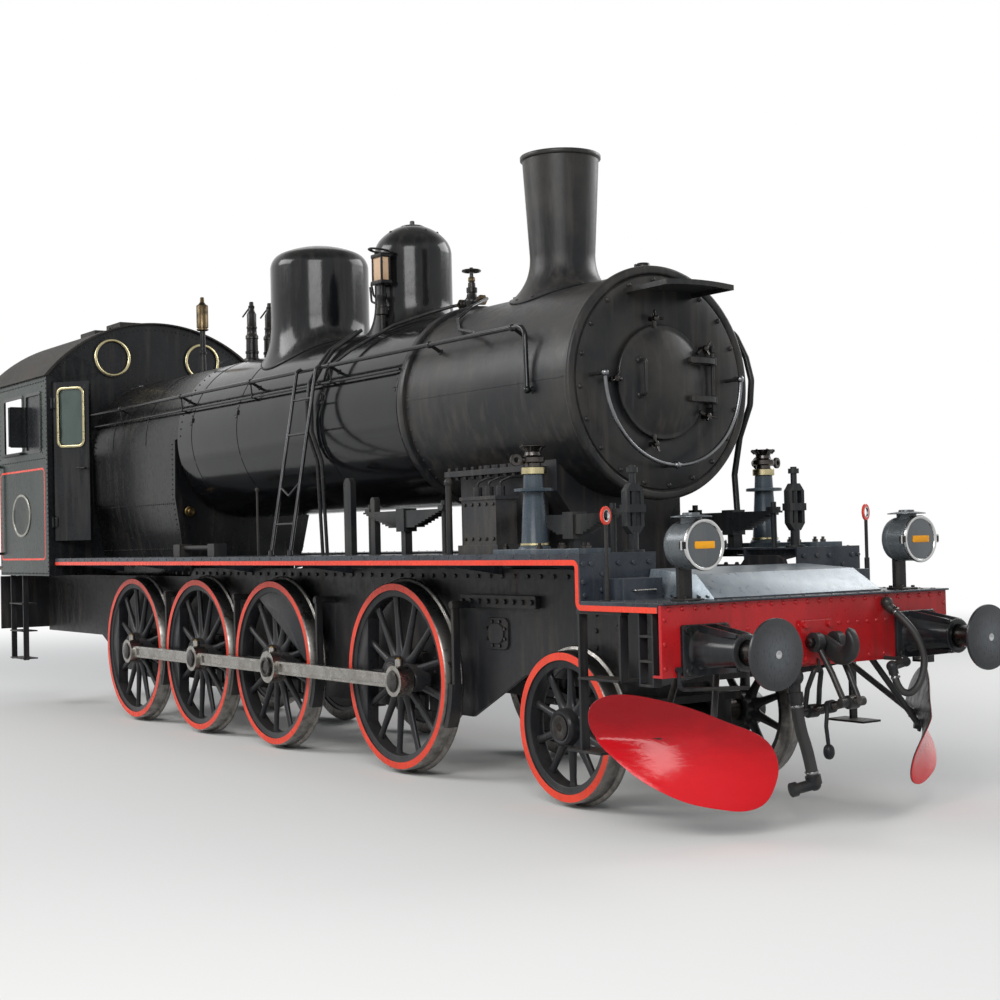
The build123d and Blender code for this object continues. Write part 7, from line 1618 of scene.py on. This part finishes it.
parts = [turning(DRUM, LAMP + ENGINE, AHEAD, 72, 0), turning(BEZEL, LAMP + ENGINE, AHEAD, 72, 1),
    turning(FACE, LAMP + ENGINE, AHEAD, 72, 2)]
CAP = [(0.11, 0.062), (0.158, 0.062), (0.16, 0.07), (0.157, 0.116), (0.159, 0.119), (0.163, 0.118),
    (0.17, 0.075), (0.172, 0.05), (0.182, 0.048), (0.184, 0.044), (0.184, 0)]
parts.append(turning(CAP, LAMP + ENGINE + (-0.045, 0, 0), UP, 48, 0))
# The bracket is a broad flat iron that rises behind the drum from a turned-out foot, with
# a stub forwards into the drum's back
parts.append(boxed((3.29, 3.42), (LAMP[1] - 0.07, LAMP[1] + 0.07), (1.311, 1.326), 0.003, 6))
parts.append(boxed((3.318, 3.346), (LAMP[1] - 0.048, LAMP[1] + 0.048), (1.32, 1.677), 0.004, 6))
parts.append(boxed((3.34, 3.38), (LAMP[1] - 0.046, LAMP[1] + 0.046), (1.583, 1.675), 0.004, 6))
for across, z in ((-0.026, 1.6), (0.026, 1.6), (-0.026, 1.655), (0.026, 1.655)):
    parts.append(turning([(0, 0.012), (0.008, 0.012), (0.012, 0.007), (0.012, 0)],
        (3.3185, LAMP[1] + across, z) + ENGINE, (-1, 0, 0), 12, 6))
for x, across in ((3.305, -0.052), (3.305, 0.052), (3.395, -0.052), (3.395, 0.052)):
    parts.append(turning([(0, 0.012), (0.011, 0.012), (0.013, 0.01), (0.013, 0)],
        (x, LAMP[1] + across, 1.3255) + ENGINE, UP, 6, 6))
for side_y in (-1, 1):
    hinge = LAMP + (0.055, side_y * 0.155, 0)
    block = sorted((hinge[1] - side_y * 0.016, hinge[1] + side_y * 0.008))
    parts.append(boxed((hinge[0] - 0.022, hinge[0] + 0.014), block,
        (hinge[2] - 0.02, hinge[2] + 0.02), 0.003, 6))
    pin = [(-0.026, 0), (-0.026, 0.006), (0.026, 0.006), (0.026, 0)]
    parts.append(turning(pin, hinge + (0.002, side_y * 0.012, 0) + ENGINE, UP, 12, 1))
bar_y, bar_z, corner = 0.074, 0.0205, 0.004
strip = np.array([(-bar_y + corner, -bar_z), (bar_y - corner, -bar_z), (bar_y, -bar_z + corner),
    (bar_y, bar_z - corner), (bar_y - corner, bar_z), (-bar_y + corner, bar_z),
    (-bar_y, bar_z - corner), (-bar_y, -bar_z + corner)])
rings = np.stack([np.column_stack((np.full(8, LAMP[0] + x), LAMP[1] + strip[:, 0] * share,
    LAMP[2] + strip[:, 1] * share)) for x, share in ((0.06, 1.0), (0.0672, 1.0), (0.0678, 0.97),
    (0.0678, 0.0))], axis=1)
parts.append(grid_part(rings + ENGINE, 3, loop_u=True))
# Marker rings: a red enamelled ring on a thin rod at each corner
MARKER = np.array((2.885, -1.1, 1.81))
RING_PROFILE = [(-0.007, 0.036), (-0.007, 0.053), (-0.005, 0.055), (0.005, 0.055), (0.007, 0.053),
    (0.007, 0.036)]
RING_EDGE = [(0.007, 0.036), (0.007, 0.033), (0.006, 0.031), (-0.006, 0.031), (-0.007, 0.033),
    (-0.007, 0.036)]
parts.append(bar([MARKER - (0, 0, 0.5), MARKER - (0, 0, 0.052)], 0.0115, 14, 5))
parts.append(bar([MARKER - (0, 0, 0.5), MARKER - (0, 0, 0.3)], 0.017, 16, 5))
parts.append(turning([(0, 0), (0, 0.024), (0.01, 0.024), (0.014, 0.014), (0.03, 0.012)],
    (2.885, -1.1, 1.312) + ENGINE, UP, 20, 5))
parts += [mirrored(part) for part in parts]
for side in (-1, 1):
    ring_centre = MARKER * (1, -side, 1) + ENGINE
    parts += [turning(profile, ring_centre, (0.94, 0.34, 0), 40, kind) for profile,
        kind in ((RING_PROFILE, 4), (RING_EDGE, 1))]
assembled("headlamp_drums", parts, (lamp_grey, bezel, lamp_face, lamp_yellow, line_red, pipe_paint,
    fitting_black), node="lamps")

# Rail ploughs: plates pressed to a shallow curve ahead of the leading wheels, enamelled
# bright red on the hollow face and black behind, on two forged stays from each frame.
plough_red, tree = blank("plough_red_enamel")
place = add(tree, "ShaderNodeTexCoord").outputs["Object"]
height = add(tree, "ShaderNodeSeparateXYZ", {0: place}).outputs["Z"]
shade_gloss_and_dent_noise = clouds(tree, 160, 5.0, 0.6, (1, 1, 2.2))
speck = clouds(tree, 9, 4.0, 0.6)
# Painted shade: the red darkens from the plate's foot to its top, which faces down away from the
# light, with a noisy edge between
level = maths(tree, "MULTIPLY_ADD", shade_gloss_and_dent_noise, 0.22, height)
painted_shade_above = ranged(tree, level, low=0.42, high=0.86, interpolation_type="SMOOTHSTEP")
base = mixed(tree, painted_shade_above, "#d0101c", "#8b0a14")
spots = ranged(tree, speck, low=0.66, high=0.78, last=0.35)
base = mixed(tree, spots, base, "#6e3a30")
gloss = ranged(tree, shade_gloss_and_dent_noise, low=0.35, high=0.7, first=0.1, last=0.24)
dent = dented(tree, shade_gloss_and_dent_noise, 0.35, 0.012)
surfaced(tree, {"Base Color": base, "Roughness": gloss, "Normal": dent, "IOR": 1.5,
    "Specular IOR Level": 0.25})
PLOUGH = np.array((3.402, -0.95, 0.452))
PLOUGH_ALONG = np.array((0.766, 0.643, 0))
PLOUGH_NORMAL = np.array((0.633, -0.754, -0.174))
PLOUGH_UP = np.cross(PLOUGH_NORMAL, PLOUGH_ALONG)
DISH_R, PLOUGH_PLATE = 1.15, 0.012
PLOUGH_OUTLINE = (
    (-568, 222), (-538, 102), (-439, 18), (-303, -75), (-139, -168), (14, -239), (181, -293),
    (306, -320), (397, -297),
    (450, -221), (482, -58), (422, 93), (266, 176), (25, 278), (-169, 335), (-352, 364),
    (-470, 345), (-543, 293),
)


def pressed(along, up, radius=DISH_R):
    """How far the plate stands out at a place on it: a round hollow, and below the middle a
    twist like a ploughshare's, forwards at the heel and back at the tip."""
    hollow = DISH_R - np.sqrt(radius**2 - up**2)
    return hollow - 1.5 * np.clip(0.1 - up, 0, 1) * (along - 0.25)


def closed_curve(points, steps):
    """A smooth closed curve through points: a cubic spline over the lengths of its chords,
    its bends found together from the change of slope at every point."""
    p = np.asarray(points, float)
    ahead = np.roll(p, -1, axis=0)
    h = np.linalg.norm(ahead - p, axis=1)
    slope = (ahead - p) / h[:, None]
    i = np.arange(len(p))
    system = np.zeros((len(p), len(p)))
    system[i, i - 1] = np.roll(h, 1)
    system[i, i] = 2 * (h + np.roll(h, 1))
    system[i, (i + 1) % len(p)] = h
    bend = np.linalg.solve(system, 6 * (slope - np.roll(slope, 1, axis=0)))
    t = np.linspace(0, 1, steps, endpoint=False)[None, :, None]
    curve = p[:, None] * (1 - t) + ahead[:, None] * t
    pull = ((1 - t) ** 3 - (1 - t)) * bend[:, None] + (t**3 - t) * np.roll(bend, -1, axis=0)[:,
        None]
    return (curve + h[:, None, None] ** 2 / 6 * pull).reshape(-1, 2)


outline = closed_curve(PLOUGH_OUTLINE, 8) / 1000
reach = np.linalg.norm(outline, axis=1)[:, None]
faces = [(share, 0, DISH_R) for share in np.linspace(0, 0.9, 12)] + [(1, 0.006, DISH_R),
    (1, 0.002, DISH_R + 0.0012), (1, 0, DISH_R + 0.004)]
faces += [(1, 0, DISH_R + 0.008), (1, 0.002, DISH_R + 0.0108),
    (1, 0.006, DISH_R + PLOUGH_PLATE)] + [(share, 0, DISH_R + PLOUGH_PLATE)
    for share in np.linspace(0.9, 0, 12)]
rows = []
for share, inset, radius in faces:
    flat = outline * share * (1 - inset / reach)
    deep = pressed(flat[:, 0], flat[:, 1], radius)
    rows.append(PLOUGH + flat[:, :1] * PLOUGH_ALONG + flat[:, 1:] * PLOUGH_UP + deep[:, None]
        * PLOUGH_NORMAL)
grid = np.stack(rows, axis=1)
kind = np.where(np.arange(grid.shape[1] - 1) < 14, 0, 1)
parts = [grid_part(grid + ENGINE, kind, loop_u=True, flip=True)]
for foot_x, along, up in ((2.98, -0.18, 0.06), (3.28, 0.12, 0.02)):
    tip = PLOUGH + PLOUGH_ALONG * along + PLOUGH_UP * up + PLOUGH_NORMAL * (pressed(along, up)
        - 0.03)
    heel = np.array((foot_x, -0.614, 0.96))
    parts.append(bar([heel, tip], 0.02, 20, 1))
    parts.append(turning([(-0.012, 0.0), (-0.012, 0.045), (0.002, 0.045), (0.006, 0.036),
        (0.006, 0.03), (0.03, 0.03), (0.032, 0.0)], tip + ENGINE, -PLOUGH_NORMAL, 6, 1))
pad = np.array([(2.93, 0.92), (3.33, 0.92), (3.33, 1.01), (2.93, 1.01)])
parts.append(tuple(np.add(item, ENGINE) if n == 0 else item for n,
    item in enumerate(slab(pad, [(-0.6, 0), (-0.611, 0), (-0.614, 0.003)], -1, 1))))
parts += [mirrored(part) for part in parts]
assembled("rail_plough_plates", parts, (plough_red, frame_black), node="rail_ploughs")
rows = [(x, -0.6145, z) for x in (2.96, 3.07, 3.18, 3.3) for z in (0.94, 0.99)]
places = both_sides(rows)
side_heads("plough_pad_bolts", places, 0.016, 0.012, frame_black, hexagon=True)

# Buffers: cast housings with ribs above and below, bolted to the beam through square
# bases, and forged heads whose faces are rubbed grey where they meet other buffers.
BUFFER = np.array((3.459, -0.875, 1.038))
HEAD_R = 0.195
FACE_X = 4.05


def buffer_face(name):
    """Black enamel that is worn through to grey iron round the middle of the head: the
    share of iron falls with the distance from the head's centre and breaks up in patches."""
    material, tree = blank(name)
    place = add(tree, "ShaderNodeTexCoord").outputs["Object"]
    axes = add(tree, "ShaderNodeSeparateXYZ", {0: place})
    across = maths(tree, "ABSOLUTE", axes.outputs["Y"])
    flat = add(tree, "ShaderNodeCombineXYZ", {"Y": across, "Z": axes.outputs["Z"]}).outputs[0]
    centre = (0.0, -float(BUFFER[1]), float(BUFFER[2] + ENGINE[2]))
    far = add(tree, "ShaderNodeVectorMath", {0: flat, 1: centre},
        operation="DISTANCE").outputs["Value"]
    patch = clouds(tree, 45, 6.0, 0.65)
    uneven = maths(tree, "MULTIPLY_ADD", patch, 0.06, far)
    iron = ranged(tree, uneven, low=0.07, high=0.19, first=1.0, last=0.0)
    scuffs = clouds(tree, 12, 5.0, 0.6, (1, 1, 0.4))
    grey = mixed(tree, scuffs, "#3a3d41", "#6d7073")
    base = mixed(tree, iron, "#1f2124", grey)
    gloss = ranged(tree, scuffs, low=0.3, high=0.75, first=0.24, last=0.42)
    worn = maths(tree, "MULTIPLY", iron, 0.85)
    height = dented(tree, scuffs, 0.15, 0.0008)
    surfaced(tree, {"Base Color": base, "Roughness": gloss, "Metallic": worn, "Normal": height})
    return material


buffer_iron = buffer_face("rubbed_buffer_iron")
buffer_black = painted("buffer_enamel", "#17191b", "#2b2e31", "#4f4a43", rough=(0.16, 0.32),
    dusty=0.4, coat=0.1, grain_mm=7, bump=0.2, streak=0.3)
boss_steel = bare_metal("bright_boss_steel", "#b9babb", "#6d6b68", rough=(0.18, 0.34), stained=0.35)
ring = rounded((-0.175, 0.175), (-0.14, 0.148), 0.015, steps=5)
rings = [np.column_stack((np.full(len(ring), BUFFER[0] + x), BUFFER[1] + ring[:, 0] * share,
    BUFFER[2] + ring[:, 1] * share)) for x, share in ((0.0, 0), (0.0, 1), (0.018, 1),
    (0.022, 0.975), (0.022, 0))]
parts = [grid_part(np.stack(rings, axis=1) + ENGINE, 0, loop_u=True)]
HOUSING = [(0.018, 0.12), (0.022, 0.134), (0.034, 0.128), (0.05, 0.121), (0.32, 0.093),
    (0.328, 0.093), (0.332, 0.1), (0.336, 0.104), (0.346, 0.104), (0.35, 0.1), (0.352, 0.092),
    (0.353, 0.072), (0.35, 0.068)]
SHANK = [(0.35, 0.066), (0.515, 0.066), (0.522, 0.07), (0.53, 0.09)]
HEAD = [(0.53, 0.09), (0.535, 0.13), (0.545, 0.165), (0.555, 0.188), (0.558, 0.1935),
    (0.562, HEAD_R), (0.573, HEAD_R), (0.5765, 0.1935)]
arc = np.linspace(0.1935, 0.022, 16)
dome = FACE_X - BUFFER[0] - 0.0142 * (arc / 0.1935) ** 2
HEAD += np.column_stack((dome, arc)).tolist()
BOSS = [(0.5905, 0.022), (0.5908, 0.019), (0.5905, 0.012), (0.588, 0.006), (0.587, 0)]
for profile, kind in ((HOUSING, 0), (SHANK, 2), (HEAD, 1), (BOSS, 3)):
    parts.append(turning(profile, BUFFER + ENGINE, AHEAD, 96, kind))
for side, depth in ((1, 0.146), (-1, 0.138)):
    rib = [(0.02, 0.09), (0.02, depth), (0.045, depth), (0.3, 0.106), (0.325, 0.1), (0.325, 0.08)]
    for across in (-0.055, 0.055):
        section = np.array([(BUFFER[0] + x, BUFFER[2] + side * z) for x, z in rib])
        parts_rib = slab(section, [(BUFFER[1] + across - 0.009, 0.003), (BUFFER[1] + across - 0.006,
            0), (BUFFER[1] + across + 0.006, 0), (BUFFER[1] + across + 0.009, 0.003)],
            -1 if side > 0 else 1, 0)
        parts.append((parts_rib[0] + ENGINE, parts_rib[1], 0))
parts += [mirrored(part) for part in parts]
assembled("buffer_castings", parts, (buffer_black, buffer_iron, oily_steel, boss_steel),
    node="buffers")
rows = [(BUFFER[0] + 0.022, BUFFER[1] + y, BUFFER[2] + z) for y in (-0.148, 0.148)
    for z in (-0.112, 0.12)]
heads("buffer_bolts", engine(both_sides(rows)), AHEAD, 0.021, 0.018, buffer_black, hexagon=True,
    slot="buffer_steel")

# Draw gear: forged hook through a plate on the beam, and the screw coupling that hangs
# from it; black paint, rubbed to bare dark iron where the links work.
draw_iron = painted("draw_gear_iron", "#26282b", "#3c3b39", "#5a5048", rough=(0.3, 0.46), dusty=0.4,
    metallic=0.4, grain_mm=5, bump=0.3, streak=0.4)


def forged(path, depths, half_width, kind=0):
    """A forging whose rounded section runs along a smoothed path in X and Z: across the
    engine it is half_width either way, in the plane it follows depths, and its ends close."""
    t = np.linspace(0, len(path) - 1, 64)
    whole = np.arange(len(path))
    rows = np.column_stack([np.interp(t, whole, column) for column in (*np.asarray(path).T,
        depths)])
    kernel = np.ones(9) / 9
    padded = np.pad(rows, ((4, 4), (0, 0)), mode="reflect", reflect_type="odd")
    rows = np.column_stack([np.convolve(column, kernel, mode="valid") for column in padded.T])
    way = np.gradient(rows[:, :2], axis=0)
    way /= np.linalg.norm(way, axis=1)[:, None]
    turn = np.linspace(0, 2 * np.pi, 24, endpoint=False)
    across, deep = (np.sign(f) * np.abs(f) ** 0.7 for f in (np.sin(turn), np.cos(turn)))
    end = np.minimum(1, np.sqrt(np.clip(np.minimum(t, t[::-1]) / 0.35, 0.002, 1)))[:, None]
    depth = rows[:, 2:] * deep * end
    width = half_width * across * end
    points = np.stack((rows[:, :1] - way[:, 1:] * depth, width, rows[:, 1:2] + way[:, :1] * depth),
        -1)
    return grid_part(capped(points) + ENGINE, kind, loop_v=True)


HOOK = [(3.46, 1.038), (3.53, 1.038), (3.6, 1.0), (3.65, 0.965), (3.71, 0.965), (3.755, 1.005),
    (3.76, 1.065), (3.735, 1.13)]
parts = [forged(HOOK, (0.046, 0.05, 0.054, 0.056, 0.055, 0.046, 0.034, 0.012), 0.034)]
parts.append(boxed((3.459, 3.481), (-0.13, 0.13), (0.908, 1.168), 0.004, 2))
for across in (-1, 1):
    eye = [(-0.03, 0.0), (-0.03, 0.05), (-0.024, 0.058), (0.024, 0.058), (0.03, 0.05), (0.03, 0.0)]
    parts.append(turning(eye, np.array((3.552, across * 0.085, 1.042)) + ENGINE, LEFT, 36, 0))
    parts.append(turning([(-0.02, 0), (-0.02, 0.03), (0.02, 0.03), (0.024, 0.024), (0.024, 0)],
        np.array((3.552, across * 0.128, 1.042)) + ENGINE, (0, across, 0), 6, 1))
    upper = [(3.556, across * 0.078, 1.03), (3.66, across * 0.068, 0.86),
        (3.742, across * 0.062, 0.7)]
    lower = [(3.42, across * 0.058, 0.625), (3.44, across * 0.05, 0.76),
        (3.478, across * 0.03, 0.868), (3.48, 0, 0.884)]
    parts += [bar(upper, 0.0185, 14, 0, 0.05), bar(lower, 0.0155, 14, 0, 0.03)]
for x, z, half in ((3.742, 0.7, 0.1), (3.42, 0.625, 0.095)):
    trunnion = [(-half, 0), (-half, 0.022), (-half + 0.004, 0.027), (-0.04, 0.027), (-0.036, 0.04),
        (0.036, 0.04), (0.04, 0.027), (half - 0.004, 0.027), (half, 0.022), (half, 0)]
    parts.append(turning(trunnion, np.array((x, 0, z)) + ENGINE, LEFT, 28, 0))
screw = np.array((3.8, 0, 0.714)), np.array((3.355, 0, 0.61))
way = (screw[1] - screw[0]) / np.linalg.norm(screw[1] - screw[0])
along = np.linspace(0, 0.457, 300)
wave = 0.0215 + 0.0035 * np.abs((along / 0.0105 % 1) * 2 - 1)
profile = np.vstack(([(0, 0), (0, 0.02)], np.column_stack((along, wave)),
    [(0.457, 0.02), (0.457, 0)]))
parts.append(turning(profile, screw[0] + ENGINE, way, 24, 1))
collar = [(0.205, 0.022), (0.205, 0.034), (0.21, 0.038), (0.25, 0.038), (0.255, 0.034),
    (0.255, 0.022)]
parts.append(turning(collar, screw[0] + ENGINE, way, 28, 0))
handle = [(3.577, -0.03, 0.66), (3.577, -0.045, 0.55), (3.58, -0.03, 0.42)]
parts.append(bar(handle, 0.0125, 12, 0, 0.04))
weight = np.linspace(-np.pi / 2, np.pi / 2, 15)
parts.append(turning(np.column_stack((0.045 * np.sin(weight), 0.034 * np.cos(weight) ** 0.8)),
    np.array((3.58, -0.03, 0.4)) + ENGINE, UP, 28, 0))
hanger = [(3.46, 0, 0.93), (3.488, 0, 0.93), (3.492, 0, 0.872), (3.476, 0, 0.86), (3.462, 0, 0.872)]
parts.append(bar(hanger, 0.009, 10, 0, 0.012))
assembled("hook_and_coupling", parts, (draw_iron, oily_steel, beam_red),
    node="draw_gear")
rows = [(3.481, y, 1.038 + z) for y in (-0.1, 0.1) for z in (-0.1, 0.1)]
heads("draw_plate_bolts", engine(rows), AHEAD, 0.02, 0.017, beam_red, hexagon=True,
    slot="signal_red")

# Hose fittings under the beam: cocks, elbows and collars in malleable iron, painted over
eased("beam_fittings", 0.0015, (draw_iron,), segments=2, angle=40)
# Hoses: moulded black rubber over canvas, dull, with a faint wrap, clipped at both ends
rubber, tree = blank("hose_rubber")
grain = clouds(tree, 7, 4.0, 0.6)
broad = clouds(tree, 60, 4.0, 0.6)
base = mixed(tree, broad, "#1b1b1c", "#2f2d2b")
height = dented(tree, grain, 0.3, 0.001)
gloss = ranged(tree, broad, first=0.42, last=0.66)
surfaced(tree, {"Base Color": base, "Roughness": gloss, "Normal": height, "IOR": 1.5})
clip_steel = bare_metal("hose_clip_steel", "#8c8d8e", "#4a4846", rough=(0.24, 0.42), stained=0.5)
# (node, hose radius, route from the cock down to the coupling head or elbow)
HOSES = (
    ("brake_hose", 0.766, 0.022, ((3.525, 0.620, 1.195), (3.610, 0.632, 1.135),
        (3.675, 0.680, 1.015), (3.690, 0.705, 0.880), (3.675, 0.665, 0.745), (3.650, 0.590, 0.690),
        (3.620, 0.530, 0.735), (3.600, 0.525, 0.815))),
    ("heating_hose", 0.429, 0.035, ((3.550, -0.256, 0.700), (3.560, -0.246, 0.560),
        (3.592, -0.215, 0.420), (3.600, -0.190, 0.280))),
)
for node, length, radius, route in HOSES:
    route = engine(route)
    curve = bpy.data.curves.new(f"{node}_rubber", "CURVE")
    curve.dimensions = "3D"
    curve.bevel_depth, curve.bevel_resolution, curve.use_fill_caps = radius, 8, True
    curve.resolution_u = curve.render_resolution_u = 24
    spline = curve.splines.new("NURBS")
    spline.points.add(len(route) - 1)
    spline.points.foreach_set("co", np.column_stack((route, np.ones(len(route)))).ravel())
    spline.order_u = 3
    spline.use_endpoint_u = True
    curve.materials.append(rubber)
    hose = bpy.data.objects.new(f"{node}_rubber", curve)
    bpy.context.scene.collection.objects.link(hose)
    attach(hose, "engine")
    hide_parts(node)
    # Worm-drive clips, a bright band and its screw housing, a thumb's width from each end
    clips = []
    for end, towards in ((route[0], route[1]), (route[-1], route[-2])):
        way = (towards - end) / np.linalg.norm(towards - end)
        band = np.array([(0.012, radius), (0.012, radius + 0.0025), (0.0135, radius + 0.0035),
            (0.0245, radius + 0.0035), (0.026, radius + 0.0025), (0.026, radius)])
        clips.append(turning(band, end, way, 40))
        side = np.cross(way, (0, 1, 0.2))
        side /= np.linalg.norm(side)
        tab = end + way * 0.019 + side * (radius + 0.006)
        cross = np.cross(way, side)
        clips.append(turning([(-0.012, 0), (-0.012, 0.006), (-0.009, 0.0075), (0.011, 0.0075),
            (0.012, 0.006), (0.012, 0.0045), (0.016, 0.0045), (0.016, 0)], tab, cross, 14))
    clip = assembled(f"{node}_clips", clips, (clip_steel,))

# Steps: flat irons bent and riveted, with chequered treads worn at their front edges
eased("steps", 0.002, (frame_black,))

# Every CAD node with fewer than two finishes so far takes black enamel, the axles apart
plain_black = painted("black_enamel", "#1b1c1f", "#26272a", "#4b463f", rough=(0.2, 0.42))
for name, node in frame["nodes"].items():
    if not node.hide_render and len(node.data.materials) < 2 and not name.startswith(
            ("coupled_axle", "leading_axle")):
        finish_node(name, plain_black)
